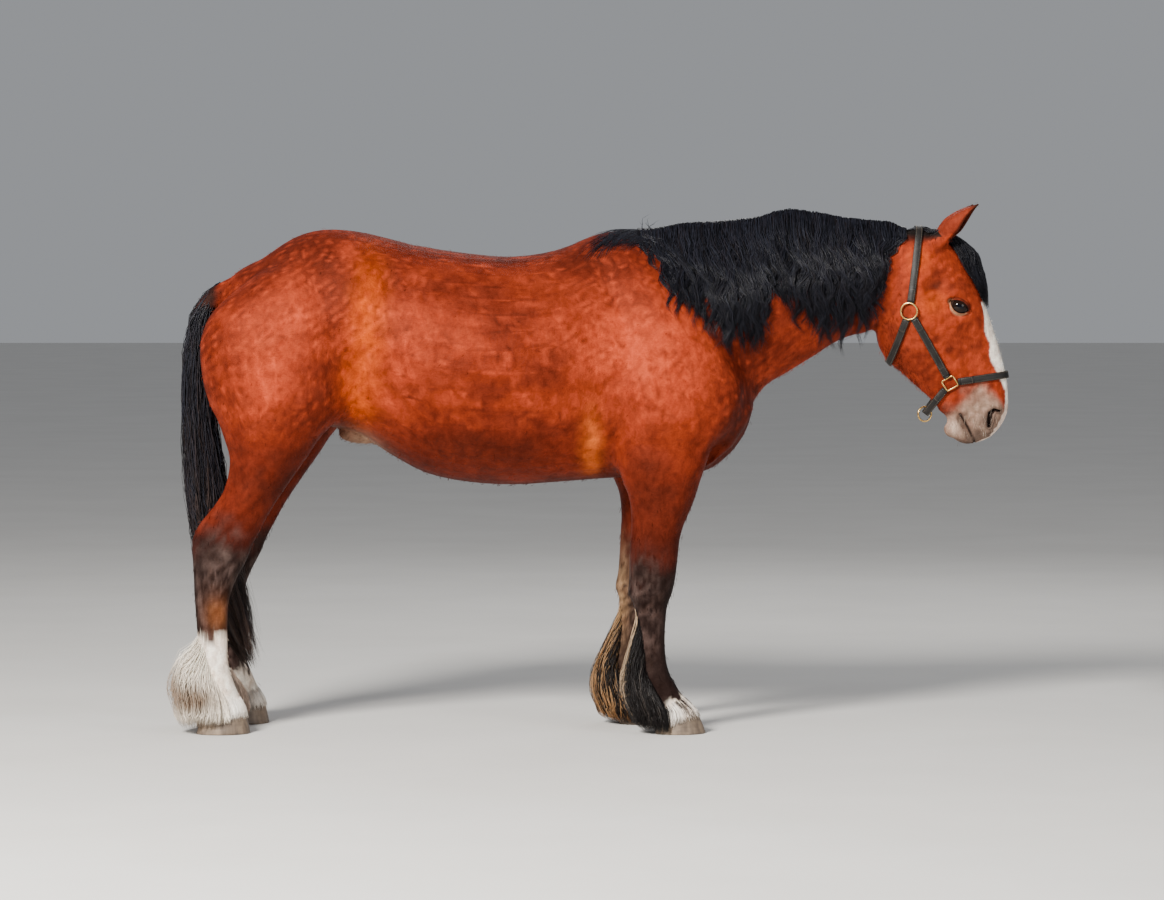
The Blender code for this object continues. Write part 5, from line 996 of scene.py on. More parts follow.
def leg_tint(points, tint, fine, speck):
    """Black points with brown and grey showing through, and the white of the feet."""
    x, y, z = points.T
    fore = x > -0.3
    edge = np.where(fore, 0.575, 0.640) + 0.045 * patches(points, 0.13, 4) + 0.015 * speck
    tint = mixed(tint, BLACK, 0.93 * (1 - smooth(-0.060, 0.085, z - edge)))
    shin = (1 - smooth(0.50, 0.64, z)) * np.where(fore, smooth(0.22, 0.34, z), smooth(0.13, 0.22, z))
    front = np.where(fore, smooth(0.215, 0.255, x), 0)
    blotch = np.clip(0.34 + 0.45 * fine + 0.55 * speck, 0, 0.92) * (1 - 0.85 * front)
    tint = mixed(tint, MOTTLE, shin * blotch)
    hock = near_spot(points, (-1.20, 0.20, 0.61), (0.07, 0.09, 0.09))
    tint = mixed(tint, MOTTLE, hock * np.clip(0.30 + 0.7 * fine, 0, 1))
    tint = mixed(tint, CANNON_TAN, 0.9 * near_spot(points, (-1.222, 0.17, 0.40), (0.040, 0.08, 0.055)))
    right = y < 0
    streak = near_spot(points, (0.115, 0.16, 0.43), (0.026, 0.09, 0.15)) * np.clip(0.7 + 0.5 * speck, 0, 1)
    tint = mixed(tint, STREAK, 0.85 * streak * ~right)
    teeth = patches(points * (1, 1, 0.25), 0.020, 5)
    ragged = 0.010 * fine + 0.015 * teeth
    sock = (1 - smooth(-0.008, 0.008, z - 0.322 + 0.05 * (x + 1.24) + ragged)) * (right & ~fore)
    low = (1 - smooth(-0.012, 0.012, z - 0.185 + ragged)) * (~right & ~fore)
    toe = smooth(0.220, 0.240, x - 0.37 * (z - 0.027) + 0.5 * ragged)
    toe = toe * (1 - smooth(-0.008, 0.008, z - 0.102 - 0.40 * (x - 0.255) + ragged)) * (right & fore)
    heel = (1 - smooth(-0.010, 0.015, z - 0.120 + ragged)) * (~right & fore)
    stain = np.clip(0.10 + 0.25 * fine + 0.8 * smooth(0.12, 0.02, z), 0, 0.75)
    white = mixed(np.tile(WHITE, (len(points), 1)), STAINED, stain)
    for share, strength in ((sock, 1.0), (low, 0.72), (toe, 1.0), (heel, 0.70)):
        tint = mixed(tint, white, strength * share)
    return mixed(tint, BLACK, 0.85 * near_spot(points, (0.287, 0.21, 0.074), (0.011, 0.05, 0.014)) * right)


SNOUT_EDGE = [
    (-0.20, 0.610), (-0.150, 0.602), (-0.128, 0.592), (-0.100, 0.567), (-0.079, 0.552), (-0.050, 0.540),
    (-0.021, 0.538), (0.000, 0.558), (0.016, 0.586), (0.031, 0.626), (0.045, 0.660),
]


# Round spots of the head as down, out, reach and share: painted highlights on the upper cheek, and darker
# spots round and below the nostril with painted shade in the corner of the mouth.
HEAD_HIGHLIGHTS = ((0.215, -0.090, 0.045, 0.50), (0.07, -0.080, 0.035, 0.45))
SNOUT_SHADES = ((0.647, -0.047, 0.022, 0.80), (0.675, -0.082, 0.024, 0.72), (0.605, -0.098, 0.015, 0.60))
# Ovals of painted shade on the head, in the hollow above the eye, its other hollows and creases and along
# the lower jaw, as down, out, half length, half depth and share.
HEAD_SHADES = (
    (0.166, -0.070, 0.019, 0.028, 0.96), (0.130, -0.045, 0.024, 0.030, 0.60),
    (0.195, 0.020, 0.026, 0.035, 0.62), (0.378, -0.081, 0.022, 0.018, 0.50),
    (0.445, -0.185, 0.060, 0.035, 0.60), (0.330, -0.170, 0.050, 0.050, 0.40),
    (0.360, -0.060, 0.050, 0.022, 0.35), (0.30, -0.25, 0.16, 0.035, 0.55),
    (0.410, 0.000, 0.030, 0.030, 0.30), (0.056, -0.020, 0.022, 0.014, 0.65),
    (0.12, -0.17, 0.08, 0.030, 0.30),
)
CHIN_SPOT = (0.632, -0.150, 0.030, 0.018)


def oval(down, out, spot):
    """How near each place on the head is to a soft oval."""
    d, o, long, deep = spot
    return np.exp(-(((down - d) / long) ** 2) - ((out - o) / deep) ** 2)


def head_tint(points, tint, down, out, fine, broad):
    """The head's own colours and painted light: painted highlights on the upper cheek, painted shade in the
    hollows, the lids' creases, the eye's opening, the nostrils and the mouth's groove, and the lids, grey
    muzzle, blaze and lips.
    """
    side = np.abs(points[:, 1])
    on_it = smooth(-0.06, 0.02, down) * (points[:, 0] > 0.98)
    veins = patches(points, 0.045, 8)
    tint = mixed(tint, BAY_LIGHT, on_it * (0.36 + 0.30 * broad))
    # Painted highlights on the upper cheek.
    for d, o, reach, share in HEAD_HIGHLIGHTS:
        tint = mixed(tint, BAY_HIGHLIGHT, share * on_it * bell(np.hypot(down - d, out - o), reach))
    tint = mixed(tint, BAY_DARK, on_it * np.clip(0.50 * veins, 0, 0.55) * smooth(0.1, 0.2, down))
    # Painted shade in the head's hollows and creases.
    for *spot, share in HEAD_SHADES:
        tint = mixed(tint, BAY_DARK, share * oval(down, out, spot) * on_it)
    for turn in (RIGHT, LEFT):
        a, c, off, depth = eye_measures(points, turn)
        here = (points[:, 1] * turn > 0.04) * on_it
        rim = bell(off - 0.0050, 0.0050) * smooth(-0.006, 0.004, c - 0.25 * a)
        tint = mixed(tint, EYE_RIM, 0.85 * rim * here)
        # Painted shade in the crease above the upper lid.
        crease = bell(off - 0.0085, 0.0030) * (c < 0) * (np.abs(a) < 0.036)
        tint = mixed(tint, LID_CREASE_SHADE, 0.75 * crease * here)
        upper = (off < 0.004) * (c < 0)
        tint = mixed(tint, DARK_SKIN_AND_RECESS_SHADE, here * np.maximum(upper * 0.9, (1 - smooth(0.0, 0.0016, off))))
        # Painted shade inside the eye's opening, round the eyeball.
        tint = mixed(tint, DARK_SKIN_AND_RECESS_SHADE, here * (depth > 0))
    snout = smooth(-0.045, 0.050, down - read_off(SNOUT_EDGE, out) + 0.014 * fine) * on_it
    tint = mixed(tint, SNOUT, snout)
    dapple = patches(points, 0.030, 6)
    tint = mixed(tint, PINK, snout * np.clip(0.15 + 0.40 * dapple, 0, 0.6))
    mouth = read_off(MOUTH, down)
    tint = mixed(tint, CHIN, 0.85 * oval(down, out, CHIN_SPOT) * snout)
    # Darker round and below the nostril, and painted shade in the corner of the mouth.
    for d, o, reach, share in SNOUT_SHADES:
        tint = mixed(tint, SNOUT_DARK, share * on_it * bell(np.hypot(down - d, out - o), reach))
    under_lip = bell(out - mouth + 0.014, 0.008) * smooth(0.600, 0.612, down)
    tint = mixed(tint, SNOUT_DARK, 0.60 * under_lip * on_it)
    low = smooth(0.662, 0.690, down) * (out < 0.0)
    tint = mixed(tint, SNOUT_DARK, 0.55 * low * on_it)
    blaze = read_off(BLAZE_EDGE, down) + 0.0030 * patches(points, 0.022, 7)
    share = smooth(-0.003, 0.004, out - blaze) * smooth(0.255, 0.268, down) * on_it
    share = share * smooth(0.0, 0.004, 0.050 - side * (1.0 - 0.1 * down))
    pale = np.where(down[:, None] > 0.62, NOSE_PINK, WHITE)
    tint = mixed(tint, pale, 0.97 * share)
    # Painted shade in the mouth's groove, along the line between the lips.
    seam = bell(out - mouth, 0.0095 - 0.05 * (down - 0.60)) * smooth(0.590, 0.600, down) * on_it
    tint = mixed(tint, DARK_SKIN_AND_RECESS_SHADE, 0.90 * seam)
    hole = nostril_off(points)
    nose = on_it * (side > 0.012)
    tint = mixed(tint, SNOUT_DARK, 0.70 * nose * bell(hole - 1.4, 1.0))
    # Painted shade inside the nostril.
    return mixed(tint, DARK_SKIN_AND_RECESS_SHADE, nose * (1 - smooth(0.75, 1.10, hole)))


def near_spot(points, middle, radii):
    """How near each point is to a soft oval spot, on both sides of the body."""
    x, y, z = points.T
    away = (np.stack([x, np.abs(y), z], axis=1) - middle) / radii
    return np.exp(-(away**2).sum(axis=1))


BLAZE_EDGE = [
    (0.255, 0.090), (0.269, 0.0675), (0.300, 0.0600), (0.326, 0.0560), (0.342, 0.0410), (0.365, 0.0470),
    (0.405, 0.0520), (0.430, 0.0420), (0.452, 0.0340), (0.480, 0.0400), (0.505, 0.0450), (0.540, 0.0480),
    (0.590, 0.0480), (0.615, 0.0380), (0.638, 0.0250), (0.672, -0.0110), (0.702, -0.0450), (0.707, -0.104),
]


def ear_tint(points, tint):
    """A dark rim and tip on each ear and painted shade in its cup; the ear's back has the coat's own colour.
    """
    for side in (RIGHT, LEFT):
        aim, opening, across = ear_axes(side)
        offset = points - head_point(*EAR_ROOT[:2], side * EAR_ROOT[2]) - aim * EAR_SEAT
        along = offset @ aim
        share = np.clip(along / EAR[-1][0], 0, 1)
        heights, widths, depths, reaches = np.array(EAR).T
        a = offset @ across / np.interp(along, heights, widths)
        b = (offset @ opening - EAR_LEAN * share**2) / np.interp(along, heights, depths)
        on_ear = (along > -0.004) & (np.linalg.norm(offset, axis=1) < 0.17) & (np.hypot(a, b) < 1.6)
        turn = np.degrees(np.abs(np.arctan2(a, -b)))
        rim = smooth(-16, -3, turn - np.interp(along, heights, reaches))
        cup = 1 - smooth(0.88, 0.95, np.hypot(a, b))
        tip = smooth(0.78, 0.96, share)
        tint = mixed(tint, BAY_LIGHT, 0.5 * on_ear)
        # The dark rim and tip, and painted shade in the cup.
        tint = mixed(tint, EAR_DARK_AND_CUP_SHADE, on_ear * np.maximum(np.maximum(rim * 0.8, cup), tip * 0.9))
    return tint


# Strands


def strand_shape(steps):
    """A slim three-sided cone cut into steps, as level, across, up and triangles."""
    shape = bmesh.new()
    stand = Matrix.Translation((0, 0, 0.5))
    bmesh.ops.create_cone(shape, cap_ends=True, segments=3, radius1=1, radius2=0, depth=1, matrix=stand)
    for step in range(1, steps):
        everything = [*shape.verts, *shape.edges, *shape.faces]
        bmesh.ops.bisect_plane(shape, geom=everything, plane_co=(0, 0, step / steps), plane_no=(0, 0, 1))
    bmesh.ops.triangulate(shape, faces=shape.faces)
    places = np.array([vert.co for vert in shape.verts])
    shape.verts.index_update()
    corners = np.array([[vert.index for vert in face.verts] for face in shape.faces])
    shape.free()
    level = np.rint(places[:, 2] * steps).astype(int)
    radius = np.maximum(1 - places[:, 2], 1e-6)[:, None]
    flat = np.where((level < steps)[:, None], places[:, :2] / radius, 0)
    return level, flat, corners


def strands(name, paths, outward, wide, tint, root_uv, look, thick=0.42):
    """One mesh of slim tapered strands that follow the paths (strands x points x 3). Each strand's
    patch on the skin's unwrap lies at its root's place."""
    paths = np.asarray(paths, float)
    count, points, _ = paths.shape
    level, flat, corners = strand_shape(points - 1)
    run = unit(np.gradient(paths, axis=1))
    outward = np.broadcast_to(outward, paths.shape)
    across = unit(np.cross(run, outward))
    up = np.cross(across, run)
    share = np.linspace(0, 1, points)
    taper = (0.65 + 0.35 * np.sin(np.pi * np.minimum(share / 0.5, 1) / 2)) * (1 - share**2.6)
    size = np.asarray(wide)[:, None] * taper / 2
    size = size[:, level][..., None]
    made = paths[:, level] + across[:, level] * flat[None, :, :1] * size
    made = made + up[:, level] * flat[None, :, 1:] * size * thick
    first, second, third = made[0, corners[0]]
    turned = np.cross(second - first, third - first)
    away = made[0, corners[0]].mean(axis=0) - paths[0, level[corners[0]]].mean(axis=0)
    if turned @ away < 0:
        corners = corners[:, ::-1]
    per = len(level)
    faces = (corners[None] + np.arange(count)[:, None, None] * per).reshape(-1, 3)
    mesh = bpy.data.meshes.new(name)
    mesh.vertices.add(count * per)
    mesh.vertices.foreach_set("co", made.astype(np.float32).ravel())
    mesh.loops.add(len(faces) * 3)
    mesh.loops.foreach_set("vertex_index", faces.astype(np.int32).ravel())
    mesh.polygons.add(len(faces))
    mesh.polygons.foreach_set("loop_start", np.arange(0, len(faces) * 3, 3, dtype=np.int32))
    mesh.polygons.foreach_set("use_smooth", np.ones(len(faces), bool))
    mesh.update(calc_edges=True)
    spread = np.column_stack([flat[:, 0], level / (points - 1) * 2 - 1]) * 0.0015
    uv = (root_uv[:, None, :] + spread[None])[np.arange(count)[:, None, None], corners[None]]
    mesh.uv_layers.new(name="OFBake").data.foreach_set("uv", uv.astype(np.float32).ravel())
    tints = tint if tint.ndim == 3 else np.repeat(tint[:, None], points, axis=1)
    paint(mesh, tints[:, level].reshape(-1, 3))
    return piece(name, mesh, look)


def paint(mesh, tint):
    """Keeps a colour for each vertex, which the coat's materials read."""
    layer = mesh.color_attributes.new(name="tint", type="FLOAT_COLOR", domain="POINT")
    colours = np.ones((len(tint), 4), np.float32)
    colours[:, :3] = tint
    layer.data.foreach_set("color", colours.ravel())


def piece(name, mesh, look, replaces=()):
    """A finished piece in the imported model's frame, on the model's body."""
    mesh.name = name
    mesh.materials.clear()
    mesh.materials.append(look)
    mesh.transform(Matrix.Translation(PLACE))
    made = bpy.data.objects.new(name, mesh)
    bpy.context.scene.collection.objects.link(made)
    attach(made, BODY)
    if replaces:
        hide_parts(*replaces)
    return made


def tree_of(mesh):
    shape = bmesh.new()
    shape.from_mesh(mesh)
    made = BVHTree.FromBMesh(shape)
    shape.free()
    return made


class Skin:
    """The skin's mesh with what the hair asks of it: where it lies, how it faces and where each
    place lies on its unwrap."""

    def __init__(self, mesh):
        self.mesh = mesh
        self.tree = tree_of(mesh)
        loops = np.empty(len(mesh.loops) * 2, np.float32)
        mesh.uv_layers["OFBake"].data.foreach_get("uv", loops)
        loops = loops.reshape(-1, 2)
        starts = np.empty(len(mesh.polygons), np.int32)
        mesh.polygons.foreach_get("loop_start", starts)
        self.face_uv = (loops[starts] + loops[starts + 1] + loops[starts + 2]) / 3

    def uv_at(self, places):
        found = [self.tree.find_nearest(place)[2] for place in places]
        return self.face_uv[found]

    def cast(self, start, aim, reach=1e9):
        place = self.tree.ray_cast(Vector(start), Vector(aim), reach)[0]
        return None if place is None else np.array(place)


def unwrap(mesh):
    holder = bpy.data.objects.new("unwrap", mesh)
    bpy.context.scene.collection.objects.link(holder)
    bpy.context.view_layer.objects.active = holder
    holder.select_set(True)
    mesh.uv_layers.new(name="OFBake")
    bpy.ops.object.mode_set(mode="EDIT")
    bpy.ops.mesh.select_all(action="SELECT")
    bpy.ops.uv.smart_project(angle_limit=1.15, island_margin=0.002)
    bpy.ops.object.mode_set(mode="OBJECT")
    bpy.data.objects.remove(holder)


def read_grid(grid, rows, columns, row, column):
    """Values read between the places of an even grid."""
    r = np.clip((row - rows[0]) / (rows[1] - rows[0]), 0, len(rows) - 1.001)
    c = np.clip((column - columns[0]) / (columns[1] - columns[0]), 0, len(columns) - 1.001)
    i, j = r.astype(int), c.astype(int)
    u, v = r - i, c - j
    low = grid[i, j] * (1 - v) + grid[i, j + 1] * v
    high = grid[i + 1, j] * (1 - v) + grid[i + 1, j + 1] * v
    return low * (1 - u) + high * u


def filled(grid):
    """A grid whose missing values take the nearest one before them in their row."""
    for row in grid:
        last = 0.0
        for k in range(len(row)):
            if np.isnan(row[k]):
                row[k] = last
            last = row[k]
    return grid


def nearest_clump(rng, places, spread, clumps):
    """The clump that each strand gathers in."""
    places = places + rng.normal(0, spread, len(places))
    return np.argmin(np.abs(places[:, None] - clumps[None]), axis=1)


def waves(rng, count, share, turns, size):
    """A soft side-to-side sway along each strand, none at the root."""
    phase = rng.uniform(0, 2 * np.pi, (count, 1))
    pitch = turns * rng.uniform(0.7, 1.3, (count, 1))
    return size * np.minimum(share * 3, 1) * (np.sin(phase + 2 * np.pi * pitch * share) - np.sin(phase))


def hair_tint(rng, count):
    """Black hair, strand by strand a little lighter, darker or browner."""
    tint = np.tile(HAIR, (count, 1)) * rng.uniform(0.35, 2.6, (count, 1))
    return tint + (np.array(HAIR_BROWN) - tint) * (rng.uniform(0, 1, (count, 1)) ** 3 * 0.1)


MANE_LEVELS = 12
MANE_COUNT = 3000
MANE_CLUMPS = 96
MANE_FROM = 0.165            # the thin hair of the withers starts behind the solids' locks
MANE_TO = 1.058
MANE_LAYERS = (("mane_under", 0.004, 0.016, 0.0), ("mane_over", 0.012, 0.032, 0.05))


def mane(skin, look, rng):
    """Wavy locks from the crest that fall over the right side of the neck, in two layers."""
    xs = np.linspace(0.05, 1.18, 58)
    zs = np.linspace(1.74, 1.10, 49)
    side = np.full((len(xs), len(zs)), np.nan)
    crest = np.empty(len(xs))
    for i, x in enumerate(xs):
        crest[i] = skin.cast((x, 0, 2.5), (0, 0, -1))[2]
        for j, z in enumerate(zs):
            place = skin.cast((x, -1, z), (0, 1, 0))
            if place is not None and place[1] < -0.004:
                side[i, j] = place[1]
    side = filled(side)
    count, clumps = MANE_COUNT, MANE_CLUMPS
    for name, low, high, longer in MANE_LAYERS:
        at = (np.arange(clumps) + rng.uniform(0.1, 0.9, clumps)) / clumps
        clump_x = MANE_FROM + (MANE_TO - MANE_FROM) * at
        root_x = MANE_FROM + (MANE_TO - MANE_FROM) * rng.uniform(0, 1, count)
        owner = nearest_clump(rng, root_x, 0.014, clump_x)
        full = smooth(0.14, 0.36, root_x) * (1 - 0.75 * smooth(0.99, 1.06, root_x))
        ends = read_off(MANE_ENDS, clump_x) + rng.uniform(-0.055, 0.045, clumps)
        ends = ends + longer * rng.uniform(0, 1, clumps)
        drift = rng.uniform(-0.022, 0.026, clumps) + 0.045 * (1 - smooth(0.17, 0.34, clump_x))
        drift -= 0.105 * smooth(0.93, 1.05, clump_x)
        phase = rng.uniform(0, 2 * np.pi, clumps)
        sway = rng.uniform(0.009, 0.024, clumps)
        pitch = rng.uniform(0.10, 0.17, clumps)
        end = ends[owner] + rng.uniform(-0.030, 0.10, count) * rng.uniform(0, 1, count)
        end += (1 - full) * 0.05 * rng.uniform(0, 1, count)
        lift = rng.uniform(low, high, count) * (0.30 + 0.70 * full) + 0.001
        crown = np.interp(root_x, xs, crest)
        arch = read_off(MANE_TOPS, root_x) - rng.uniform(0.001, 0.016, count) - 0.06 * longer
        arch = crown + 0.006 + (arch - crown - 0.006) * full
        root = rng.uniform(-0.004, 0.018, count)
        paths = np.empty((count, MANE_LEVELS, 3))
        paths[:, 0] = np.stack([root_x, root, crown - 0.008], axis=1)
        paths[:, 1] = np.stack([root_x, root - 0.008, (crown + arch) / 2 + 0.008], axis=1)
        paths[:, 2] = np.stack([root_x, root - 0.034, arch - 0.003], axis=1)
        top = np.minimum(crown - 0.018, arch - 0.018)
        last = paths[:, 2, 1]
        steps = MANE_LEVELS - 3
        gather = rng.uniform(0.65, 1.0, count)
        single = waves(rng, count, np.linspace(0, 1, steps)[None], 2.6, 0.0040)
        for k in range(steps):
            share = (k + 0.5) / (steps - 0.5)
            z = top + (end - top) * share
            pull = smooth(0.0, 0.75, share) * gather
            x = root_x + (clump_x[owner] - root_x) * pull + drift[owner] * share
            turn = phase[owner] + 2 * np.pi * (top - z) / pitch[owner]
            x = x + sway[owner] * min(1.0, 0.2 + share * 2.5) * np.sin(turn) + single[:, k]
            flesh = read_grid(side, xs, zs, x, z)
            y = np.minimum(flesh - lift * (1 - 0.20 * share) - 0.004 * np.cos(turn), last + 0.012)
            y = np.minimum(y, -0.022 - lift * 0.5)
            paths[:, 3 + k] = np.stack([x, y, z], axis=1)
            last = y
        outward = np.array([0, -0.9, 0.35])
        wide = rng.uniform(0.0026, 0.0046, count)
        strands(name, paths, outward, wide, hair_tint(rng, count), skin.uv_at(paths[:, 0]), look)


def withers_hair(skin, look, rng):
    """Thin locks from the mane's last roots that lie back along the withers, and the short hair of the
    poll that runs forward under the crown strap to the ears."""
    levels = 7
    paths = []
    for back, count in ((True, 240), (False, 1100)):
        clumps = 14 if back else 24
        aim = rng.uniform(-1, 1, clumps)
        for i in range(count):
            k = i % clumps
            if back:
                start = np.array([rng.uniform(0.12, 0.27) - 0.02 * aim[k], rng.uniform(-0.016, 0.008)])
                run = np.array([-rng.uniform(0.05, 0.17), -0.075 - 0.060 * aim[k]])
                rise = 0.007
            else:
                start = np.array([rng.uniform(1.02, 1.150), rng.uniform(-0.030, 0.030)])
                run = np.array([rng.uniform(0.030, 0.075), 0.030 * aim[k]])
                rise = rng.uniform(0.003, 0.012) if start[0] > 1.105 else 0.004
            path = []
            for step in range(levels):
                share = step / (levels - 1)
                x, y = start + run * share + np.array([0, 0.004 * math.sin(k + 5 * share)])
                place = skin.cast((x, y, 2.5), (0, 0, -1))
                lift = rise * math.sin(math.pi * min(1.0, 0.12 + share * 0.8)) - (0.008 if step == 0 else 0)
                path.append(place + (0, 0, lift))
            paths.append(path)
    paths = np.array(paths)
    wide = rng.uniform(0.0024, 0.0038, len(paths))
    uv = skin.uv_at(paths[:, 0])
    strands("withers_and_poll", paths, (0, 0, 1.0), wide, hair_tint(rng, len(paths)), uv, look)


def forelock(skin, look, rng):
    """Hair from the poll and between the ears that falls down the forehead."""
    downs = np.linspace(-0.06, 0.34, 41)
    sides = np.linspace(-0.09, 0.09, 25)
    face = np.full((len(downs), len(sides)), np.nan)
    for i, down in enumerate(downs):
        for j, side in enumerate(sides):
            place = skin.cast(head_point(down, 0.22, side), -FACE_OUT, 0.40)
            if place is not None:
                face[i, j] = (place - POLL) @ FACE_OUT
    face = filled(face)
    count = 2300
    levels = 9
    clumps = 30
    start = rng.uniform(-0.045, 0.040, count)
    aside = rng.uniform(-0.034, 0.034, count)
    clump_side = rng.uniform(-0.066, 0.052, clumps)
    owner = nearest_clump(rng, aside * 1.6, 0.014, clump_side)
    end = FORELOCK_END + 0.014 - rng.uniform(0, 0.055, clumps)[owner] - rng.uniform(0, 0.05, count)
    layer = rng.uniform(0.08, 1.1, count)
    phase = rng.uniform(0, 2 * np.pi, clumps)
    single = waves(rng, count, np.linspace(0, 1, levels)[None], 2.0, 0.0025)
    paths = np.empty((count, levels, 3))
    for k in range(levels):
        share = k / (levels - 1)
        down = start + (end - start) * share
        side = aside + (clump_side[owner] - aside) * smooth(0, 0.8, share) * 0.85
        side = side + 0.011 * share * np.sin(phase[owner] + 9 * share) + single[:, k]
        flesh = read_grid(face, downs, sides, down, side)
        ripple = 1 + 0.22 * np.sin(2 * phase[owner] + 7 * share)
        stand = read_off(FORELOCK_STAND, down) * layer * ripple + 0.003
        out = flesh + (stand if k else -0.004)
        paths[:, k] = POLL + FACE_DOWN * down[:, None] + FACE_OUT * out[:, None] + SIDEWAYS * side[:, None]
    wide = rng.uniform(0.0026, 0.0044, count)
    uv = skin.uv_at(paths[:, 0])
    strands("forelock", paths, FACE_OUT, wide, hair_tint(rng, count), uv, look)


def tail(skin, look, rng):
    """Long hair round the dock, crinkled above, gathered into locks below, with a few stray ones."""
    line = np.array(TAIL_LINE)
    rows = np.arange(len(line))
    levels = 13
    count = 2350
    clumps = 30
    for side, name in ((RIGHT, "tail_right"), (LEFT, "tail_left")):
        start = rng.uniform(0.2, 5.0, count)
        angle = side * rng.uniform(0.0, np.pi, count)
        clump_angle = side * rng.uniform(0.0, np.pi, clumps)
        clump_reach = rng.uniform(0.15, 1.0, clumps) ** 0.6
        clump_end = len(line) - 1 - rng.uniform(0, 1, clumps) ** 1.6 * 2.2
        owner = nearest_clump(rng, angle, 0.25, clump_angle)
        end = np.minimum(clump_end[owner] - rng.uniform(0, 0.9, count) ** 2, len(line) - 1.0)
        reach = rng.uniform(0.25, 1.0, count) ** 0.5
        steps = np.linspace(0, 1, levels)[None]
        crinkle = waves(rng, count, steps, 4.6, 0.0056)
        sway = waves(rng, clumps, steps, 1.8, 0.011)
        swing = waves(rng, clumps, steps, 2.4, 0.007)
        stray = (rng.uniform(0, 1, count) < 0.05) * rng.uniform(0.3, 1.0, count)
        paths = np.empty((count, levels, 3))
        for k in range(levels):
            share = k / (levels - 1)
            along = start + (end - start) * share
            x, z, deep, broad = (np.interp(along, rows, column) for column in line.T)
            before = np.clip(along - 0.5, 0, rows[-1])
            after = np.clip(along + 0.5, 0, rows[-1])
            run = [np.interp(after, rows, column) - np.interp(before, rows, column) for column in line.T[:2]]
            run = np.stack(run)
            run /= np.linalg.norm(run, axis=0)
            pull = smooth(0.15, 0.95, share) * 0.85
            turn = angle + (clump_angle[owner] - angle) * pull
            far = reach + (clump_reach[owner] - reach) * pull
            far = 0.45 + (far - 0.45) * smooth(0.0, 0.18, share)
            back = far * deep * np.cos(turn) * 0.98
            aside = far * broad * np.sin(turn) + crinkle[:, k] + sway[owner, k] * share
            ripple = crinkle[:, -1 - k] + swing[owner, k]
            paths[:, k, 0] = x - run[1] * back + ripple + stray * 0.035 * share**2
            paths[:, k, 1] = aside
            paths[:, k, 2] = z + run[0] * back
        outward = np.stack([-0.2 * np.ones(count), np.sin(angle), np.zeros(count)], axis=1)[:, None]
        outward = outward + np.array([-0.8, 0, 0.1]) * np.cos(angle)[:, None, None]
        wide = rng.uniform(0.0026, 0.0046, count)
        tint = np.repeat(hair_tint(rng, count)[:, None], levels, axis=1)
        faded = np.array(TAIL_FADED) * rng.uniform(0.5, 1.5, (count, 1, 1))
        tint = tint + (faded - tint) * steps[..., None] ** 2.2 * rng.uniform(0.1, 1.0, (count, 1, 1))
        strands(name, paths, outward, wide, tint, skin.uv_at(paths[:, 0]), look)


FEATHER_COUNT = 2900
CORONET_COUNT = 900
FEATHER_TURN = math.radians(118)
FEATHER_LEVELS = 6
LEG_REACH = 0.16             # beyond any lower leg's surface, from its middle


def leg_reach(skin, horn, front, side, zs, turns):
    """How far the skin or horn reaches from the leg's middle, by height and turn."""
    legs = np.empty((len(zs), len(turns)))
    for i, middle in enumerate(leg_place(front, side, zs)):
        for j, turn in enumerate(turns):
            away = np.array([-math.cos(turn), side * math.sin(turn), 0])
            start = middle + away * LEG_REACH
            found = [skin.cast(start, -away, LEG_REACH)]
            found.append(horn.ray_cast(Vector(start), Vector(-away), LEG_REACH)[0])
            reach = [np.linalg.norm(np.array(place) - middle) for place in found if place is not None]
            legs[i, j] = max(reach, default=0.05)
    return legs


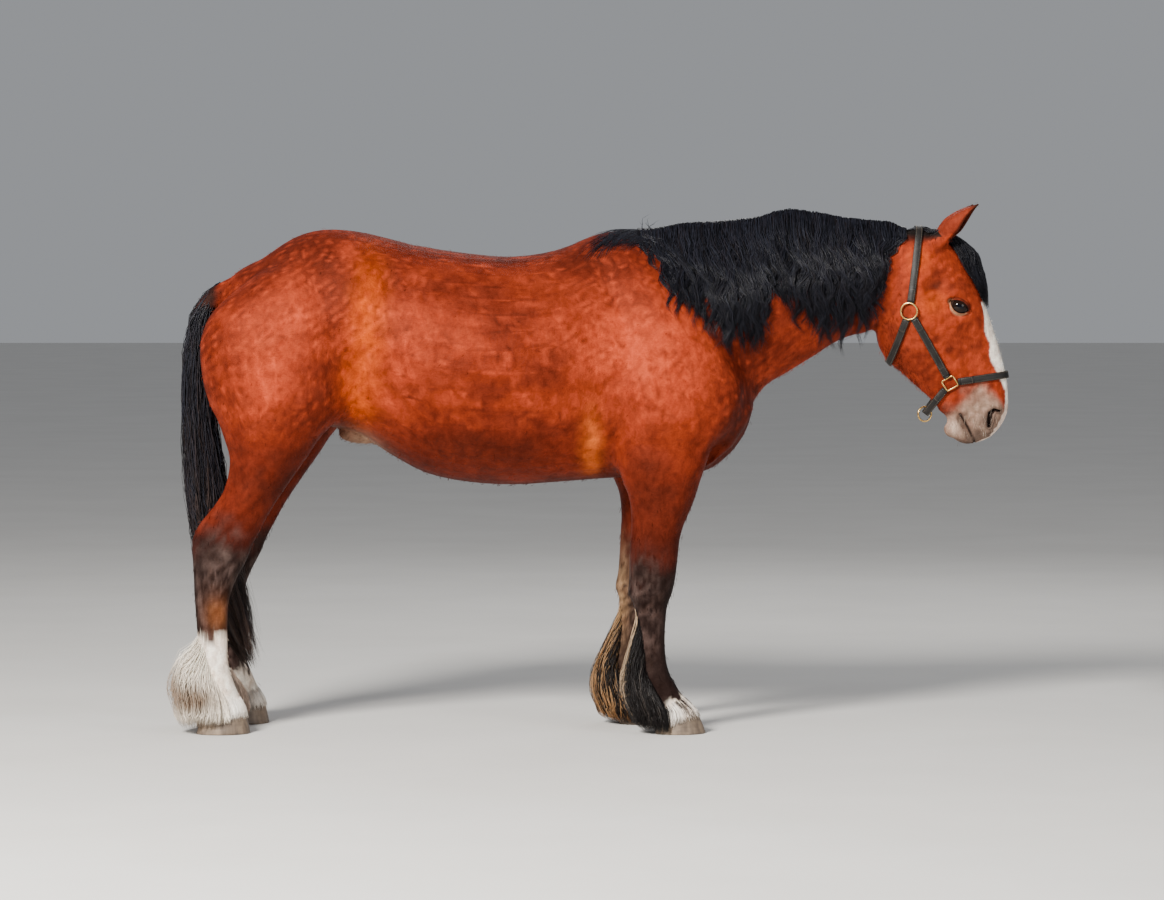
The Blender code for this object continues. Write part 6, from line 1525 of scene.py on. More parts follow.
def feather(skin, horn, look, rng, front, side):
    """Silky hair from the back and sides of the cannon and fetlock down over the hoof, and the short
    hair that hangs all round over the top of the horn."""
    table = FORE_FEATHER if front else HIND_FEATHER
    levels = FEATHER_LEVELS
    zs = np.linspace(0.0, 0.48, 41)
    turns = np.linspace(-np.pi, np.pi, 41)
    legs = leg_reach(skin, horn, front, side, zs, turns)
    count = FEATHER_COUNT
    spread = rng.uniform(-1, 1, count)
    widest = FEATHER_TURN * (0.62 if front else 1.0)
    turn = widest * np.sign(spread) * np.abs(spread) ** 0.85
    highest = 0.40 if front else 0.30
    crowd = 1.5 if front else 0.8
    start = 0.030 + highest * rng.uniform(0.05, 1, count) ** crowd * (1 - 0.62 * np.abs(spread) ** 1.5)
    start = np.maximum(start, 0.085)
    clumps = 64
    clump_turn = widest * rng.uniform(-1, 1, clumps)
    owner = nearest_clump(rng, turn, 0.10, clump_turn)
    end = np.maximum(start - rng.uniform(0.10, 0.28, count), rng.uniform(0.004, 0.040, count))
    end = np.where(end < 0.045, rng.uniform(0.004, 0.05, count), end)
    if not front:
        end = np.maximum(end, rng.uniform(0.030, 0.085, count) * np.abs(spread) ** 0.4)
    layer = rng.uniform(0.10, 1.0, count) ** 0.7
    sway = waves(rng, clumps, np.linspace(0, 1, levels)[None], 0.8, 0.005)
    paths = np.empty((count + CORONET_COUNT, levels, 3))
    for k in range(levels):
        share = k / (levels - 1)
        z = start + (end - start) * share
        gather = smooth(0.1, 1.0, share) * (0.6 if front else 0.35)
        angle = turn + (clump_turn[owner] - turn) * gather + sway[owner, k] * 8
        flesh = read_grid(legs, zs, turns, z, np.clip(angle, -np.pi, np.pi))
        back = np.maximum(np.cos(angle), 0) ** 1.3
        beside = read_off(SIDE_FEATHER, z)
        full = beside + (read_off(table, z) - beside) * back
        full = np.where(np.abs(angle) > np.radians(95), np.minimum(full, flesh + 0.012), full)
        far = flesh + np.maximum(full - flesh, 0.004) * layer * smooth(-0.05, 0.45, share) + 0.001
        far = far if k else flesh - 0.003
        paths[:count, k] = beside_leg(front, side, z, angle, far)
    # Round the coronet
    _, _, _, (line_x, line_z), slope = FORE_HOOF if front else HIND_HOOF
    shift = ground_shift(front, side)
    ring = rng.uniform(-np.pi, np.pi, CORONET_COUNT)
    forward = leg_place(front, side, np.full(CORONET_COUNT, 0.06))[:, 0] - np.cos(ring) * 0.07
    line = line_z + slope * (forward - shift - line_x)
    top = line + rng.uniform(0.004, 0.050, CORONET_COUNT)
    low = np.maximum(line - rng.uniform(0.012, 0.034, CORONET_COUNT), 0.005)
    for k in range(levels):
        share = k / (levels - 1)
        z = top + (low - top) * share
        far = read_grid(legs, zs, turns, z, ring) + 0.0055 * share**0.7 - (0.003 if k == 0 else 0)
        paths[count:, k] = beside_leg(front, side, z, ring, far)
    every = np.concatenate([turn, ring])
    outward = np.stack([-np.cos(every), side * np.sin(every), 0.2 + 0 * every], axis=1)[:, None]
    wide = rng.uniform(0.0024, 0.0042, len(paths))
    luck = np.concatenate([rng.uniform(0, 1, clumps)[owner], np.ones(CORONET_COUNT)])
    tint = feather_tint(paths, every, luck, front, side) * rng.uniform(0.82, 1.15, (len(paths), 1, 1))
    uv = skin.uv_at(paths[:, 0])
    name = "feather_" + leg_word(front, side)
    strands(name, paths, outward, wide, np.minimum(tint, 0.92), uv, look)


def feather_tint(paths, turn, luck, front, side):
    """White hair with brown stains, black, or fair by the lock, as each foot's is."""
    levels = paths.shape[1]
    root = paths[:, 0]
    tint = np.repeat(coat_tint(root)[:, None], levels, axis=1)
    share = np.linspace(0, 1, levels)[None, :, None]
    hanging = luck < 1
    behind = np.abs(turn) < math.radians(16)
    grey = np.array(GREY_HAIR)
    if front and side == RIGHT:
        tint[hanging] = FEATHER_BLACK[side]
        tint[hanging & (luck < 0.12)] = grey * 0.5
        tint[hanging & behind & (root[:, 2] > 0.22) & (luck < 0.45)] = CREAM
    elif front:
        tint[hanging] = FEATHER_BLACK[side]
        facing = (turn < -math.radians(6)) & (turn > -math.radians(85))
        fair = hanging & (luck < np.where(facing, 0.34, 0.16))
        tint[fair] = FAIR
        low = smooth(0.45, 0.9, share) * (luck < 0.40)[:, None, None] * hanging[:, None, None]
        tint = tint + (np.array(FEATHER_RUST) - tint) * low * 0.8
    elif side == RIGHT:
        white = hanging & (root[:, 2] < 0.335)
        tint[white] = FEATHER_WHITE
    else:
        dark = np.clip((root[:, 2] - 0.17) / 0.06, 0, 1)[:, None, None] * (luck > 0.25)[:, None, None]
        pale = FEATHER_PALE + (grey * 0.35 - FEATHER_PALE) * dark
        tint = np.where(hanging[:, None, None], pale, tint)
    if not front:
        flat = paths.reshape(-1, 3)
        stain = 1.7 * near_spot(flat, (-1.310, 0.17, 0.118), (0.080, 0.30, 0.038))
        stain += 1.4 * near_spot(flat, (-1.385, 0.17, 0.14), (0.030, 0.30, 0.08))
        stain += 0.9 * smooth(0.055, 0.020, flat[:, 2])
        stain = np.clip(stain, 0, 0.97).reshape(-1, levels, 1)
        tint = tint + (np.array(FEATHER_STAIN) - tint) * stain * (0.8 + 0.2 * luck[:, None, None])
    return tint


def edge_fur(skin, look, rng):
    """Short tufts that lie along the body and break its outline, longest under the jaw and belly."""
    mesh = skin.mesh
    points = points_of(mesh)
    normals = points_of(mesh, "normal")
    for name, count, want in (
        ("edge_fur_body", 7000, body_fur_length(points, normals)),
        ("edge_fur_head", 3200, head_fur_length(points, normals)),
    ):
        chance = want[0] / want[0].sum()
        chosen = rng.choice(len(points), count, p=chance)
        places = points[chosen] + rng.normal(0, 0.003, (count, 3))
        facing = normals[chosen]
        lie = fur_lie(places)
        lie = unit(lie - facing * (lie * facing).sum(axis=1, keepdims=True))
        length = want[1][chosen] * rng.uniform(0.6, 1.3, count)
        rise = rng.uniform(0.06, 0.30, count)
        steps = np.array([-0.10, 0.35, 0.70, 1.0])
        paths = np.empty((count, 4, 3))
        for k, step in enumerate(steps):
            lifted = facing * (length * rise * max(step, 0) ** 1.2 - (0.002 if k == 0 else -0.0006))[:, None]
            paths[:, k] = places + lie * (length * step)[:, None] + lifted
        tint = coat_tint(places) * rng.uniform(0.9, 1.3, (count, 1))
        wide = length * rng.uniform(0.16, 0.26, count)
        uv = skin.uv_at(places)
        strands(name, paths, facing[:, None], wide, tint, uv, look)


def fur_lie(points):
    """Which way the coat lies: back and down the body, down the legs, down the face."""
    x, _, z = points.T
    down, _ = head_measures(points)
    lie = np.tile((-0.75, 0.0, -0.55), (len(points), 1))
    lie[:, 0] += 0.45 * smooth(-0.4, -1.0, x)
    leg = 1 - smooth(0.75, 1.0, z)
    lie = lie + ((0.0, 0.0, -1.0) - lie) * leg[:, None]
    head = smooth(-0.10, 0.05, down) * (x > 0.95)
    return lie + (FACE_DOWN - lie) * head[:, None]


def body_fur_length(points, normals):
    """How likely a tuft is at each point of the body, and how long it is."""
    x, y, z = points.T
    down, _ = head_measures(points)
    off_head = 1.0 - (down > -0.05) * (x > 0.95)
    under = smooth(0.1, 0.8, -normals[:, 2])
    middle = bell(y, 0.06)
    chance = 0.25 + 1.6 * under + 1.2 * middle
    rear = (normals[:, 0] < -0.55) | (normals[:, 0] > 0.65)
    chance = (chance + 0.9 * rear) * off_head * (z > 0.06)
    length = 0.008 + 0.003 * under + 0.004 * (z < 0.75)
    return chance, length


def head_fur_length(points, normals):
    x = points[:, 0]
    down, out = head_measures(points)
    on_it = (down > -0.06) & (x > 0.97) & (down < 0.66)
    jaw = smooth(0.2, 0.8, -(normals @ FACE_OUT)) * (1 - smooth(0.40, 0.56, down))
    front = smooth(0.3, 0.9, normals @ FACE_OUT)
    eye = bell(np.hypot(down - EYE[0], out - EYE[1]), 0.045)
    chance = (0.18 + 1.2 * jaw + 0.5 * front) * on_it * (1 - eye)
    chance = np.where(down > 0.56, chance * 0.15, chance)
    length = 0.006 + 0.0035 * jaw
    return chance / density_of(points), length


def density_of(points):
    """How much finer the mesh is near the eye, nostril and mouth, so that tufts don't crowd there."""
    spots = near_paths(points, EYE_SPOT + NOSE_SPOT + MOUTH_SPOT)
    return 1 + 10 * np.max(spots, axis=0)


def whiskers(skin, look, rng):
    """Single long hairs on the muzzle and chin, and the lashes of the upper lids."""
    paths = []
    wide = []
    tints = []
    for _ in range(130):
        down = rng.uniform(0.600, 0.690)
        out = rng.uniform(-0.155, -0.055) if rng.uniform() < 0.75 else rng.uniform(-0.055, 0.0)
        side = rng.choice((-1, 1))
        place = skin.cast(head_point(down, out, side * 0.12), (0, -side, 0), 0.12)
        if place is None:
            continue
        aim = SIDEWAYS * side * rng.uniform(0.3, 0.9) + FACE_DOWN * rng.uniform(0.3, 0.9)
        aim = aim - FACE_OUT * rng.uniform(-0.2, 0.7)
        length = rng.uniform(0.012, 0.038)
        steps = np.linspace(-0.08, 1, 5)[:, None]
        droop = np.array([0, 0, -0.25]) * np.maximum(steps, 0) ** 2
        paths.append(place + (aim * steps + droop) * length)
        wide.append(0.0008)
        tints.append(WHISKERS[0] if rng.uniform() < 0.6 else WHISKERS[1])
    for side in (RIGHT, LEFT):
        centre, along, across = eye_frame(side)
        for i in range(34):
            a = EYE_SLIT[0] * (i / 33 - 0.5) * 0.9
            c = EYE_SLIT[1] * max(0.0, 1 - (2 * a / EYE_SLIT[0]) ** 2) ** 0.75 + 0.0015
            up = -across
            ball = math.sqrt(max((EYE_R + LID_THICK) ** 2 - a * a - c * c, 0))
            place = centre + along * a + up * c + SIDEWAYS * side * (ball - 0.0006)
            length = rng.uniform(0.010, 0.015)
            steps = np.linspace(-0.1, 1, 5)[:, None]
            curl = up * 0.45 * np.maximum(steps, 0) ** 2
            aim = SIDEWAYS * side * 0.9 + along * rng.uniform(-0.15, 0.15) - up * 0.10
            paths.append(place + (aim * steps + curl) * length)
            wide.append(0.0009)
            tints.append(LASHES)
    paths = np.array(paths)
    uv = skin.uv_at(paths[:, 0])
    strands("whiskers", paths, FACE_OUT, np.array(wide), np.array(tints), uv, look, thick=0.9)


# Eyes and hooves


def eyeball(side, look):
    """An eyeball with a brown iris and a pupil that is longer across than high."""
    centre, _, _ = eye_frame(side)
    axis = Vector((0.26, side * 0.95, -0.10)).normalized()
    shape = bmesh.new()
    turn = axis.to_track_quat("Z", "Y").to_matrix().to_4x4()
    matrix = Matrix.Translation(centre) @ turn
    bmesh.ops.create_uvsphere(shape, u_segments=64, v_segments=48, radius=EYE_R - 0.0002, matrix=matrix)
    smooth_faces(shape)
    mesh = mesh_of(shape, "eyeball")
    offset = points_of(mesh) - centre
    along = FACE_DOWN * EYE_SLIT_AIM[0] + FACE_OUT * EYE_SLIT_AIM[1]
    forward = offset @ np.array(axis) / EYE_R
    a = offset @ along / EYE_R
    c = offset @ np.cross(SIDEWAYS, along) / EYE_R
    iris = np.hypot(a, c)
    tint = np.tile(EYEBALL, (len(offset), 1))
    tint = mixed(tint, IRIS, 1 - smooth(0.72, 0.80, iris))
    tint = mixed(tint, IRIS_RIM, bell(iris - 0.74, 0.06))
    pupil = np.hypot(a / 0.46, c / 0.22)
    tint = mixed(tint, PUPIL, 1 - smooth(0.85, 1.05, pupil))
    tint = np.where(forward[:, None] < 0, EYE_BACK, tint)
    paint(mesh, tint)
    word = side_word(side)
    piece("eyeball_" + word, mesh, look, ("eye_" + word,))


def hoof(front, side, look):
    """A hoof with growth rings, a bevelled ground edge and a cleft between its heels."""
    ground, hair, aside, (line_x, line_z), slope = FORE_HOOF if front else HIND_HOOF
    shift = ground_shift(front, side)
    angle = round_angles(56)
    rings = []
    for rise in (0.0, 0.0, 0.02, 0.06, *np.linspace(0.12, 0.94, 15), 0.98, 1.0):
        middle, length, width = (low + (high - low) * rise for low, high in zip(ground, hair))
        trim = 0.004 if len(rings) == 1 else 0.0015 if rise == 0.02 else 0.0
        ripple = 0.0006 * math.sin(rise * 34) + 0.0004 * math.sin(rise * 71 + 1)
        length += ripple - trim
        width += ripple - trim
        if not rings:
            length *= 0.55
            width *= 0.55
        heel = np.maximum(0, -np.cos(angle) - 0.80) / 0.20
        x = middle + shift + np.cos(angle) * length + heel**2 * HEEL_NOTCH
        y = side * aside + np.sin(angle) * width
        top = line_z - 0.0002 + slope * (x - shift - line_x)
        rings.append(np.column_stack([x, y, np.maximum(top, 0.01) * rise]))
    shape = bmesh.new()
    add_rings(shape, rings)
    for face in shape.faces:
        face.smooth = len(face.verts) == 4
    word = leg_word(front, side)
    mesh = mesh_of(shape, "horn")
    tree = tree_of(mesh)
    piece("horn_" + word, mesh, look, ("hoof_" + word,))
    return tree


# The headcollar


def taut(points):
    """The upper side of the hull of some points, from left to right."""
    hull = []
    for point in points:
        while len(hull) > 1:
            run = (hull[-1][0] - hull[-2][0], hull[-1][1] - hull[-2][1])
            on = (point[0] - hull[-2][0], point[1] - hull[-2][1])
            if run[0] * on[1] - run[1] * on[0] < 0:
                break
            hull.pop()
        hull.append(point)
    return hull


def strap_line(skin, low, high, offset, reach, extra=None):
    """A taut line round the head in the plane that holds Y and the line from low to high."""
    start = head_point(*low)
    aim = unit(head_point(*high) - start)
    across = np.cross(SIDEWAYS, aim)
    middle = start + (head_point(*high) - start) * 0.35 + across * offset
    flat = []
    for k in range(-60, 61):
        angle = math.radians(reach * k / 60)
        place = skin.cast(middle, aim * math.cos(angle) + SIDEWAYS * math.sin(angle))
        if place is not None:
            away = np.linalg.norm(place - middle) + STRAP_CLEAR
            flat.append((away * math.sin(angle), away * math.cos(angle)))
    if extra:
        height = (head_point(*extra) - middle) @ aim
        flat.extend([(-0.012, height), (0.012, height)])
    flat.sort(key=lambda point: math.atan2(point[0], point[1]))
    return np.array([middle + SIDEWAYS * y + aim * height for y, height in taut(flat)]), aim


def trimmed(line, aim, floor):
    """The stretch of a line that lies beyond a height along aim."""
    kept = []
    for first, second in zip(line, line[1:]):
        low, high = first @ aim - floor, second @ aim - floor
        if low < 0 <= high or high < 0 <= low:
            kept.append(first + (second - first) * low / (low - high))
        if high >= 0:
            kept.append(second)
    return np.array(kept)


def spaced(line, count):
    lengths = np.concatenate([[0], np.cumsum(np.linalg.norm(np.diff(line, axis=0), axis=1))])
    wanted = np.linspace(0, lengths[-1], count)
    return np.column_stack([np.interp(wanted, lengths, column) for column in line.T])


FOLD = 0.040                 # how far a strap's sewn end is doubled back from its fitting
SEAM_INSET = 0.0032
SEAM_PITCH = 0.0062
SEAM_BEAD = 0.0021           # half the length of one stitch


def strap(name, edges, inside, looks, node):
    """A leather strap between its two inner edges, doubled and looped at both ends, with its seams."""
    leather, thread = looks
    first, second = edges
    middle = (first + second) / 2
    across = unit(second - first)
    run = unit(np.gradient(middle, axis=0))
    out = np.cross(run, across)
    out *= np.sign(((middle - inside) * out).sum(axis=1))[:, None]
    lengths = np.concatenate([[0], np.cumsum(np.linalg.norm(np.diff(middle, axis=0), axis=1))])
    from_end = np.minimum(lengths, lengths[-1] - lengths)
    thick = STRAP_THICK + 0.0022 * (1 - smooth(FOLD, FOLD + 0.005, from_end))
    half = STRAP_WIDE / 2
    shape = bmesh.new()
    section = [
        (-half, 0.25), (-half, 0.72), (-half + 0.0011, 0.97), (0, 1.04), (half - 0.0011, 0.97),
        (half, 0.72), (half, 0.25), (half - 0.0009, 0.02), (-half + 0.0009, 0.02),
    ]
    rings = []
    for i in range(len(middle)):
        rings.append([middle[i] + across[i] * a + out[i] * b * thick[i] for a, b in section])
    add_rings(shape, rings)
    for end, inner in ((0, 1), (-1, -2)):
        towards = unit(middle[end] - middle[inner])
        spot = middle[end] + towards * 0.0030 + out[end] * STRAP_THICK * 0.5
        add_loop(shape, spot, towards, across[end], out[end])
    smooth_faces(shape)
    piece(name, mesh_of(shape, name), leather, (node,))
    beads = bmesh.new()
    for edge in (-1, 1):
        add_seam(beads, middle, across, out, thick, lengths, edge * (half - SEAM_INSET))
    for end in (0, -1):
        add_cross_seam(beads, middle, across, out, thick, lengths, FOLD - 0.003, end)
    smooth_faces(beads)
    piece(name + "_seams", mesh_of(beads, name), thread)


def add_loop(shape, spot, towards, across, out):
    """The end of a strap, turned round the wire that it holds."""
    half = STRAP_WIDE / 2 - 0.0018
    section = [
        (-half, 0.0034), (half, 0.0034), (half + 0.0006, 0.0044),
        (half, 0.0056), (-half, 0.0056), (-half - 0.0006, 0.0044),
    ]
    rings = []
    for k in range(14):
        angle = 2 * math.pi * k / 14
        ray = towards * math.cos(angle) + out * math.sin(angle)
        rings.append([spot + across * a + ray * b for a, b in section])
    add_rings(shape, rings, closed=True)


def add_bead(shape, place, along, out, length):
    side = np.cross(out, along)
    matrix = Matrix(np.column_stack([along * length, side * 0.00055, out * 0.00050]).tolist()).to_4x4()
    matrix = Matrix.Translation(place) @ matrix
    bmesh.ops.create_icosphere(shape, subdivisions=1, radius=1, matrix=matrix)


def add_seam(shape, middle, across, out, thick, lengths, aside):
    for at in np.arange(SEAM_PITCH, lengths[-1] - SEAM_PITCH / 2, SEAM_PITCH):
        i = min(int(np.searchsorted(lengths, at)), len(lengths) - 1)
        share = (at - lengths[i - 1]) / (lengths[i] - lengths[i - 1])
        place = middle[i - 1] + (middle[i] - middle[i - 1]) * share
        along = unit(middle[i] - middle[i - 1])
        add_bead(shape, place + across[i] * aside + out[i] * thick[i], along, out[i], SEAM_BEAD)


def add_cross_seam(shape, middle, across, out, thick, lengths, at, end):
    at = at if end == 0 else lengths[-1] - at
    i = min(int(np.searchsorted(lengths, at)), len(lengths) - 1)
    for aside in np.linspace(-0.0065, 0.0065, 4):
        add_bead(shape, middle[i] + across[i] * aside + out[i] * thick[i] * 1.02, across[i], out[i], 0.0016)


def smooth_faces(shape):
    for face in shape.faces:
        face.smooth = True


def round_strap(skin, word, low, high, reach, stop, looks, extra=None):
    edges = []
    for offset in (-STRAP_WIDE / 2, STRAP_WIDE / 2):
        line, aim = strap_line(skin, low, high, offset, reach, extra)
        edges.append(spaced(trimmed(line, aim, head_point(*low) @ aim + stop), 90))
    inside = head_point(*low) + (head_point(*high) - head_point(*low)) * 0.35
    strap(word + "_strap", edges, inside, looks, "headcollar_" + word)


def cheek_strap(skin, side, looks):
    start = head_point(*RING_AT)
    end = head_point(*SQUARE_AT)
    aim = unit(end - start)
    across = np.cross(SIDEWAYS, aim)
    first = start + aim * (RING_R + RING_WIRE)
    last = end - aim * (SQUARE_HALF[0] + SQUARE_BAR * 1.5)
    edges = []
    for offset in (-STRAP_WIDE / 2, STRAP_WIDE / 2):
        flat = []
        for share in np.linspace(0, 1, 25):
            place = first + (last - first) * share + across * offset
            found = skin.cast(place + SIDEWAYS * side * 0.5, -SIDEWAYS * side)
            flat.append((share, abs(found[1]) + STRAP_CLEAR))
        line = [first + (last - first) * t + across * offset + SIDEWAYS * side * y for t, y in taut(flat)]
        edges.append(spaced(np.array(line), 40))
    word = side_word(side)
    strap("cheek_strap_" + word, edges, (start + end) / 2, looks, "headcollar_cheek_" + word)


def fitting_frame(skin, spot, side, clear):
    """Where a flat fitting lies on the cheek, clear of the skin, and how it faces."""
    places = []
    normals = Vector()
    for along in (-0.02, 0.0, 0.02):
        for over in (-0.02, 0.0, 0.02):
            start = head_point(spot[0] + along, spot[1] + over, side * 0.5)
            place, normal, _, _ = skin.tree.ray_cast(Vector(start), Vector((0, -side, 0)))
            places.append(np.array(place))
            normals += normal
    normal = np.array(normals.normalized())
    place = places[4]
    rise = max((other - place) @ normal for other in places)
    return place + normal * (rise + clear), normal


def wire(name, points, middle, thick, sides, look, node):
    """A closed loop of round wire."""
    points = np.array(points)
    run = unit(np.roll(points, -1, axis=0) - np.roll(points, 1, axis=0))
    up = unit(np.cross(run, points - middle))
    out = np.cross(up, run)
    rings = []
    for p, o, u in zip(points, out, up):
        rings.append([p + o * thick * math.cos(a) + u * thick * math.sin(a) for a in round_angles(sides)])
    shape = bmesh.new()
    add_rings(shape, rings, closed=True)
    smooth_faces(shape)
    piece(name, mesh_of(shape, name), look, (node,))


def circle(middle, first, second, radius):
    return [middle + (first * math.cos(a) + second * math.sin(a)) * radius for a in round_angles(48)]


def fittings(skin, side, look):
    """The round ring and the square on one cheek."""
    word = side_word(side)
    middle, normal = fitting_frame(skin, RING_AT, side, STRAP_CLEAR + RING_WIRE)
    first = unit(np.cross(normal, FACE_DOWN))
    ring = circle(middle, first, np.cross(normal, first), RING_R)
    wire("cheek_ring_" + word, ring, middle, RING_WIRE, 12, look, "headcollar_ring_" + word)
    middle, normal = fitting_frame(skin, SQUARE_AT, side, STRAP_CLEAR + SQUARE_BAR / 2)
    aim = head_point(*SQUARE_AT) - head_point(*RING_AT)
    along = unit(aim - normal * (aim @ normal))
    across = np.cross(normal, along)
    points = []
    long = SQUARE_HALF[0] - SQUARE_CORNER
    high = SQUARE_HALF[1] - SQUARE_CORNER
    for quarter in range(4):
        a, b = ((1, 1), (-1, 1), (-1, -1), (1, -1))[quarter]
        centre = middle + along * a * long + across * b * high
        for k in range(7):
            turn = math.pi / 2 * (quarter + k / 6)
            points.append(centre + (along * math.cos(turn) + across * math.sin(turn)) * SQUARE_CORNER)
    wire("cheek_square_" + word, points, middle, SQUARE_BAR * 0.62, 10, look, "headcollar_square_" + word)


def headcollar(skin, leather, thread, brass):
    looks = (leather, thread)
    stop = RING_R + RING_WIRE
    corner = math.hypot(*SQUARE_HALF) + SQUARE_BAR
    round_strap(skin, "crown", RING_AT, CROWN_TOP, 150, stop, looks)
    round_strap(skin, "throat", RING_AT, THROAT_LOW, 150, stop, looks)
    round_strap(skin, "nose", SQUARE_AT, NOSE_FRONT, 160, corner, looks)
    round_strap(skin, "chin", SQUARE_AT, CHIN_LOW, 160, corner + SQUARE_BAR / 2, looks, CHIN_LOW)
    for side in (RIGHT, LEFT):
        cheek_strap(skin, side, looks)
        fittings(skin, side, brass)
    low = head_point(*CHIN_LOW)
    middle = low + unit(low - head_point(*SQUARE_AT)) * STRAP_THICK
    turn = math.radians(CHIN_RING_TURN)
    ring = circle(middle, np.array([math.cos(turn), math.sin(turn), 0]), np.array([0, 0, 1]), CHIN_RING_R)
    wire("chin_ring", ring, middle, RING_WIRE, 12, brass, "headcollar_ring_chin")


# Materials


def new_look(name, roughness, **sockets):
    """A material whose steady numbers sit on the shader's own sockets."""
    look = bpy.data.materials.new(name)
    look.use_nodes = True
    shader = look.node_tree.nodes["Principled BSDF"]
    shader.inputs["Roughness"].default_value = roughness
    for socket, value in sockets.items():
        shader.inputs[socket.replace("_", " ")].default_value = value
    return look, shader


def coloured(look, shader, colour):
    look.node_tree.links.new(colour, shader.inputs["Base Color"])


def grain(look, scale, stretch=(1, 1, 1), detail=4.0, roughness=0.6, distortion=0.0):
    """Noise on the piece's own place in space, drawn out along an axis by a small stretch."""
    nodes, links = look.node_tree.nodes, look.node_tree.links
    place = nodes.new("ShaderNodeTexCoord")
    mapping = nodes.new("ShaderNodeMapping")
    mapping.inputs["Scale"].default_value = stretch
    noise = nodes.new("ShaderNodeTexNoise")
    noise.inputs["Scale"].default_value = scale
    noise.inputs["Detail"].default_value = detail
    noise.inputs["Roughness"].default_value = roughness
    noise.inputs["Distortion"].default_value = distortion
    links.new(place.outputs["Object"], mapping.inputs["Vector"])
    links.new(mapping.outputs["Vector"], noise.inputs["Vector"])
    return noise.outputs["Fac"]


def ramp(look, value, *stops):
    """A value turned into colours. Each stop is a place and a colour."""
    node = look.node_tree.nodes.new("ShaderNodeValToRGB")
    while len(node.color_ramp.elements) < len(stops):
        node.color_ramp.elements.new(0.5)
    for element, (place, colour) in zip(node.color_ramp.elements, stops):
        element.position = place
        element.color = (*colour, 1)
    look.node_tree.links.new(value, node.inputs["Fac"])
    return node.outputs["Color"]


def blend(look, kind, share, first, second):
    """Two colours mixed in one way, by a share. Each is a socket or a steady value."""
    node = look.node_tree.nodes.new("ShaderNodeMix")
    node.data_type = "RGBA"
    node.blend_type = kind
    node.clamp_result = True
    sockets = {socket.identifier: socket for socket in node.inputs}
    for name, value in (("Factor_Float", share), ("A_Color", first), ("B_Color", second)):
        if isinstance(value, bpy.types.NodeSocket):
            look.node_tree.links.new(value, sockets[name])
        else:
            sockets[name].default_value = value
    return next(socket for socket in node.outputs if socket.identifier == "Result_Color")


def bump(look, shader, *layers):
    """Relief from several values, each with its depth in metres."""
    nodes, links = look.node_tree.nodes, look.node_tree.links
    normal = None
    for value, depth in layers:
        node = nodes.new("ShaderNodeBump")
        node.inputs["Distance"].default_value = depth
        node.inputs["Strength"].default_value = 1.0
        links.new(value, node.inputs["Height"])
        if normal is not None:
            links.new(normal, node.inputs["Normal"])
        normal = node.outputs["Normal"]
    links.new(normal, shader.inputs["Normal"])


def varied_roughness(look, shader, value, low, high):
    node = look.node_tree.nodes.new("ShaderNodeMapRange")
    node.inputs["To Min"].default_value = low
    node.inputs["To Max"].default_value = high
    look.node_tree.links.new(value, node.inputs["Value"])
    look.node_tree.links.new(node.outputs["Result"], shader.inputs["Roughness"])


def tint_of(look):
    """The colour that paint kept for each vertex."""
    node = look.node_tree.nodes.new("ShaderNodeAttribute")
    node.attribute_name = "tint"
    return node.outputs["Color"]


def coat_look():
    sheen = (1.0, 0.66, 0.52, 1.0)
    look, shader = new_look("bay_coat", 0.5, Specular_IOR_Level=0.055, Specular_Tint=sheen)
    hairs = grain(look, 90, (1.0, 5.0, 2.2), detail=5, distortion=0.4)
    dapple = grain(look, 9, detail=3)
    flecks = grain(look, 40, (1.0, 1.0, 0.75), detail=4, distortion=0.6)
    tone = ramp(look, hairs, (0.25, (0.62, 0.60, 0.58)), (0.75, (1.30, 1.25, 1.20)))
    wide = ramp(look, dapple, (0.3, (0.72, 0.66, 0.62)), (0.7, (1.22, 1.22, 1.16)))
    small = ((0.36, (0.70, 0.62, 0.58)), (0.54, (1.0, 1.0, 1.0)), (0.70, (1.20, 1.26, 1.22)))
    tinted = blend(look, "MULTIPLY", 0.55, tint_of(look), tone)
    tinted = blend(look, "MULTIPLY", 0.7, tinted, wide)
    tinted = blend(look, "MULTIPLY", 0.72, tinted, ramp(look, flecks, *small))
    coloured(look, shader, tinted)
    varied_roughness(look, shader, hairs, 0.42, 0.62)
    muscle = grain(look, 22, (1.0, 1.0, 0.6), detail=3)
    bump(look, shader, (muscle, 0.004), (hairs, 0.0014))
    return look


def hair_look():
    look, shader = new_look("long_hair", 0.38, Specular_IOR_Level=0.17)
    fibres = grain(look, 160, (1.0, 1.0, 0.12), detail=3)
    tone = ramp(look, fibres, (0.3, (0.70, 0.70, 0.70)), (0.7, (1.25, 1.22, 1.18)))
    coloured(look, shader, blend(look, "MULTIPLY", 0.6, tint_of(look), tone))
    varied_roughness(look, shader, fibres, 0.28, 0.46)
    bump(look, shader, (fibres, 0.0004))
    return look


def eye_look():
    look, shader = new_look("eye", 0.05, Coat_Weight=0.06, Coat_Roughness=0.02, Specular_IOR_Level=0.16)
    streaks = grain(look, 420, detail=3)
    tone = ramp(look, streaks, (0.3, (0.75, 0.75, 0.75)), (0.7, (1.3, 1.3, 1.3)))
    coloured(look, shader, blend(look, "MULTIPLY", 0.6, tint_of(look), tone))
    return look


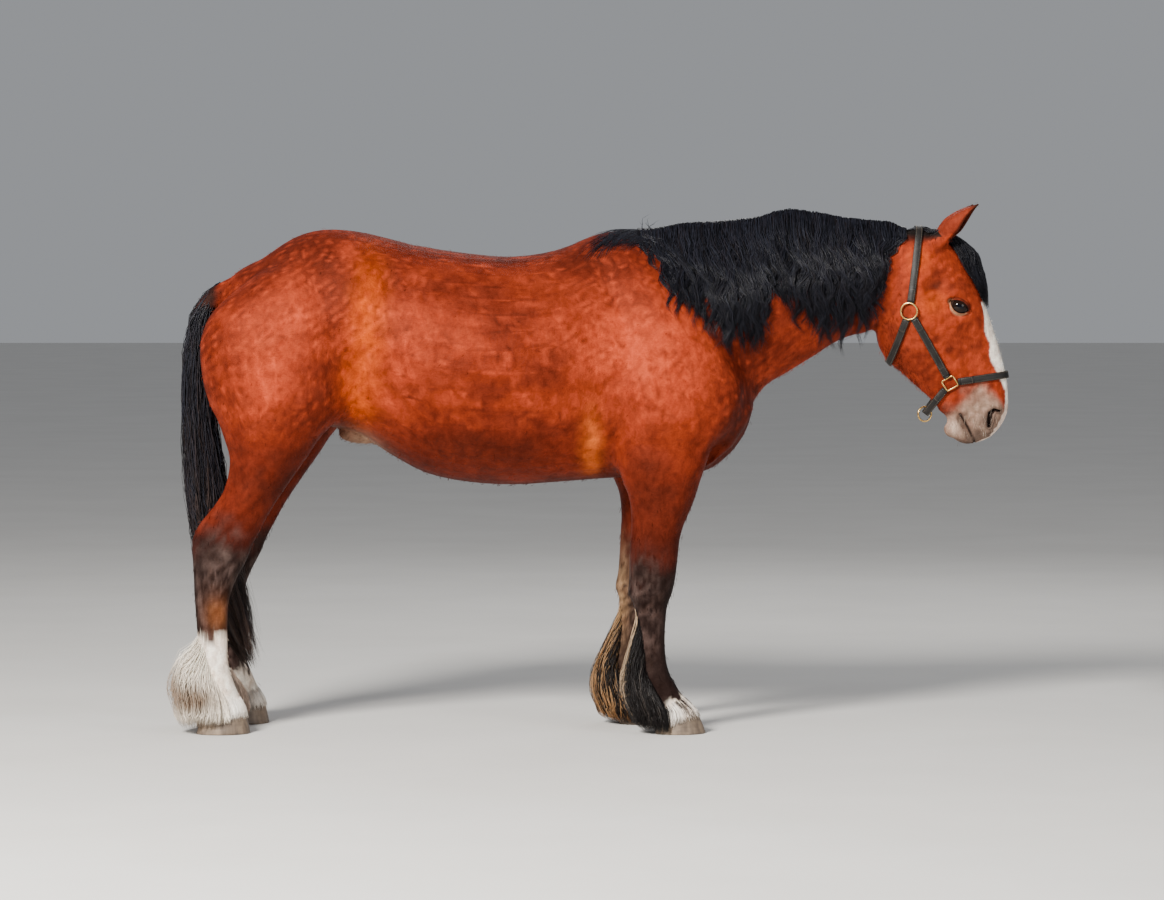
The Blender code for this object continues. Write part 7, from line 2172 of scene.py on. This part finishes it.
def horn_look():
    look, shader = new_look("hoof_horn", 0.55)
    streaks = grain(look, 38, (1.0, 1.0, 0.10), detail=4)
    rings = grain(look, 60, (0.12, 0.12, 1.0), detail=2)
    dirt = grain(look, 14, detail=5)
    horn = ((0.25, (0.050, 0.036, 0.026)), (0.5, (0.120, 0.085, 0.060)), (0.8, (0.240, 0.175, 0.120)))
    tone = ramp(look, streaks, *horn)
    banded = ramp(look, rings, (0.35, (0.6, 0.6, 0.6)), (0.65, (1.2, 1.2, 1.2)))
    ringed = blend(look, "MULTIPLY", 0.5, tone, banded)
    dusty = ramp(look, dirt, (0.48, (0, 0, 0)), (0.66, (0.55, 0.55, 0.55)))
    coloured(look, shader, blend(look, "MIX", dusty, ringed, (*DUST, 1)))
    varied_roughness(look, shader, dirt, 0.45, 0.75)
    bump(look, shader, (rings, 0.0012), (streaks, 0.0006))
    return look


def leather_look():
    look, shader = new_look("strap_leather", 0.5, Specular_IOR_Level=0.26)
    pores = grain(look, 900, detail=3)
    wear = grain(look, 26, detail=5)
    hide = ((0.35, (0.0055, 0.0052, 0.0048)), (0.60, (0.012, 0.010, 0.009)), (0.80, (0.045, 0.034, 0.028)))
    coloured(look, shader, ramp(look, wear, *hide))
    varied_roughness(look, shader, wear, 0.36, 0.60)
    bump(look, shader, (pores, 0.00035), (wear, 0.0005))
    return look


def thread_look():
    look, shader = new_look("seam_thread", 0.7)
    fuzz = grain(look, 500, detail=2)
    coloured(look, shader, ramp(look, fuzz, (0.3, (0.10, 0.075, 0.05)), (0.7, (0.26, 0.20, 0.14))))
    return look


def brass_look():
    look, shader = new_look("brass", 0.3, Metallic=1.0)
    tarnish = grain(look, 120, detail=5)
    scratch = grain(look, 600, (1.0, 1.0, 0.2), detail=2)
    metal = ((0.35, (0.30, 0.17, 0.05)), (0.55, (0.72, 0.46, 0.16)), (0.8, (0.88, 0.62, 0.26)))
    coloured(look, shader, ramp(look, tarnish, *metal))
    varied_roughness(look, shader, tarnish, 0.42, 0.18)
    bump(look, shader, (scratch, 0.0001))
    return look


def floor_look():
    look, shader = new_look("floor", 0.9)
    fine = grain(look, 1.3, detail=3)
    coloured(look, shader, ramp(look, fine, (0.3, (0.62, 0.605, 0.58)), (0.7, (0.66, 0.645, 0.62))))
    return look


# The stage


FRAME = (1164, 900)          # the photograph's own size
HORIZON = 243                # the row of the horizon in it
FOCUS = 4650                 # its focal length in its own pixels
SENSOR = 36
CAMERA_AT = (-0.035, -15.5, 1.62)
SKY = (0.86, 0.89, 0.94, 1)
SKY_STRENGTH = 0.36
LIGHTS = [                   # name, place, aim, size across, watts and colour
    ("key", (-4.0, -7.4, 5.8), (0, 0, 1.0), 2.4, 2350, (1.0, 0.965, 0.91)),
    ("fill", (6.0, -6.0, 2.8), (0.4, 0, 1.1), 4.0, 210, (1, 1, 1)),
    ("back", (1.5, 6.0, 5.0), (0, 0, 1.1), 4.0, 110, (1, 1, 1)),
]


def camera():
    """The photograph's view: square to the horse's right side, at the height of its withers."""
    data = bpy.data.cameras.new("camera")
    data.sensor_width = SENSOR
    data.lens = SENSOR * FOCUS / FRAME[0]
    data.clip_end = 200
    made = bpy.data.objects.new("camera", data)
    made.location = CAMERA_AT
    made.rotation_euler = (math.radians(90) - math.atan((FRAME[1] / 2 - HORIZON) / FOCUS), 0, 0)
    bpy.context.scene.collection.objects.link(made)
    bpy.context.scene.camera = made


def area_light(name, place, aim, size, power, colour):
    data = bpy.data.lights.new(name, "AREA")
    data.shape = "DISK"
    data.size = size
    data.energy = power
    data.color = colour
    made = bpy.data.objects.new(name, data)
    made.location = place
    made.rotation_euler = (Vector(aim) - Vector(place)).to_track_quat("-Z", "Y").to_euler()
    bpy.context.scene.collection.objects.link(made)


def stage():
    shape = bmesh.new()
    bmesh.ops.create_grid(shape, x_segments=2, y_segments=2, size=60)
    floor = bpy.data.objects.new("floor", mesh_of(shape, "floor"))
    floor.data.materials.append(floor_look())
    bpy.context.scene.collection.objects.link(floor)
    world = bpy.data.worlds.new("studio")
    world.use_nodes = True
    sky = world.node_tree.nodes["Background"]
    sky.inputs["Color"].default_value = SKY
    sky.inputs["Strength"].default_value = SKY_STRENGTH
    bpy.context.scene.world = world
    for light in LIGHTS:
        area_light(*light)


def main():
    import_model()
    camera()
    stage()
    rng = np.random.RandomState(SEED)
    coat = coat_look()
    long_hair = hair_look()
    mesh = build_skin()
    tint = coat_tint(points_of(mesh))
    mesh = with_modifier(mesh, "TRIANGULATE")
    unwrap(mesh)
    paint(mesh, tint)
    for polygon in mesh.polygons:
        polygon.use_smooth = True
    skin = Skin(mesh.copy())
    legs = ["leg_" + leg_word(front, side) for front in (True, False) for side in (RIGHT, LEFT)]
    piece("skin", mesh, coat, ("head", "neck", "torso", "tail", "ear_right", "ear_left", *legs))
    mane(skin, long_hair, rng)
    withers_hair(skin, long_hair, rng)
    forelock(skin, long_hair, rng)
    tail(skin, long_hair, rng)
    eyes = eye_look()
    horn = horn_look()
    for side in (RIGHT, LEFT):
        eyeball(side, eyes)
        for front in (True, False):
            feather(skin, hoof(front, side, horn), long_hair, rng, front, side)
    edge_fur(skin, coat, rng)
    whiskers(skin, coat, rng)
    headcollar(skin, leather_look(), thread_look(), brass_look())


main()
